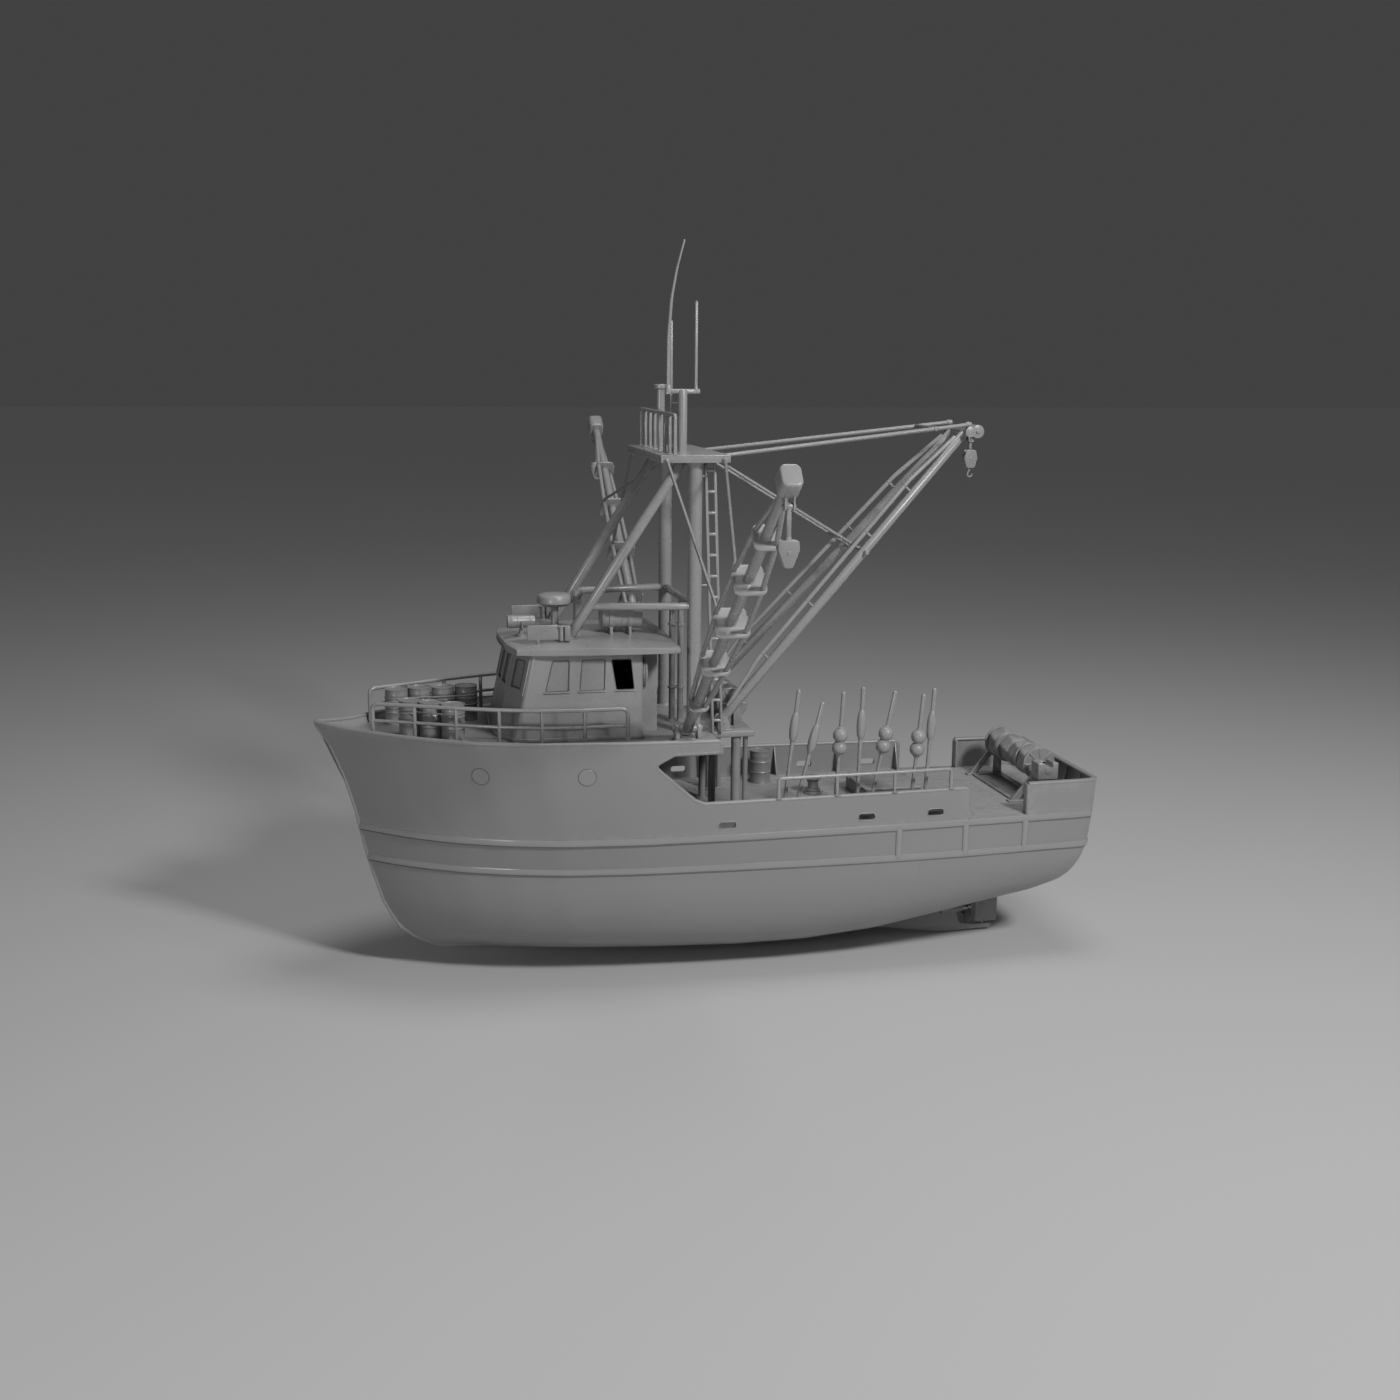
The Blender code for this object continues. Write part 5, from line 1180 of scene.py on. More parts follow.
def addCompanionway():
    x, y = companionway["hinge"]
    across, level = companionway["middle"]
    middle = y + across
    shell = addPiece("companionway", [boxPart(*companionway["shell"], 0.03, 3)], "housePaint",
                     ("companionway",))
    cutPiece(shell, [boxPart(*companionway["inside"], 0), boxPart(*companionway["opening"], 0.05, 3)])
    place = lambda across, level, height: Vector((companionway["face"] - height, across, level))
    size, low, high, edge = companionway["leaf"]
    leaf = [platePart([(middle + a, level + b) for a, b in rounded(*size)], place, low, high, edge)]
    size, low, high = companionway["panel"]
    leaf.append(platePart([(middle + a, companionway["panelLevel"] + b) for a, b in rounded(*size)], place,
                          low, high, 0.012))
    portLevel = companionway["portLevel"]
    leaf.append(ringPart((1.404, middle, portLevel), (1, 0, 0), *companionway["portRing"]))
    leaf.append(turnedPart(companionway["port"], 32, (1.407, middle, portLevel), Vector((-1, 0, 0))))
    for hinge in companionway["hinges"]:
        leaf.append(rodPart((x, y, hinge - 0.08), (x, y, hinge + 0.08), 0.02, 14))
        leaf.append(boxPart((x - 0.008, y, hinge - 0.05), (x + 0.012, y + 0.13, hinge + 0.05), 0.005))
    handle = [(a, y + companionway["handleAcross"], b) for a, b in companionway["handle"]]
    leaf.append(tubePart(filleted(handle, 0.03), 0.01, 10))
    addPiece("companionwayDoor", leaf, "housePaint", ("companionway_door",), "companionway_door")
    path = [Vector((1.44, middle + a, level + b)) for a, b in rounded(*companionway["rim"])]
    rim = sweepPart(path, roundSection(companionway["rimBar"], sides=8), (1, 0, 0), closed=True)
    addPiece("doorCoaming", [rim], "housePaint")


# Gear on the roof. Profiles named foot stand on the roof, the rest are at their own levels.
roofGear = {
    "light": (4.36, 0.62, 6.47), "lightX": 4.7, "lightBands": (4.5, 4.8),
    "lightBody": ((0, 0.0), (0.1, 0.0), (0.145, 0.03), (0.155, 0.1), (0.155, 0.52), (0.162, 0.54),
                  (0.162, 0.6),
                  (0.155, 0.62), (0.158, 0.67), (0.15, 0.68), (0.14, 0.66), (0.06, 0.645), (0, 0.64)),
    "lightFoot": ((0, -0.05), (0.12, -0.05), (0.12, 0.03), (0.1, 0.05), (0.06, 0.07)),
    "yoke": ((0.8, 6.5), (0.8, 6.28), (0.44, 6.28), (0.44, 6.5)),
    "boardY": 1.62, "boardX": 4.1, "lens": (6, 0.02, 0.05), "lensRib": ((0.06, 0), (0.068, 0.022),
                                                                        (0.06, 0.044)),
    "dome": ((0, 6.76), (0.28, 6.76), (0.31, 6.765), (0.425, 6.83), (0.44, 6.845), (0.44, 6.87),
             (0.425, 6.99),
             (0.41, 7.02), (0.35, 7.055), (0.2, 7.078), (0, 7.08)),
    "domePlace": (3.82, 0.15, 0), "domePost": ((0.092, 6.7), (0.13, 6.765), (0, 6.765)),
    "domeFoot": ((0, -0.05), (0.17, -0.05), (0.17, 0.02), (0.115, 0.05), (0.095, 0.1)),
    "ventPlace": (3.28, 0.3, 0), "ventFoot": ((0, -0.05), (0.14, -0.05), (0.14, 0.02), (0.1, 0.04)),
    "vent": ((0.098, 6.86), (0.125, 6.87), (0.125, 6.91), (0.098, 6.92), (0.098, 6.98), (0.13, 7.0),
             (0.14, 7.03),
             (0.13, 7.1), (0.1, 7.145), (0.04, 7.16), (0, 7.16)),
    "raft": (2.32, 0.95, 0.41), "raftEnd": ((0, 0.5), (0.25, 0.5), (0.285, 0.485), (0.305, 0.45)),
    "raftBands": ((-0.26, -0.14), (0.2, 0.32)), "raftBand": (0.308, 0.326, 0.012),
    "raftSeam": ((0.308, -0.02), (0.318, -0.012), (0.318, 0.012), (0.308, 0.02)),
    "raftFeet": (2.12, 2.58), "raftFoot": 0.035,
    "buoy": (1.88, 1.56, 5.3), "buoyRing": (0.305, 0.066, 48, 16), "lashing": (0.064, 0.008, 20, 6),
    "lashings": (-0.02, 0.0, 0.02), "grabLine": (32, 0.375, 0.03, 0.009),
}


def addRoofGear():
    look = roofGear
    x, y, high = look["light"]
    lightX = look["lightX"]
    level = roofLevel(lightX, y)
    yoke = filleted([(lightX, across, rise) for across, rise in look["yoke"]], 0.06)
    foot = [*look["lightFoot"], (0.055, 6.29 - level), (0, 6.29 - level)]
    light = [turnedPart(look["lightBody"], 36, look["light"], "X"), tubePart(yoke, 0.018, 10),
             turnedPart(foot, 24, (lightX, y, level))]
    light += [ringPart((band, y, high), (1, 0, 0), 0.155, 0.007, 36, 6) for band in look["lightBands"]]
    addPiece("searchlight", light, "gearPaint", ("searchlight",))
    # sidelights: a screen board and a lamp with a ribbed lens
    count, first, pitch = look["lens"]
    lens = [(0, 0), (0.062, 0)]
    for k in range(count):
        lens += lifted(look["lensRib"], first + pitch * k)
    lens += [(0.062, 0.33), (0, 0.33)]
    for word, side in bothSides:
        y = side * look["boardY"]
        level = roofLevel(look["boardX"], y)
        parts = [boxPart((3.94, y - 0.024, level + 0.06), (4.68, y + 0.024, level + 0.42), 0.016, 3),
                 boxPart((3.66, y - 0.085, level + 0.03), (3.8, y + 0.1, level + 0.4), 0.02, 3),
                 boxPart((3.78, y - 0.075, level + 0.36), (3.96, y + 0.075, level + 0.4), 0.012),
                 turnedPart(lens, 24, (3.87, y, level + 0.035))]
        parts += [boxPart((x, y - 0.03, level - 0.06), (x + 0.05, y + 0.03, level + 0.09), 0.01)
                  for x in (3.78, 4.4)]
        addPiece("sidelight" + word.capitalize(), parts, "gearPaint", ("sidelight_" + word,))
    x, y = look["domePlace"][:2]
    post = lifted(look["domeFoot"], roofLevel(x, y)) + list(look["domePost"])
    radome = [turnedPart(look["dome"], 48, look["domePlace"]), turnedPart(post, 28, look["domePlace"])]
    addPiece("radome", radome, "plastic", ("radome",))
    x, y = look["ventPlace"][:2]
    vent = lifted(look["ventFoot"], roofLevel(x, y)) + list(look["vent"])
    addPiece("ventPipe", [turnedPart(vent, 32, look["ventPlace"])], "rigPaint", ("vent_pipe",))
    # life raft in its cradle
    x, y, lift = look["raft"]
    level = roofLevel(x, y)
    middle = level + lift
    inner, outer, ease = look["raftBand"]
    bands = [[(inner, near - ease), (outer, near), (outer, far), (inner, far + ease)]
             for near, far in look["raftBands"]]
    profile = [*[(radius, -off) for radius, off in look["raftEnd"]], *bands[0], *look["raftSeam"], *bands[1],
               *look["raftEnd"][::-1]]
    raft = [turnedPart(profile, 44, (x, y, middle), "X")]
    shape = [(0.72, level - 0.06), (1.18, level - 0.06), (1.16, middle - 0.2), (1.06, middle - 0.3),
             (0.84, middle - 0.3), (0.74, middle - 0.2)]
    raft += [slabPart(shape, foot, look["raftFoot"], "X") for foot in look["raftFeet"]]
    addPiece("lifeRaft", raft, "plastic", ("life_raft",))
    # lifebuoy with its lashings and grab line
    centre, radius = Vector(look["buoy"]), look["buoyRing"][0]
    buoy = [ringPart(centre, (1, 0, 0), *look["buoyRing"])]
    for k in range(4):
        angle = math.pi / 4 + math.pi / 2 * k
        across = spokeAt(angle + math.pi / 2, "YZ")
        buoy += [ringPart(centre + spokeAt(angle, "YZ") * radius + across * shift, across, *look["lashing"])
                 for shift in look["lashings"]]
    count, reach, swing, thick = look["grabLine"]
    line = [centre + spokeAt(angle, "YZ") * (reach + swing * abs(math.sin(2 * (angle - math.pi / 4))))
            - Vector((0.01, 0, 0)) for angle in anglesRound(count)]
    buoy.append(sweepPart(line, roundSection(thick, sides=6), (1, 0, 0), closed=True))
    addPiece("lifebuoy", buoy, "plastic", ("lifebuoy",))


for step in (addWheelhouse, addRoof, addCompanionway, addRoofGear):
    step()
print("wheelhouse dressed")


# Mast and rig
rig = {
    # x, half distance and radius of the posts
    "mast": (0.66, 1.74, 0.17), "under": 10.3497, "platformTop": 10.53,
    # aft and fore edge, half breadth and thickness
    "platform": (-0.1, 1.58, 2.16, 0.18),
    "boomFoot": (-0.15, 1.3, 3.98), "boomHead": (-6.62, 0.76, 10.98), "hookEye": (-6.93, 0.0, 10.76),
    "outriggerFoot": (0.93, 2.3, 4.02), "outriggerHead": (0.96, 10.81, 10.54),
    # share of the spar, width and height of each plate
    "plates": ((0.135, 0.44, 0.44), (0.325, 0.62, 0.62), (0.5, 0.72, 0.7), (0.67, 0.66, 0.68),
               (0.825, 0.52, 0.56)),
    "gap": 0.0003,
}
# Taut lines: x on the platform and plate on the spar of each stay; start, end and radius of the others
lines = {
    "stays": (("fore", 1.44, 2), ("aft", 0.04, 3)), "stayInset": 0.1, "stayRadius": 0.04,
    "topping": ((-0.1, 1.11, 10.44), (-6.62, 0.66, 11.16), 0.055),
    "mid": ((-0.08, 0.61, 10.3497), (-3.9, 0.52, 8.05), 0.045),
    "spreaderShare": 0.14, "spreaderPast": 0.07, "spreaderGrowth": 1.05,
    # how far the socket reaches, then start, end, thickness against the wire and sides of each part
    "lug": 0.1, "eye": (-0.05, 0.055, 1.1, 14), "pin": (0.035, 1.5, 0.5, 12),
    "socket": (0.02, 1.45, 16, 1.15),
    "steep": 0.9, "strands": 6, "pitch": 9.0, "stepsPerTurn": 8, "lobe": 0.03, "smooth": 60,
}


def sparBasis(foot, head):
    run = (head - foot).normalized()
    across = Vector((1, 0, 0))
    up = across.cross(run).normalized()
    return run, across, up if up.z > 0 else -up


def rigLines():
    # the two ends and the radius of each taut line, the end on the platform first
    ends = {}
    for word, side in bothSides:
        foot, head = sided(rig["outriggerFoot"], side), sided(rig["outriggerHead"], side)
        across, up = sparBasis(foot, head)[1:]
        for which, x, pick in lines["stays"]:
            share, width, height = rig["plates"][pick]
            start = Vector((x, side * rig["platform"][2], rig["platformTop"] - lines["stayInset"]))
            end = foot.lerp(head, share) + across * (width / 2 - lines["stayInset"]) + up * (height / 2)
            ends["stay_" + word + "_" + which] = (start, end, lines["stayRadius"])
        for kind in ("topping", "mid"):
            start, end, radius = lines[kind]
            ends[kind + "_" + word] = (sided(start, side), sided(end, side), radius)
    return ends


def lugParts(name, end):
    # an eye plate with its pin and a socket for the wire, at the platform (0) or on the spar (1)
    start, stop, radius = rigLines()[name]
    run = (stop - start).normalized() * (1 if end == 0 else -1)
    seat = (start, stop)[end]
    upright = Vector((0, 0, 1)) if abs(run.z) < lines["steep"] else Vector((1, 0, 0))
    flat = run.cross(upright).normalized()
    low, high, eyeGrowth, eyeSides = lines["eye"]
    off, half, pinGrowth, pinSides = lines["pin"]
    near, wide, socketSides, narrow = lines["socket"]
    middle = seat + run * off
    return [rodPart(seat + run * low, seat + run * high, radius * eyeGrowth, eyeSides),
            rodPart(middle - flat * radius * half, middle + flat * radius * half, radius * pinGrowth,
                    pinSides),
            rodPart(seat + run * near, seat + run * lines["lug"], radius * wide, socketSides,
                    radius * narrow)]


def wirePart(name, spare=0.0):
    # a twisted wire: a lobed section that turns along its run
    start, end, radius = rigLines()[name]
    run = (end - start).normalized()
    reach = lines["lug"] + spare
    start, end = start + run * reach, end - run * reach
    across = run.orthogonal().normalized()
    other = run.cross(across)
    length = (end - start).length
    turn = radius * lines["pitch"]
    steps = max(2, math.ceil(length / turn * lines["stepsPerTurn"]))
    strands, lobe = lines["strands"], lines["lobe"]
    rows = []
    for k in range(steps + 1):
        twist = 2 * math.pi * (length * k / steps) / turn / strands * 2
        row = []
        for angle in anglesRound(strands * 3):
            reach = radius * (1 - lobe + lobe * math.cos(strands * angle))
            row.append(start.lerp(end, k / steps) + across * (reach * math.cos(angle + twist))
                       + other * (reach * math.sin(angle + twist)))
        rows.append(row)
    return skinPart(rows)


def addLines():
    for name, (start, end, radius) in rigLines().items():
        if name.startswith("stay"):
            wire = addObject(name.replace("_", ""), [wirePart(name)], "wire", lines["smooth"])
            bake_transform(wire)
            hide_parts(name)
    for kind, node in (("topping", "topping_lifts"), ("mid", "mid_stays")):
        parts = [wirePart(kind + "_" + word, rig["gap"]) for word, _ in bothSides]
        start, end, radius = rigLines()[kind + "_port"]
        x, y, z = end.lerp(start, lines["spreaderShare"])
        y += lines["spreaderPast"]
        parts.append(rodPart((x, -y, z), (x, y, z), radius * lines["spreaderGrowth"], 14))
        wires = addObject(kind + "Lines", parts, "wire", lines["smooth"])
        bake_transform(wires)
        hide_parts(node)


mast = {
    "foot": ((0, 0), (0.3, 0), (0.3, 0.0247), (0.26, 0.0397), (0.185, 0.0497), (0.17, 0.0897)),
    "head": ((0.17, -0.14), (0.22, -0.02), (0.22, 0), (0, 0)), "bolts": (8, 0.235, 3.782, 0.02),
    "legLow": (3.74, 1.36, 6.02), "legHigh": (0.93, 1.55, 10.37), "legRadius": 0.125, "legSink": 0.02,
    "legSeat": ((0, -0.05), (0.25, -0.05), (0.25, 0.02), (0.22, 0.035), (0, 0.035)),
    # level, radius, sides and bead of the braces, their fore end, and where their welds sit
    "brace": (6.9, 0.095, 22, 0.012), "braceFore": (3.16, 1.4), "welds": (0.175, 0.115, 0.165),
}


def addMast():
    x, y = rig["mast"][:2]
    level, thick, sides, bead = mast["brace"]
    count, reach, boltLevel, boltSize = mast["bolts"]
    nearWeld, farWeld, crossWeld = mast["welds"]
    parts = []
    for _, side in bothSides:
        post = lifted(mast["foot"], deckSeat["fore"]) + lifted(mast["head"], rig["under"])
        parts.append(turnedPart(post, 32, (x, side * y, 0)))
        parts += [boltPart(Vector((x, side * y, boltLevel)) + spokeAt(a, "XY") * reach, (0, 0, 1), boltSize)
                  for a in anglesRound(count)]
        low, high = sided(mast["legLow"], side), sided(mast["legHigh"], side)
        seat = low - (high - low).normalized() * mast["legSink"]
        parts.append(rodPart(seat, high, mast["legRadius"], 28))
        parts.append(turnedPart(mast["legSeat"], 28, (low.x + mast["legSink"], low.y,
                                                      roofLevel(low.x, low.y))))
        start, end = Vector((x, side * y, level)), sided((*mast["braceFore"], level), side)
        parts.append(rodPart(start, end, thick, sides))
        run = (end - start).normalized()
        parts += [weldPart(spot, run, thick, bead) for spot in (start + run * nearWeld, end - run * farWeld)]
        parts.append(weldPart((x, side * (y - crossWeld), level), (0, 1, 0), thick, bead))
    parts.append(rodPart((x, -y, level), (x, y, level), thick, sides))
    addPiece("mast", parts, "rigPaint", ("mast",))


platform = {
    "sheet": 0.05, "beamInset": 0.03, "beamHalf": 0.028, "beamTop": 0.02, "beams": (-1.3, -0.45, 0.45, 1.3),
    # x, top, half breadth, spans, bend, radius of the loop and of its posts
    "rail": (1.23, 11.45, 2.09, 7, 0.1, 0.045, 0.042),
    "shoe": ((0, 0), (0.085, 0), (0.085, 0.01), (0.05, 0.022), (0, 0.022)),
}


def addPlatform():
    aft, fore, half, thick = rig["platform"]
    top, inset, beam = rig["platformTop"], platform["beamInset"], platform["beamHalf"]
    low, high = top - thick, top - platform["beamTop"]
    parts = [boxPart((aft, -half, top - platform["sheet"]), (fore, half, top), 0.014, 3)]
    for x in (aft + inset, fore - inset):
        parts.append(padPart((x, 0), (beam, half), low, high, 0.012, 3))
    for y in (-half + inset, *platform["beams"], half - inset):
        parts.append(boxPart((aft, y - beam, low), (fore, y + beam, high), 0.012, 3))
    x, railTop, reach, spans, bend, radius, postRadius = platform["rail"]
    posts = [-reach + 2 * reach * k / spans for k in range(spans + 1)]
    path = [(x, posts[0], high), *[(x, y, railTop) for y in posts], (x, posts[-1], high)]
    parts.append(tubePart(filleted(path, bend, 6), radius, 14))
    parts += [rodPart((x, y, high), (x, y, railTop), postRadius, 14) for y in posts[1:-1]]
    parts += [turnedPart(platform["shoe"], 18, (x, y, top)) for y in posts]
    for name in rigLines():
        parts += lugParts(name, 0)
    addPiece("mastPlatform", parts, "rigPaint", ("mast_platform",))


# Posts on the platform. Profiles above a seat start at it, the rest are at their own levels.
posts = {
    "seat": ((0, 0), (0.18, 0), (0.18, 0.02), (0.12, 0.04), (0.112, 0.08)),
    "cap": ((0.112, 11.96), (0.16, 11.975), (0.172, 11.99), (0.172, 12.065), (0.16, 12.08), (0, 12.08)),
    "capped": (0.86, -1.45, 0), "plain": (0.92, 1.45, 0), "plainTop": ((0.112, 11.99), (0.1, 12.02),
                                                                       (0, 12.02)),
    "yard": ((1.32, 1.45, 11.98), (0.5, 1.45, 11.98), 0.058), "strut": ((1.12, 1.1, 11.7), (0.95, 1.45, 11.7),
                                                                        0.028),
    "stub": ((0, 11.94), (0.06, 11.94), (0.06, 12.03), (0.042, 12.08), (0.038, 12.2), (0.038, 14.03),
             (0.02, 14.06),
             (0, 14.06)),
    "stubPlace": (0.6, 1.45, 0), "slimPlace": (1.12, 1.1, 0),
    "slimSeat": ((0, 0), (0.06, 0), (0.06, 0.12), (0.036, 0.16)),
    "slim": ((0.035, 12.0), (0.03, 13.59), (0.014, 13.62), (0, 13.62)),
    "whip": ((1.27, 1.45, 11.93), (1.26, 1.45, 13.3), (1.2, 1.45, 14.1), (1.07, 1.45, 14.8),
             (0.9, 1.45, 15.42)),
    "whipBend": 3.0, "whipRadius": 0.05, "whipTip": 0.024, "whipBall": 0.026, "whipPlace": (1.27, 1.45, 0),
    "whipFoot": ((0, 11.92), (0.075, 11.92), (0.075, 12.1), (0.055, 12.14), (0, 12.14)),
}


def addPosts():
    top = rig["platformTop"] + rig["gap"]
    seat = lifted(posts["seat"], top)
    addPiece("cappedPost", [turnedPart([*seat, *posts["cap"]], 32, posts["capped"])], "rigPaint",
             ("capped_post",))
    whip = filleted(posts["whip"], posts["whipBend"], 5)
    parts = [turnedPart([*seat, *posts["plainTop"]], 32, posts["plain"]),
             rodPart(*posts["yard"], 18, bevel=0.02),
             turnedPart(posts["stub"], 18, posts["stubPlace"]),
             turnedPart([*lifted(posts["slimSeat"], top), *posts["slim"]], 16, posts["slimPlace"]),
             rodPart(*posts["strut"], 12),
             tubePart(whip, posts["whipRadius"], 14, posts["whipTip"]),
             ballPart(whip[-1], posts["whipBall"], 12),
             turnedPart(posts["whipFoot"], 18, posts["whipPlace"])]
    addPiece("antennas", parts, "rigPaint", ("antennas",))


mastLadder = {
    "foot": (-0.06, 1.68, 3.7503), "headX": 0.18, "width": 0.22, "rail": 0.042, "rung": 0.04, "rungs": 13,
    "firstRung": 0.6, "ties": (4.6, 7.4, 10.0), "tieEnd": (0.56, 1.7), "tie": 0.022,
}


def addLadders():
    foot = Vector(mastLadder["foot"])
    head = Vector((mastLadder["headX"], foot.y, rig["under"]))
    width, count = Vector((mastLadder["width"], 0.0, 0.0)), mastLadder["rungs"]
    parts = [rodPart(foot + shift, head + shift, mastLadder["rail"], 16) for shift in (Vector(), width)]
    for k in range(count):
        place = foot.lerp(head, (k + mastLadder["firstRung"]) / count)
        parts.append(rodPart(place, place + width, mastLadder["rung"], 14))
    for level in mastLadder["ties"]:
        place = foot.lerp(head, (level - foot.z) / (head.z - foot.z))
        parts.append(rodPart(place + width, (*mastLadder["tieEnd"], level), mastLadder["tie"], 10))
    addPiece("mastLadder", parts, "rigPaint", ("mast_ladder",))


exhausts = {
    "pipes": ((0.66, 0.2, 6.8), (0.86, 0.12, 6.6)), "clamps": (4.62, 6.22),
    "foot": ((0, 3.7503), (0.13, 3.7503), (0.13, 3.775), (0.085, 3.79), (0.075, 3.83), (0.075, 4.5)),
    "clamp": ((0.075, -0.03), (0.105, -0.025), (0.105, 0.025), (0.075, 0.03)),
    "mouth": ((0.075, -0.02), (0.066, 0), (0.058, -0.01), (0.055, -0.12), (0, -0.12)),
    "bar": ((0.76, 0.15), (0.14, 0.09), 0.02),
}


def addExhausts():
    parts = []
    for x, y, top in exhausts["pipes"]:
        profile = list(exhausts["foot"])
        for level in exhausts["clamps"]:
            profile += lifted(exhausts["clamp"], level)
        parts.append(turnedPart(profile + lifted(exhausts["mouth"], top), 26, (x, y, 0)))
    middle, reach, half = exhausts["bar"]
    parts += [padPart(middle, reach, level - half, level + half) for level in exhausts["clamps"]]
    addPiece("exhaustPipes", parts, "rigPaint", ("exhaust_pipes",))


def placed(bm, middle, across, up, run):
    turn = Matrix((across, up, run)).transposed().to_4x4()
    bm.transform(Matrix.Translation(middle) @ turn)
    return bm


axes = {"X": Vector((1, 0, 0)), "Y": Vector((0, 1, 0))}


def eyeCheeks(eye, along, sizes):
    # two cheeks with bolts that hold a hanging block by its eye
    cheek, below, lowHalf, highHalf, above, corner, boltOff, bolt = sizes
    middle, level = (eye.y, eye.x) if along == "X" else (eye.x, eye.y)
    shape = taperOutline(middle, eye.z - below, eye.z + above, lowHalf, highHalf, corner)
    parts = []
    for which in (1, -1):
        near, far = sorted((which * (cheek + rig["gap"]), which * (cheek + 0.03)))
        parts.append(prismPart(shape, level + near, level + far, along, 0.006))
        parts.append(boltPart(eye + axes[along] * which * boltOff, axes[along] * which, bolt))
    return parts


def hangingBlock(eye, along, look):
    # two cheeks with a sheave between them, on a strap below the eye's pin
    pin, pinRadius, pinSides = look["pin"]
    low, strap, strapSides = look["strap"]
    pin *= axes[along]
    parts = [rodPart(eye - pin, eye + pin, pinRadius, pinSides),
             rodPart(eye - Vector((0, 0, 0.03)), eye - Vector((0, 0, low)), strap, strapSides)]
    if "socket" in look:
        parts.append(turnedPart(look["socket"], 24, eye))
    near, far, edge, corner = look["shells"]
    for low, high in ((-far, -near), (near, far)):
        plate = prismPart(roundOutline(look["shape"], corner, 5), low, high, "Y", edge, 3)
        plate.transform(Matrix.Translation(eye))
        parts.append(plate)
    drop, sides, radius, half = look["axle"]
    spot, axle = eye - Vector((0, 0, drop)), Vector((0, half, 0))
    return [*parts, turnedPart(look["sheave"], sides, spot, "Y"),
            rodPart(spot - axle, spot + axle, radius, 16)]


def bracketParts(foot, along, sizes):
    # a base plate with two bolted cheeks that carry a spar's pin
    base, side, shift, lowHalf, half = sizes
    x, y, z = foot
    parts = [padPart((x, y), (base, side), deckSeat["fore"], 3.79)]
    middle, level = (y, x) if along == "X" else (x, y)
    shape = taperOutline(middle, 3.77, z + 0.12, lowHalf, 0.1, 0.08, 5)
    for off in (shift, -shift):
        parts.append(slabPart(shape, level + off, half, along))
        parts.append(boltPart(foot + axes[along] * (off + math.copysign(half, off)), axes[along] * off, 0.06))
    return parts


outrigger = {
    "radius": 0.135, "thinning": 0.025, "footGap": 0.02, "sides": 32,
    "plateCorner": 0.12, "plateHalf": 0.026, "lip": 0.033, "lipTop": 0.2, "weldOff": 0.035, "weldBead": 0.014,
    # truss rods: inset from the plates' edges, distances from the two ends, radius, and their welds
    "rodInset": (0.07, 0.11), "rodEnds": (0.25, 0.15), "rod": 0.058, "rodWeld": (0.034, 0.05, 0.009),
    "housing": (0.42, 0.5, 0.13, 6), "housingHalf": 0.23, "housingOff": 0.1, "pin": (0.2197, 0.1, 24),
    "eye": (-0.02, 0.02, -0.41),
    # the eye's cheeks: pin, below, half widths low and high, above, corner, bolt and its size
    "lugs": (0.07, 0.08, 0.09, 0.11, 0.41, 0.05, 0.098, 0.045),
    # the bracket: half length and breadth, cheeks apart, their lower half width and half thickness
    "bracket": (0.34, 0.22, 0.27, 0.18, 0.05),
    "block": {
        "pin": (0.07, 0.07, 24), "strap": (0.66, 0.055, 20), "shells": (0.045, 0.09, 0.012, 0.07),
        "socket": ((0, -0.74), (0.09, -0.74), (0.09, -0.7), (0.075, -0.62), (0.06, -0.56), (0, -0.56)),
        "shape": ((-0.2, -0.62), (0.2, -0.62), (0.21, -0.8), (0.08, -1.14), (-0.08, -1.14), (-0.21, -0.8)),
        "axle": (0.86, 36, 0.045, 0.1),
        "sheave": ((0, -0.042), (0.19, -0.042), (0.19, -0.034), (0.165, -0.012), (0.165, 0.012),
                   (0.19, 0.034),
                   (0.19, 0.042), (0, 0.042)),
    },
}


def outriggerSpar(foot, head):
    run, across, up = sparBasis(foot, head)
    radius, thinning = outrigger["radius"], outrigger["thinning"]
    parts = [rodPart(foot + run * outrigger["footGap"], head, radius, outrigger["sides"], radius - thinning)]
    rods = {1: [], -1: []}
    insetAcross, insetUp = outrigger["rodInset"]
    for share, width, height in rig["plates"]:
        middle = foot.lerp(head, share)
        outline = rounded(width, height, outrigger["plateCorner"], 6)
        plate = slabPart(outline, 0.0, outrigger["plateHalf"], "Z", 0.012, 3)
        rise = height * outrigger["lipTop"]
        lip = [(-width / 2, rise, 0.0), *[(a, b, 0.0) for a, b in outline if b < 0], (width / 2, rise, 0.0)]
        for part in (plate, tubePart(lip, outrigger["lip"], 10)):
            parts.append(placed(part, middle, across, up, run))
        for off in (outrigger["weldOff"], -outrigger["weldOff"]):
            parts.append(weldPart(middle + run * off, run, radius - thinning * share, outrigger["weldBead"]))
        for which in rods:
            corner = across * which * (width / 2 - insetAcross) + up * which * (height / 2 - insetUp)
            rods[which].append(middle + corner)
    nearEnd, farEnd = outrigger["rodEnds"]
    off, weldRadius, bead = outrigger["rodWeld"]
    for spots in rods.values():
        parts.append(tubePart([foot + run * nearEnd, *spots, head - run * farEnd], outrigger["rod"], 16))
        parts += [weldPart(spot + run * off, run, weldRadius, bead) for spot in spots]
    housing = slabPart(rounded(*outrigger["housing"]), 0.0, outrigger["housingHalf"], "Z", 0.05, 5)
    parts.append(placed(housing, head + run * outrigger["housingOff"], across, up, run))
    half, pinRadius, sides = outrigger["pin"]
    parts.append(rodPart(foot - across * half, foot + across * half, pinRadius, sides))
    return parts


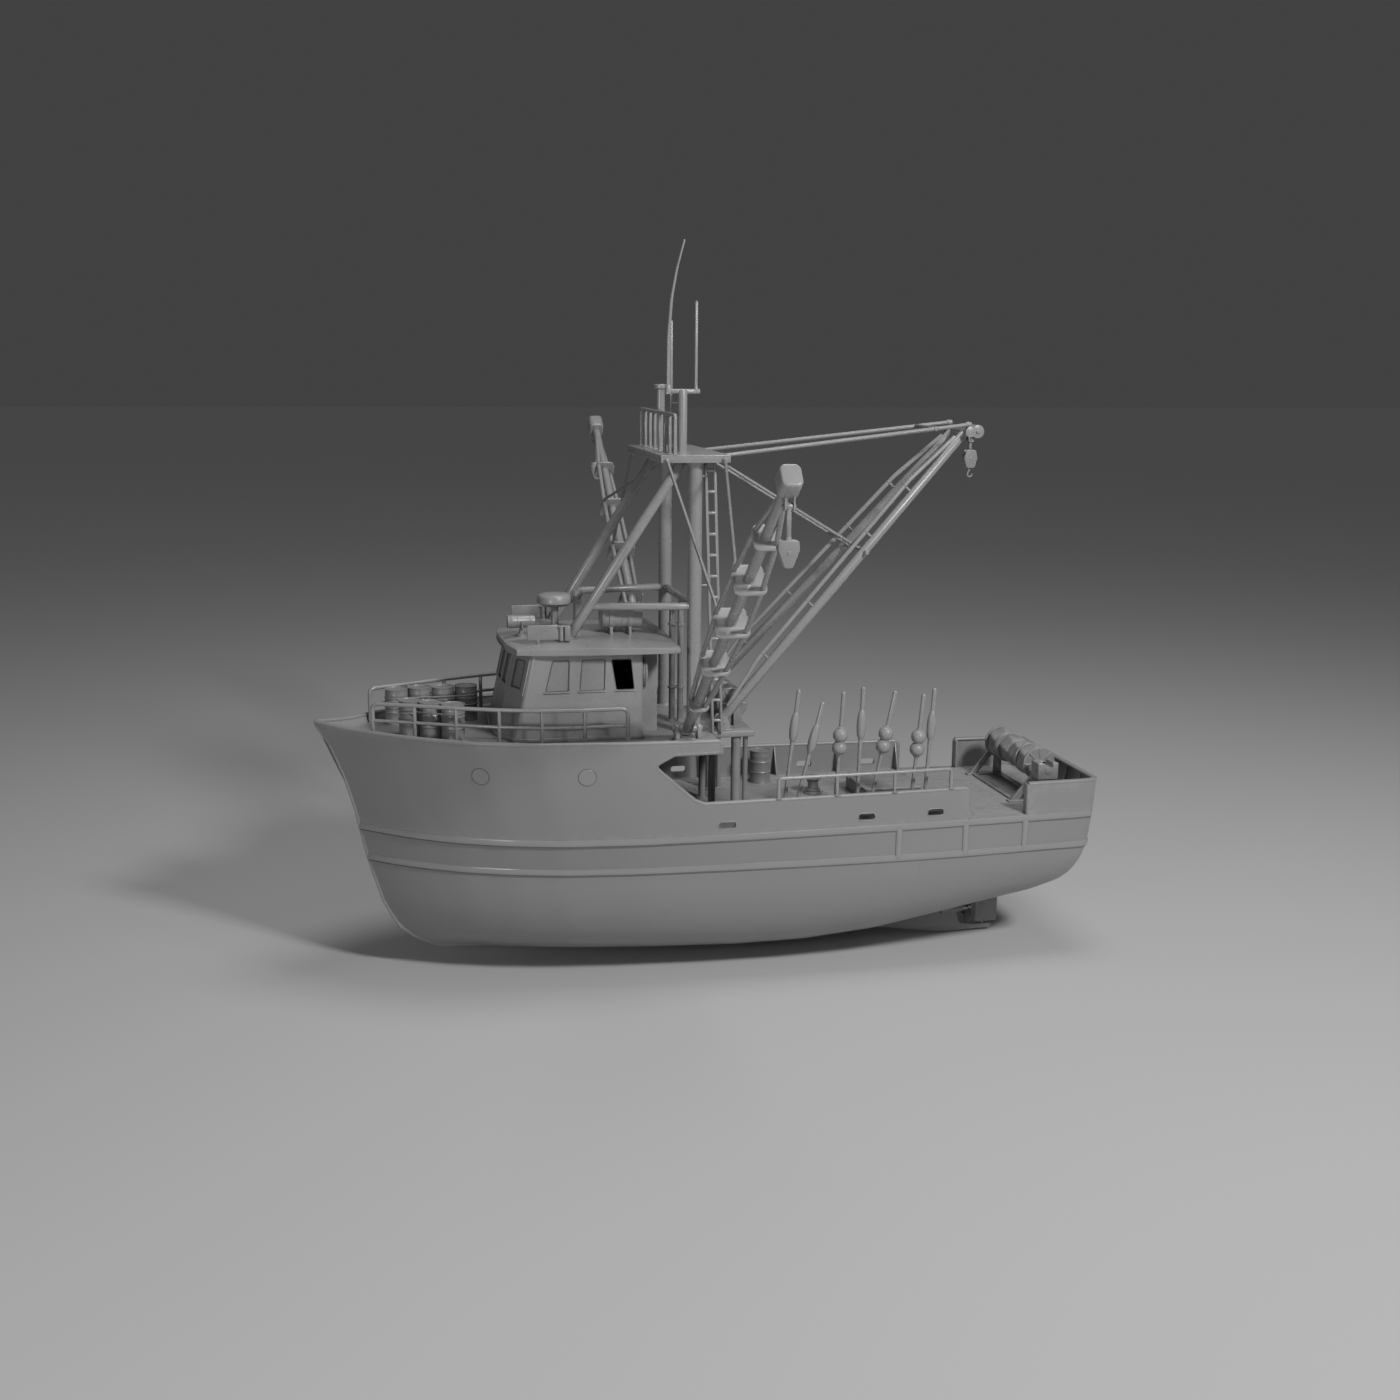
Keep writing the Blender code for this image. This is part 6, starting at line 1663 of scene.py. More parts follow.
def addOutriggers():
    for word, side in bothSides:
        foot, head = sided(rig["outriggerFoot"], side), sided(rig["outriggerHead"], side)
        body, blockBody, ending = "outrigger_" + word, "outrigger_block_" + word, word.capitalize()
        eye = head + sided(outrigger["eye"], side)
        parts = outriggerSpar(foot, head) + eyeCheeks(eye, "X", outrigger["lugs"])
        parts += lugParts("stay_" + word + "_fore", 1) + lugParts("stay_" + word + "_aft", 1)
        addPiece("outrigger" + ending, parts, "rigPaint", (body,), body)
        base = bracketParts(foot, "X", outrigger["bracket"])
        addPiece("outriggerBracket" + ending, base, "rigPaint", ("outrigger_bracket_" + word,))
        block = hangingBlock(eye, "X", outrigger["block"])
        addPiece("outriggerBlock" + ending, block, "gearPaint", (blockBody,), blockBody)


boom = {
    "radius": 0.125, "tipRadius": 0.11, "closing": 0.55, "pin": (0.1497, 0.1, 24),
    # the truss rod above each leg: its direction, distance, ends, bend and radius, then its struts
    "over": (0.72, 0, 0.69), "off": 0.3, "rodEnds": (0.35, 0.1, 0.3, 0.12), "rodSpan": (0.18, 0.8),
    "rodBend": 0.4, "rod": 0.055, "struts": (0.2, 0.38, 0.62, 0.78), "strut": 0.033,
    "strutWeld": (0.125, 0.035, 0.01), "clamp": (0.056, 0.012),
    "spreader": ((-3.9, 1.06, 8.03), 0.055, 18), "headBar": (0.76, 0.11, 28),
    "headBox": ((-7.12, -0.16, 10.84), (-6.55, 0.16, 11.1)), "sheave": ((-7.05, 0.22, 10.96), 0.17, 32),
    "cap": ((0, 0), (0.13, 0), (0.13, 0.03), (0.06, 0.05), (0, 0.05)), "capSide": 0.755,
    "sheaveBolt": (0.218, 0.05),
    "edge": 0.03,
    "lugs": (0.06, 0.07, 0.07, 0.09, 0.15, 0.04, 0.088, 0.036), "bracket": (0.22, 0.26, 0.19, 0.2, 0.04),
    "block": {
        "pin": (0.06, 0.06, 20), "strap": (0.3, 0.045, 18), "shells": (0.05, 0.1, 0.014, 0.06),
        "shape": ((-0.13, -0.26), (0.13, -0.26), (0.18, -0.48), (0.11, -0.72), (-0.11, -0.72),
                  (-0.18, -0.48)),
        "axle": (0.49, 32, 0.04, 0.112),
        "sheave": ((0, -0.045), (0.165, -0.045), (0.14, -0.01), (0.14, 0.01), (0.165, 0.045), (0, 0.045)),
    },
    "hook": ((0, -0.66), (0, -0.78), (0.03, -0.83), (0.045, -0.88), (0.03, -0.935), (-0.02, -0.955),
             (-0.07, -0.93), (-0.085, -0.87)),
    "hookBend": 0.03, "hookRadius": (0.028, 12, 0.018),
}


def boomLeg(side):
    foot = sided(rig["boomFoot"], side)
    x, y, z = rig["boomHead"]
    head = Vector((x, side * y * boom["closing"], z))
    run, over, off = (head - foot).normalized(), Vector(boom["over"]), boom["off"]
    parts = [rodPart(foot, head, boom["radius"], 32, boom["tipRadius"])]
    start, startOff, end, endOff = boom["rodEnds"]
    low, high = (foot.lerp(head, share) + over * off for share in boom["rodSpan"])
    points = (foot + run * start + over * startOff, low, high, head - run * end + over * endOff)
    parts.append(tubePart(filleted(points, boom["rodBend"], 6), boom["rod"], 18))
    weldOff, weldRadius, bead = boom["strutWeld"]
    for share in boom["struts"]:
        at = foot.lerp(head, share)
        parts += [rodPart(at, at + over * off, boom["strut"], 14),
                  weldPart(at + over * weldOff, over, weldRadius, bead),
                  ringPart(at + over * off, run, *boom["clamp"], 20, 6)]
    half, radius, sides = boom["pin"]
    pin = Vector((0, half, 0))
    return [*parts, rodPart(foot - pin, foot + pin, radius, sides)]


def addBoom():
    eye, (x, _, z) = Vector(rig["hookEye"]), rig["boomHead"]
    parts = boomLeg(1) + boomLeg(-1)
    for end, radius, sides in (boom["spreader"], ((x, boom["headBar"][0], z), *boom["headBar"][1:]),
                               boom["sheave"]):
        edge = 0.008 if end == boom["spreader"][0] else boom["edge"]
        parts.append(rodPart(sided(end, -1), end, radius, sides, bevel=edge))
    for kind in ("topping", "mid"):
        for word, side in bothSides:
            parts += lugParts(kind + "_" + word, 1)
    parts.append(boxPart(*boom["headBox"], 0.05, 4))
    off, size = boom["sheaveBolt"]
    for word, side in bothSides:
        parts.append(turnedPart(boom["cap"], 24, (x, side * boom["capSide"], z), Vector((0, side, 0))))
        spot = Vector(boom["sheave"][0])
        spot.y = side * off
        parts.append(boltPart(spot, (0, side, 0), size))
    parts += eyeCheeks(eye, "Y", boom["lugs"])
    addPiece("boom", parts, "rigPaint", ("boom",), "boom")
    for word, side in bothSides:
        base = bracketParts(sided(rig["boomFoot"], side), "Y", boom["bracket"])
        addPiece("boomBracket" + word.capitalize(), base, "rigPaint", ("boom_bracket_" + word,))
    block = hangingBlock(eye, "Y", boom["block"])
    hook = filleted([eye + Vector((a, 0, b)) for a, b in boom["hook"]], boom["hookBend"], 3)
    block.append(tubePart(hook, *boom["hookRadius"]))
    addPiece("hookBlock", block, "gearPaint", ("hook_block",), "hook_block")


for step in (addMast, addPlatform, addPosts, addLadders, addExhausts, addOutriggers, addBoom, addLines):
    step()
print("rig dressed")


# Boom table and winch
table = {
    "top": 3.75, "plan": (-0.92, 0.1897, 1.62), "thick": 0.16,
    # x, y and radius of the legs, and their profile in shares of the radius
    "legs": ((-0.5, 1.42, 0.12), (-0.74, 1.42, 0.065), (-0.5, -1.42, 0.12), (-0.74, -1.42, 0.065),
             (-0.1, 0.55, 0.09), (-0.1, -0.55, 0.09)),
    "leg": ((0, 1.5003), (1.7, 1.5003), (1.7, 1.525), (1.1, 1.545), (1, 1.58), (1, 3.55), (1.35, 3.6),
            (0, 3.6)),
    "bearingSide": 0.87, "beams": (-0.35, 0.35),
}
winch = {
    "middle": (-0.55, 0, 4.27), "core": ((0.0, 0.0), (0.13, 0.0), (0.13, 0.06)),
    "barrel": ((0.16, 0.13), (0.16, 0.73)),
    "flange": (0.15, 0.4, 0.06, 0.015, 0.018), "flanges": (0.06, 0.735),
    "end": ((0.1, 0.802), (0.1, 0.8297), (0.06, 0.8297), (0.06, 0.97), (0.05, 0.98), (0, 0.98)),
    "spokes": 6, "spoke": (0.11, 0.37, 0.018, 10), "spokeLevel": 0.795,
    "wire": (0.122, 0.732, 0.27, 0.013, 0.15),
    # share of a turn and how far the wire bulges there
    "lay": ((0.1, 0.45), (0.3, 0.9), (0.5, 1.0), (0.7, 0.9), (0.9, 0.45)),
}


def addBoomTable():
    top, (aft, fore, half) = table["top"], table["plan"]
    parts = [boxPart((aft, -half, top - table["thick"]), (fore, half, top), 0.035, 4)]
    for x, y, radius in table["legs"]:
        parts.append(turnedPart([(radius * share, level) for share, level in table["leg"]], 28, (x, y, 0)))
    for _, side in bothSides:
        y = side * table["bearingSide"]
        parts.append(slabPart(taperOutline(-0.55, top - 0.02, 4.37, 0.28, 0.09, 0.09, 6), y, 0.04, "Y", 0.012,
                              3))
        parts.append(ringPart((-0.55, y + side * 0.045, 4.27), (0, 1, 0), 0.095, 0.022, 28, 8))
        parts.append(prismPart(flatOutline(-0.565, -0.535, top, 4.12),
                               *sorted((y + side * 0.03, y + side * 0.14)), "Y",
                               0.006))
    parts += [boxPart((-0.9, y - 0.03, top - 0.26), (0.17, y + 0.03, top - 0.14), 0.01)
              for y in table["beams"]]
    addPiece("boomTable", parts, "deckPaint", ("boom_table",))


def flangeProfile(near, core, radius, thick, ease, soft):
    # a drum's flange with eased rims
    return [(core, near), (radius - ease, near + 0.004), (radius, near + soft), (radius, near + thick - soft),
            (radius - ease, near + thick - 0.004), (core, near + thick)]


def woundProfile(low, high, radius, wire, bare):
    # wire laid side by side between two places along a drum
    turns = int((high - low) / (wire * 2))
    step = (high - low) / turns
    laid = [(radius + wire * (lift - 1), low + step * (k + share)) for k in range(turns)
            for share, lift in winch["lay"]]
    return [(bare, low), *laid, (bare, high)]


def spokeParts(centre, count, plane, near, far, radius, sides):
    spokes = [spokeAt(angle, plane) for angle in anglesRound(count)]
    return [rodPart(centre + spoke * near, centre + spoke * far, radius, sides) for spoke in spokes]


def addWinch():
    middle = Vector(winch["middle"])
    first, second = (flangeProfile(near, *winch["flange"]) for near in winch["flanges"])
    core = [*winch["core"], *first, *winch["barrel"], *second, *winch["end"]]
    low, high = winch["wire"][:2]
    wire = [(0, low - 0.001), *woundProfile(*winch["wire"]), (0, high + 0.001)]
    drum, spokes, wound = [], [], []
    for _, side in bothSides:
        facing = Vector((0, side, 0))
        drum.append(turnedPart(core, 48, middle, facing))
        spokes += spokeParts(middle + facing * winch["spokeLevel"], winch["spokes"], "XZ", *winch["spoke"])
        wound.append(turnedPart(wire, 48, middle, facing))
    addPiece("winchDrum", drum + spokes, "gearPaint", ("winch_drum",), "winch_drum")
    addPiece("winchWire", wound, "wire", (), "winch_drum", 60)
    # the seat between the drums stays on the table
    addPiece("winchSeat", [boxPart((-0.8, -0.055, 3.7503), (-0.3, 0.055, 3.87), 0.02)], "gearPaint")


# Deck gear
drums = {
    "sets": (("drumsStarboard", "drums_starboard", ((7.66, -0.84), (7.09, -0.96), (6.51, -0.92),
                                                    (5.93, -0.98)), "fore"),
             ("drumsPort", "drums_port", ((7.4, 0.6), (6.93, 0.93), (6.44, 1.24)), "fore"),
             ("deckDrum", "deck_drum", ((-2.02, -1.9),), "main")),
    "foot": ((0, 0.012), (0.262, 0.012), (0.27, 0.0), (0.284, 0.0), (0.288, 0.01), (0.28, 0.022)),
    "hoop": ((0.28, -0.03), (0.284, -0.015), (0.293, -0.005), (0.295, 0), (0.293, 0.005), (0.284, 0.015),
             (0.28, 0.03)),
    "hoops": (0.3, 0.58), "seam": ((0.28, 0.72), (0.283, 0.73), (0.28, 0.74)),
    "rim": ((0.28, 0.858), (0.288, 0.866), (0.288, 0.877), (0.28, 0.88), (0.27, 0.877), (0.264, 0.858),
            (0, 0.856)),
    # the two bungs: profile, sides and place
    "bungs": ((((0, 0), (0.032, 0), (0.032, 0.01), (0.022, 0.016), (0, 0.016)), 16, (0.17, 0.06, 0.855)),
              (((0, 0), (0.018, 0), (0.018, 0.01), (0, 0.012)), 12, (-0.17, -0.08, 0.855))),
    "lashings": (0.42, 0.66), "lashing": (0.013, 0.02, 8), "lashingReach": 0.288, "lashingSteps": 8,
}


def lashingPath(spots):
    # once round a row of drums
    reach, steps, path = drums["lashingReach"], drums["lashingSteps"], []
    last = len(spots) - 1
    runs = [(spots[min(k + 1, last)] - spots[max(k - 1, 0)]).normalized() for k in range(last + 1)]
    for sign in (1, -1):
        order = list(zip(spots, runs))[::sign]
        for spot, run in order:
            out = Vector((-run.y, run.x, 0.0)) * sign * reach
            for k in range(steps) if spot is order[-1][0] else (0,):
                angle = math.pi / steps * k
                path.append(spot + out * math.cos(angle) + run * sign * reach * math.sin(angle))
    return path


def addDrums():
    profile = list(drums["foot"])
    for level in drums["hoops"]:
        profile += lifted(drums["hoop"], level)
    profile += [*drums["seam"], *drums["rim"]]
    for name, node, places, deck in drums["sets"]:
        spots = [Vector((x, y, deckSeat[deck])) for x, y in places]
        parts = []
        for spot in spots:
            parts.append(turnedPart(profile, 40, spot))
            parts += [turnedPart(bung, sides, spot + Vector(place)) for bung, sides, place in drums["bungs"]]
        addPiece(name, parts, "gearPaint", (node,))
        if len(places) > 1:
            section = roundSection(*drums["lashing"])
            lashing = [sweepPart(lashingPath([spot + Vector((0, 0, level)) for spot in spots]), section,
                                 closed=True)
                       for level in drums["lashings"]]
            addPiece(name + "Lashing", lashing, "wire")


hatch = {
    "aft": -5.62, "fore": -4.1, "half": 0.86, "levels": (1.5003, 1.84), "floor": (1.53, 2.0), "wall": 0.12,
    "bandLevel": 1.8, "band": (0.014, 0.03, 8), "brackets": (-5.2, -4.5), "bracket": (0.12, 1.78, 0.012),
    "lid": (1.8403, 1.9), "lidPast": (0.06, 0.08), "hinges": (-0.5, 0.5), "ribs": (-0.45, 0.0, 0.45),
    "grips": (-0.4, 0.4),
}


def addHatch():
    aft, fore, half = hatch["aft"], hatch["fore"], hatch["half"]
    middle, length, wall = (aft + fore) / 2, fore - aft, hatch["wall"]
    base, topLevel = hatch["levels"]
    outline = [(middle + a, b) for a, b in rounded(length, half * 2, 0.1, 5)]
    inner = [(middle + a, b) for a, b in rounded(length - wall, half * 2 - wall, 0.06, 5)]
    coaming = addPiece("hatchCoaming", [prismPart(outline, base, topLevel, "Z", 0.015, 3)], "deckPaint",
                       ("hatch_coaming",))
    cutPiece(coaming, [prismPart(inner, *hatch["floor"], "Z", 0)])
    band = [Vector((a, b, hatch["bandLevel"])) for a, b in outline]
    stays = [sweepPart(band, roundSection(*hatch["band"]), closed=True)]
    reach, high, thick = hatch["bracket"]
    for x in hatch["brackets"]:
        for _, side in bothSides:
            shape = [(side * half, base), (side * (half + reach), base), (side * half, high)]
            stays.append(slabPart(shape, x, thick, "X", 0.004))
    addPiece("hatchTrim", stays, "deckPaint")
    past, pastSide = hatch["lidPast"]
    top = [(middle - 0.01 + a, b) for a, b in rounded(length + past, half * 2 + pastSide, 0.12, 5)]
    lid = [prismPart(top, *hatch["lid"], "Z", 0.018, 3)]
    lid += [rodPart((fore + 0.04, y - 0.1, 1.87), (fore + 0.04, y + 0.1, 1.87), 0.028, 14)
            for y in hatch["hinges"]]
    lid += [boxPart((aft + 0.1, y - 0.025, 1.895), (fore - 0.1, y + 0.025, 1.908), 0.005)
            for y in hatch["ribs"]]
    for y in hatch["grips"]:
        grip = [(aft + 0.02, y + off, level) for off, level in ((-0.08, 1.895), (-0.08, 1.945), (0.08, 1.945),
                                                                (0.08, 1.895))]
        lid.append(tubePart(filleted(grip, 0.02), 0.009, 8))
    addPiece("hatchLid", lid, "deckPaint", ("hatch_lid",), "hatch_lid")


capstan = {
    "place": (-3.08, -0.43, 0), "bolts": (8, 0.222, 1.534, 0.014), "ribs": 6, "rib": (0.014, 8),
    "base": ((0, 1.5003), (0.24, 1.5003), (0.24, 1.53), (0.21, 1.55), (0.19, 1.58), (0.19, 1.5997),
             (0, 1.5997)),
    "head": ((0, 1.6003), (0.2, 1.6003), (0.205, 1.61), (0.195, 1.625), (0.15, 1.65), (0.132, 1.7),
             (0.128, 1.76),
             (0.132, 1.82), (0.16, 1.87), (0.225, 1.905), (0.24, 1.92), (0.24, 1.955), (0.225, 1.967),
             (0.1, 1.975),
             (0.09, 1.98), (0, 1.98)),
    "ribPath": ((0.142, 1.66), (0.13, 1.72), (0.13, 1.8), (0.165, 1.87)),
}


def addCapstan():
    place, up = Vector(capstan["place"]), Vector((0, 0, 1))
    count, reach, level, size = capstan["bolts"]
    base = [turnedPart(capstan["base"], 40, place)]
    base += [boltPart(place + up * level + spokeAt(a, "XY") * reach, up, size) for a in anglesRound(count)]
    addPiece("capstanBase", base, "gearPaint", ("capstan_base",))
    head = [turnedPart(capstan["head"], 40, place)]
    for angle in anglesRound(capstan["ribs"]):
        path = [place + spokeAt(angle, "XY") * reach + up * level for reach, level in capstan["ribPath"]]
        head.append(tubePart(path, *capstan["rib"]))
    addPiece("capstanHead", head, "gearPaint", ("capstan_head",), "capstan_head")


netDrum = {
    "x": -8.72, "level": 2.44, "cheeks": (-1.51, 1.36), "half": 0.045,
    # where each flange starts and its radius
    "flanges": ((-1.42, 0.44), (-0.8, 0.42), (-0.74, 0.4), (0.5, 0.4), (0.56, 0.42), (1.16, 0.44)),
    "flange": (0.08, 0.02, 0.02), "core": 0.2, "spokes": 8, "spokeLevels": (-1.422, 1.242),
    "spoke": (0.12, 0.41, 0.018, 10),
    # the nets' rolls: two ends, radius in the middle and at the ends
    "rolls": ((-1.335, -0.805, 0.43, 0.37), (-0.655, -0.09, 0.36, 0.3), (-0.07, 0.495, 0.36, 0.3),
              (0.645, 1.155, 0.43, 0.37)),
    "rollStep": 0.035, "rollSides": 56, "fullness": 0.45, "ridge": (0.008, 0.105), "flats": 6,
    "flatTwist": 0.5,
    "flatReach": (1.06, 1.03), "ripple": (0.005, 11, 19),
}


def rollPart(low, high, middle, ends):
    # a fat roll with flats where the nets pressed on each other, turning a little along it
    x, level, flats = netDrum["x"], netDrum["level"], netDrum["flats"]
    depth, pitch = netDrum["ridge"]
    grow, most = netDrum["flatReach"]
    ripple, around, along = netDrum["ripple"]
    rows, steps = [], max(6, round((high - low) / netDrum["rollStep"]))
    for k in range(steps + 1):
        share = k / steps
        y = low + (high - low) * share
        swell = ends + (middle - ends) * max(math.sin(math.pi * share), 0.0) ** netDrum["fullness"]
        radius = swell + depth * math.sin(2 * math.pi * y / pitch + 0.5)
        row = []
        for angle in anglesRound(netDrum["rollSides"]):
            turn = (angle + netDrum["flatTwist"] * y) % (2 * math.pi / flats) - math.pi / flats
            flat = min(math.cos(math.pi / flats) / math.cos(turn) * grow, most)
            reach = radius * flat + ripple * math.sin(around * angle - along * y)
            row.append((x + reach * math.cos(angle), y, level + reach * math.sin(angle)))
        rows.append(row)
    return skinPart(rows)


def addNetDrum():
    x, level, half = netDrum["x"], netDrum["level"], netDrum["half"]
    lowSeat, highSeat = netDrum["cheeks"][0] + half + rig["gap"], netDrum["cheeks"][1] - half - rig["gap"]
    rims = []
    for near, radius in netDrum["flanges"]:
        rim = flangeProfile(near, netDrum["core"], radius, *netDrum["flange"])
        joined = rims and rims[-1][1] > near - 0.01
        rims += rim[1:] if joined else rim
    core = [(0, -1.6), (0.055, -1.6), (0.06, -1.59), (0.06, lowSeat), (0.1, lowSeat), (0.1, -1.421), *rims,
            (0.1, 1.261), (0.1, highSeat), (0.06, highSeat), (0.06, 1.49), (0.055, 1.5), (0, 1.5)]
    drum = [turnedPart(core, 48, (x, 0, level), "Y")]
    for y in netDrum["spokeLevels"]:
        drum += spokeParts(Vector((x, y, level)), netDrum["spokes"], "XZ", *netDrum["spoke"])
    addPiece("netDrum", drum, "gearPaint", ("net_drum",), "net_drum")
    addPiece("woundNet", [rollPart(*roll) for roll in netDrum["rolls"]], "netting", (), "net_drum", 70)
    # stand and motor
    stand = []
    for y in netDrum["cheeks"]:
        side = -1 if y < 0 else 1
        strut = [(x + 0.62, 1.52), (x + 0.84, 1.52), (x + 0.08, level - 0.03), (x - 0.04, level - 0.12)]
        stand += [slabPart(taperOutline(x, 1.52, level + 0.12, 0.12, 0.085, 0.05, 5), y, half, "Y"),
                  slabPart(roundOutline(strut, 0.03, 4), y, half, "Y"),
                  ringPart((x, y + half * side, level), (0, 1, 0), 0.1, 0.022, 28, 8),
                  boxPart((x - 0.16, y - 0.1, 1.5003), (x + 0.9, y + 0.1, 1.545), 0.012)]
    stand += [boxPart((x + low, -1.5, 1.5003), (x + high, 1.4, 1.55), 0.012)
              for low, high in ((-0.12, 0.06), (0.6, 0.76))]
    addPiece("netDrumStand", stand, "gearPaint", ("net_drum_stand",))
    motor = [boxPart((x - 0.2, 1.52, level - 0.24), (x + 0.36, 1.98, level + 0.2), 0.03, 3)]
    motor = addPiece("netDrumMotor", motor, "gearPaint")
    cutPiece(motor, [boxPart((x - 0.05, 1.4, level + 0.06), (x + 0.21, 2.1, level + 0.4), 0.05, 4)])
    ribs = [boxPart((x - 0.14, 1.41, 1.5003), (x + 0.3, 1.93, level - 0.23), 0.02, 3)]
    ribs += [boxPart((x - 0.16, 1.46 + 0.1 * k, level - 0.62), (x + 0.34, 1.5 + 0.1 * k, level - 0.25), 0.01)
             for k in range(5)]
    ribs.append(rodPart((x + 0.08, 1.95, level), (x + 0.08, 2.0, level), 0.1, 28, bevel=0.012))
    addPiece("motorSeat", ribs, "gearPaint")


propeller = {
    "place": (-7.36, 0, -1.78), "blades": 4, "sides": 14,
    "hub": ((0, -0.165), (0.03, -0.16), (0.065, -0.14), (0.09, -0.08), (0.112, 0.0), (0.115, 0.1),
            (0.1, 0.14),
            (0, 0.14)),
    # a blade by sections out from the hub: reach, half chord, half thickness, pitch in degrees, sweep
    "sections": ((0.06, 0.07, 0.03, 52, 0.0), (0.14, 0.105, 0.024, 44, 0.008), (0.22, 0.135, 0.018, 36, 0.02),
                 (0.3, 0.145, 0.013, 30, 0.036), (0.37, 0.12, 0.009, 26, 0.052),
                 (0.41, 0.075, 0.006, 24, 0.062),
                 (0.425, 0.03, 0.004, 23, 0.066)),
}
rudder = {
    "stock": -7.82, "levels": (-2.215, -1.285), "steps": 8, "fore": 0.22, "aft": -0.42, "rake": 0.02,
    "sides": 24,
    "thick": (0.052, 0.35, 0.65, 0.6), "post": (-2.2597, -1.22, 0.06), "bands": (-1.45, -1.75, -2.05),
    "band": (0.052, 0.014, 24, 8),
}


def addPropeller():
    place = Vector(propeller["place"])
    parts = [turnedPart(propeller["hub"], 36, place, "X")]
    for k in range(propeller["blades"]):
        rows = []
        for reach, chord, thick, pitch, sweep in propeller["sections"]:
            turn = Matrix.Rotation(-math.radians(pitch), 2)
            flat = [Vector((thick * math.sin(a), chord * math.cos(a) + sweep))
                    for a in anglesRound(propeller["sides"])]
            rows.append([Vector((*(turn @ point), reach)) for point in flat])
        blade = skinPart(rows)
        blade.transform(Matrix.Translation(place) @ Matrix.Rotation(math.pi / 2 * k + math.pi / 4, 4, "X"))
        parts.append(blade)
    addPiece("propeller", parts, "bareSteel", ("propeller",), "propeller", 50)


def addRudder():
    stock, (low, high), steps = rudder["stock"], rudder["levels"], rudder["steps"]
    most, least, rest, power = rudder["thick"]
    rows = []
    for k in range(steps + 1):
        fore, aft = rudder["fore"], rudder["aft"] - rudder["rake"] * k / steps
        row = []
        for angle in anglesRound(rudder["sides"]):
            chord = (fore + aft) / 2 + (fore - aft) / 2 * math.cos(angle)
            thick = most * math.sin(angle) * (least + rest * ((chord - aft) / (fore - aft)) ** power)
            row.append((stock + chord, thick, low + (high - low) * k / steps))
        rows.append(row)
    low, high, radius = rudder["post"]
    parts = [skinPart(rows), rodPart((stock, 0, low), (stock, 0, high), radius, 24)]
    parts += [ringPart((stock, 0, level), (0, 0, 1), *rudder["band"]) for level in rudder["bands"]]
    addPiece("rudder", parts, "hullPaint", ("rudder",), "rudder")


buoys = {
    "y": 2.25, "ends": (-6.05, -1.3), "lowRadius": 0.046, "highRadius": 0.056, "ballRadius": 0.188,
    "ballDrops": (1.1, 1.42), "spindleDrop": 1.33, "cross": (-6.03, -4.85, -3.66, -2.48, -1.32),
    # x at the foot and the tip, level of the tip, and what floats on the pole
    "poles": ((-1.56, -1.86, 4.88, "spindle"), (-1.88, -2.48, 4.54, "spindle"), (-2.86, -3.0, 4.78, "balls"),
              (-3.42, -3.5, 4.88, "spindle"), (-3.82, -4.34, 4.75, "balls"), (-4.85, -5.08, 4.65, "balls"),
              (-5.2, -5.36, 4.78, "spindle")),
    "footLean": 0.26, "footLevel": 1.53,
    "collar": ((0, 0.16), (0.08, 0.16), (0.08, 0.195), (0.054, 0.21), (0, 0.21)),
    "spindle": ((0, 0), (0.045, 0.0), (0.062, 0.02), (0.092, 0.1), (0.11, 0.22), (0.116, 0.36), (0.11, 0.5),
                (0.092, 0.64), (0.066, 0.73), (0.052, 0.76), (0, 0.76)),
}


def addBuoyRack():
    y, (aft, fore) = buoys["y"], buoys["ends"]
    rack = [boxPart((aft, y - 0.14, 1.5003), (fore, y + 0.14, 1.54), 0.01)]
    for _, side in bothSides:
        rail = y + side * 0.115
        rack.append(boxPart((aft, rail - 0.025, 1.5003), (fore, rail + 0.025, 1.66), 0.015))
    rack += [padPart((x, y), (0.025, 0.13), 1.51, 1.655) for x in buoys["cross"]]
    addPiece("buoyRack", rack, "plastic", ("buoy_rack",))
    staffs, floats = [], []
    low, high = buoys["lowRadius"], buoys["highRadius"]
    for footX, tipX, tip, kind in buoys["poles"]:
        foot = Vector((footX + (footX - tipX) * buoys["footLean"], y, buoys["footLevel"]))
        end = Vector((tipX, y, tip))
        run, length = (end - foot).normalized(), (end - foot).length
        top = [(high * math.cos(math.pi / 2 * k / 5), length - high + high * math.sin(math.pi / 2 * k / 5))
               for k in range(5)]
        staff = ((0, 0), (low, 0), (low, length * 0.52), (high, length * 0.6), *top, (0, length))
        staffs.append(turnedPart(staff, 18, foot, run))
        if kind == "balls":
            for drop in buoys["ballDrops"]:
                spot = end - run * drop
                floats.append(ballPart(spot, buoys["ballRadius"], 28))
                floats += [turnedPart(buoys["collar"], 18, spot, run * sign) for sign in (1, -1)]
        else:
            floats.append(turnedPart(buoys["spindle"], 24, end - run * buoys["spindleDrop"], run))
    addPiece("buoyStaffs", staffs, "rigPaint")
    addPiece("buoyFloats", floats, "plastic")


for step in (addBoomTable, addWinch, addDrums, addHatch, addCapstan, addNetDrum, addPropeller, addRudder,
             addBuoyRack):
    step()
print("deck gear dressed")


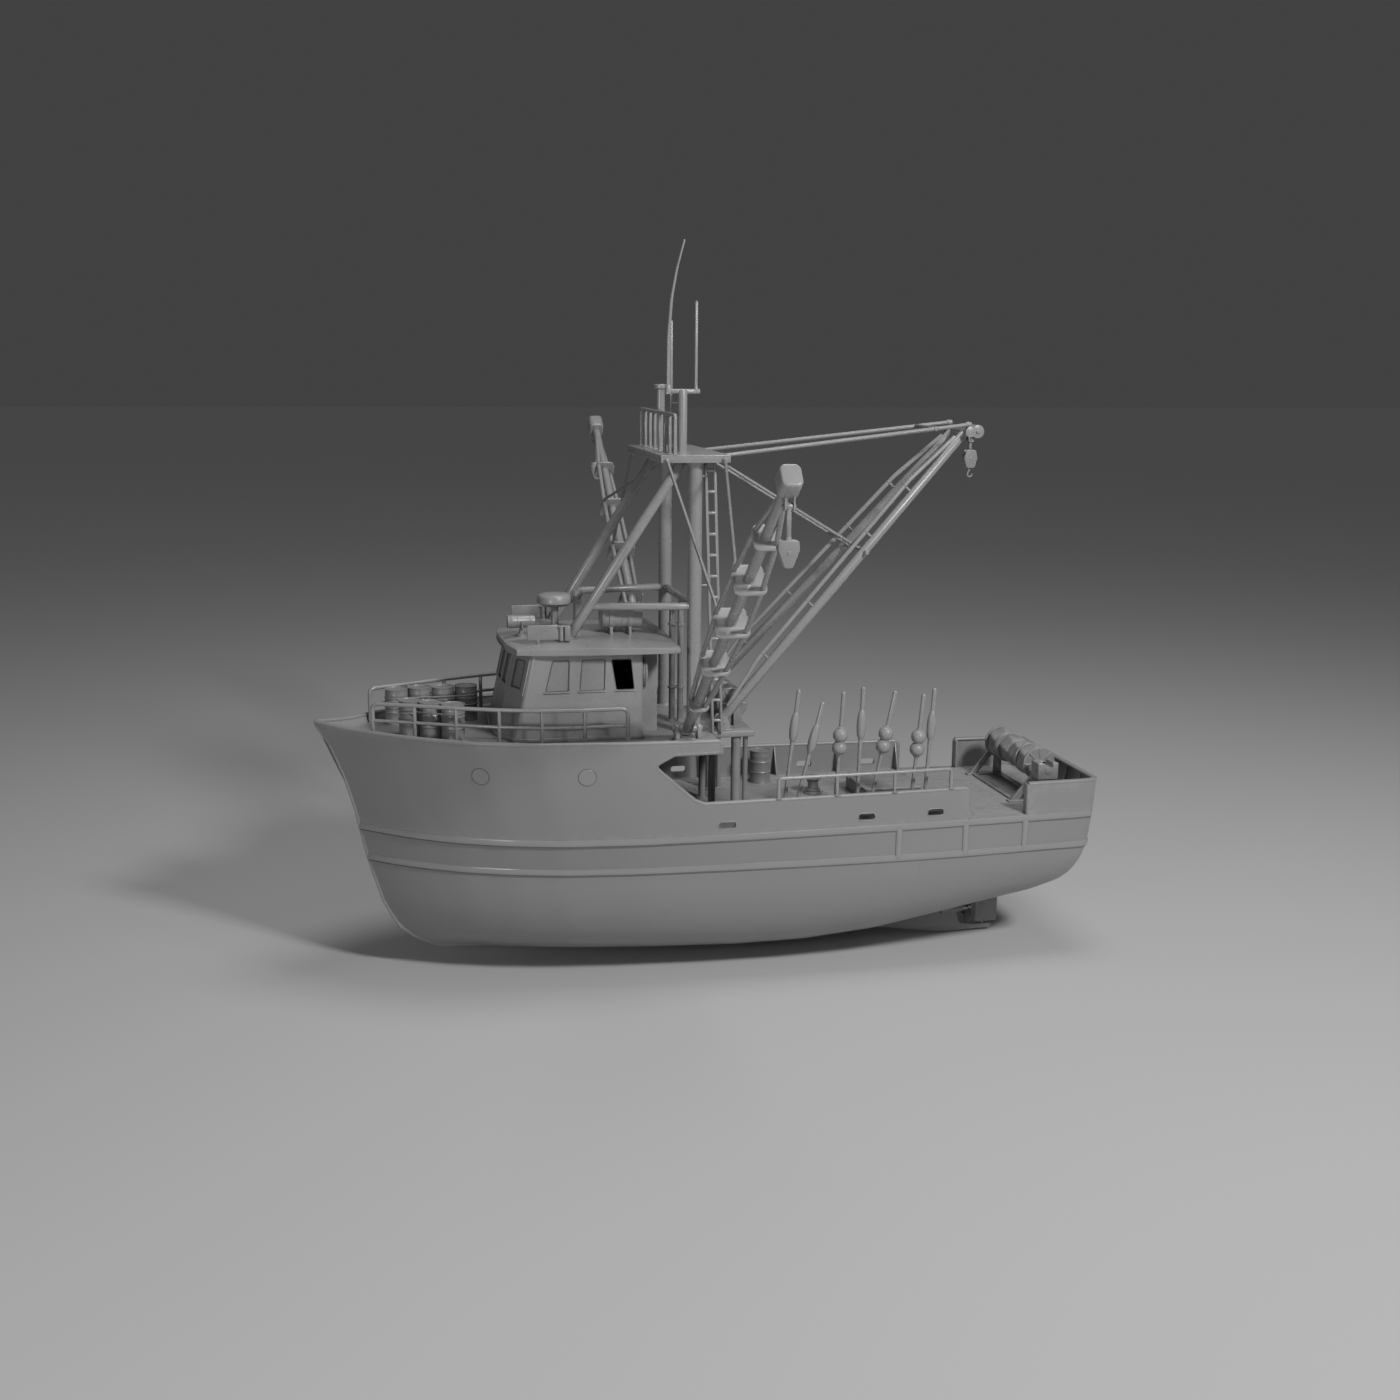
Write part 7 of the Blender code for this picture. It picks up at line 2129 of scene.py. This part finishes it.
# Floor and soft lights
stage = {
    "floorLevel": -2.46, "floorReach": 400.0, "floorShade": 0.56, "floorRough": 0.85, "ambient": 0.11,
    # place, size and power of each lamp; all face the middle of the boat
    "lamps": {
        "key": ((-17, 36, 31), 7, 15800),
        "fill": ((26, 34, 12), 9, 2300),
        "top": ((-6, 4, 44), 18, 6500),
    },
    "middle": (0, 0, 3),
}


def addStage():
    level, reach, shade = stage["floorLevel"], stage["floorReach"], stage["floorShade"]
    material = bpy.data.materials.new("paleFloor")
    material.use_nodes = True
    shader = material.node_tree.nodes["Principled BSDF"]
    shader.inputs["Base Color"].default_value = (shade, shade, shade, 1.0)
    shader.inputs["Roughness"].default_value = stage["floorRough"]
    bm = bmesh.new()
    bmesh.ops.create_grid(bm, x_segments=8, y_segments=8, size=reach)
    bm.transform(Matrix.Translation((0, 0, level)))
    mesh = bpy.data.meshes.new("floor")
    bm.to_mesh(mesh)
    bm.free()
    mesh.materials.append(material)
    floor = bpy.data.objects.new("floor", mesh)
    bpy.context.scene.collection.objects.link(floor)
    world = bpy.data.worlds.new("softWorld")
    world.use_nodes = True
    tree = world.node_tree
    tree.nodes["Background"].inputs["Color"].default_value = (1.0, 1.0, 1.0, 1.0)
    # seen directly, the world is as bright as the far floor, so that no horizon shows
    seen = addNode(tree, "ShaderNodeLightPath").outputs["Is Camera Ray"]
    dimmed = addMath(tree, "MULTIPLY", seen, stage["ambient"] * (1 - shade))
    tree.links.new(addMath(tree, "SUBTRACT", stage["ambient"], dimmed),
                   tree.nodes["Background"].inputs["Strength"])
    bpy.context.scene.world = world


def addLamps():
    for name, (place, size, power) in stage["lamps"].items():
        data = bpy.data.lights.new(name, "AREA")
        data.shape = "DISK"
        data.size = size
        data.energy = power
        light = bpy.data.objects.new(name, data)
        light.location = place
        light.rotation_euler = (Vector(stage["middle"]) - Vector(place)).to_track_quat("-Z", "Y").to_euler()
        bpy.context.scene.collection.objects.link(light)


addStage()
addLamps()
print("stage and lights set")
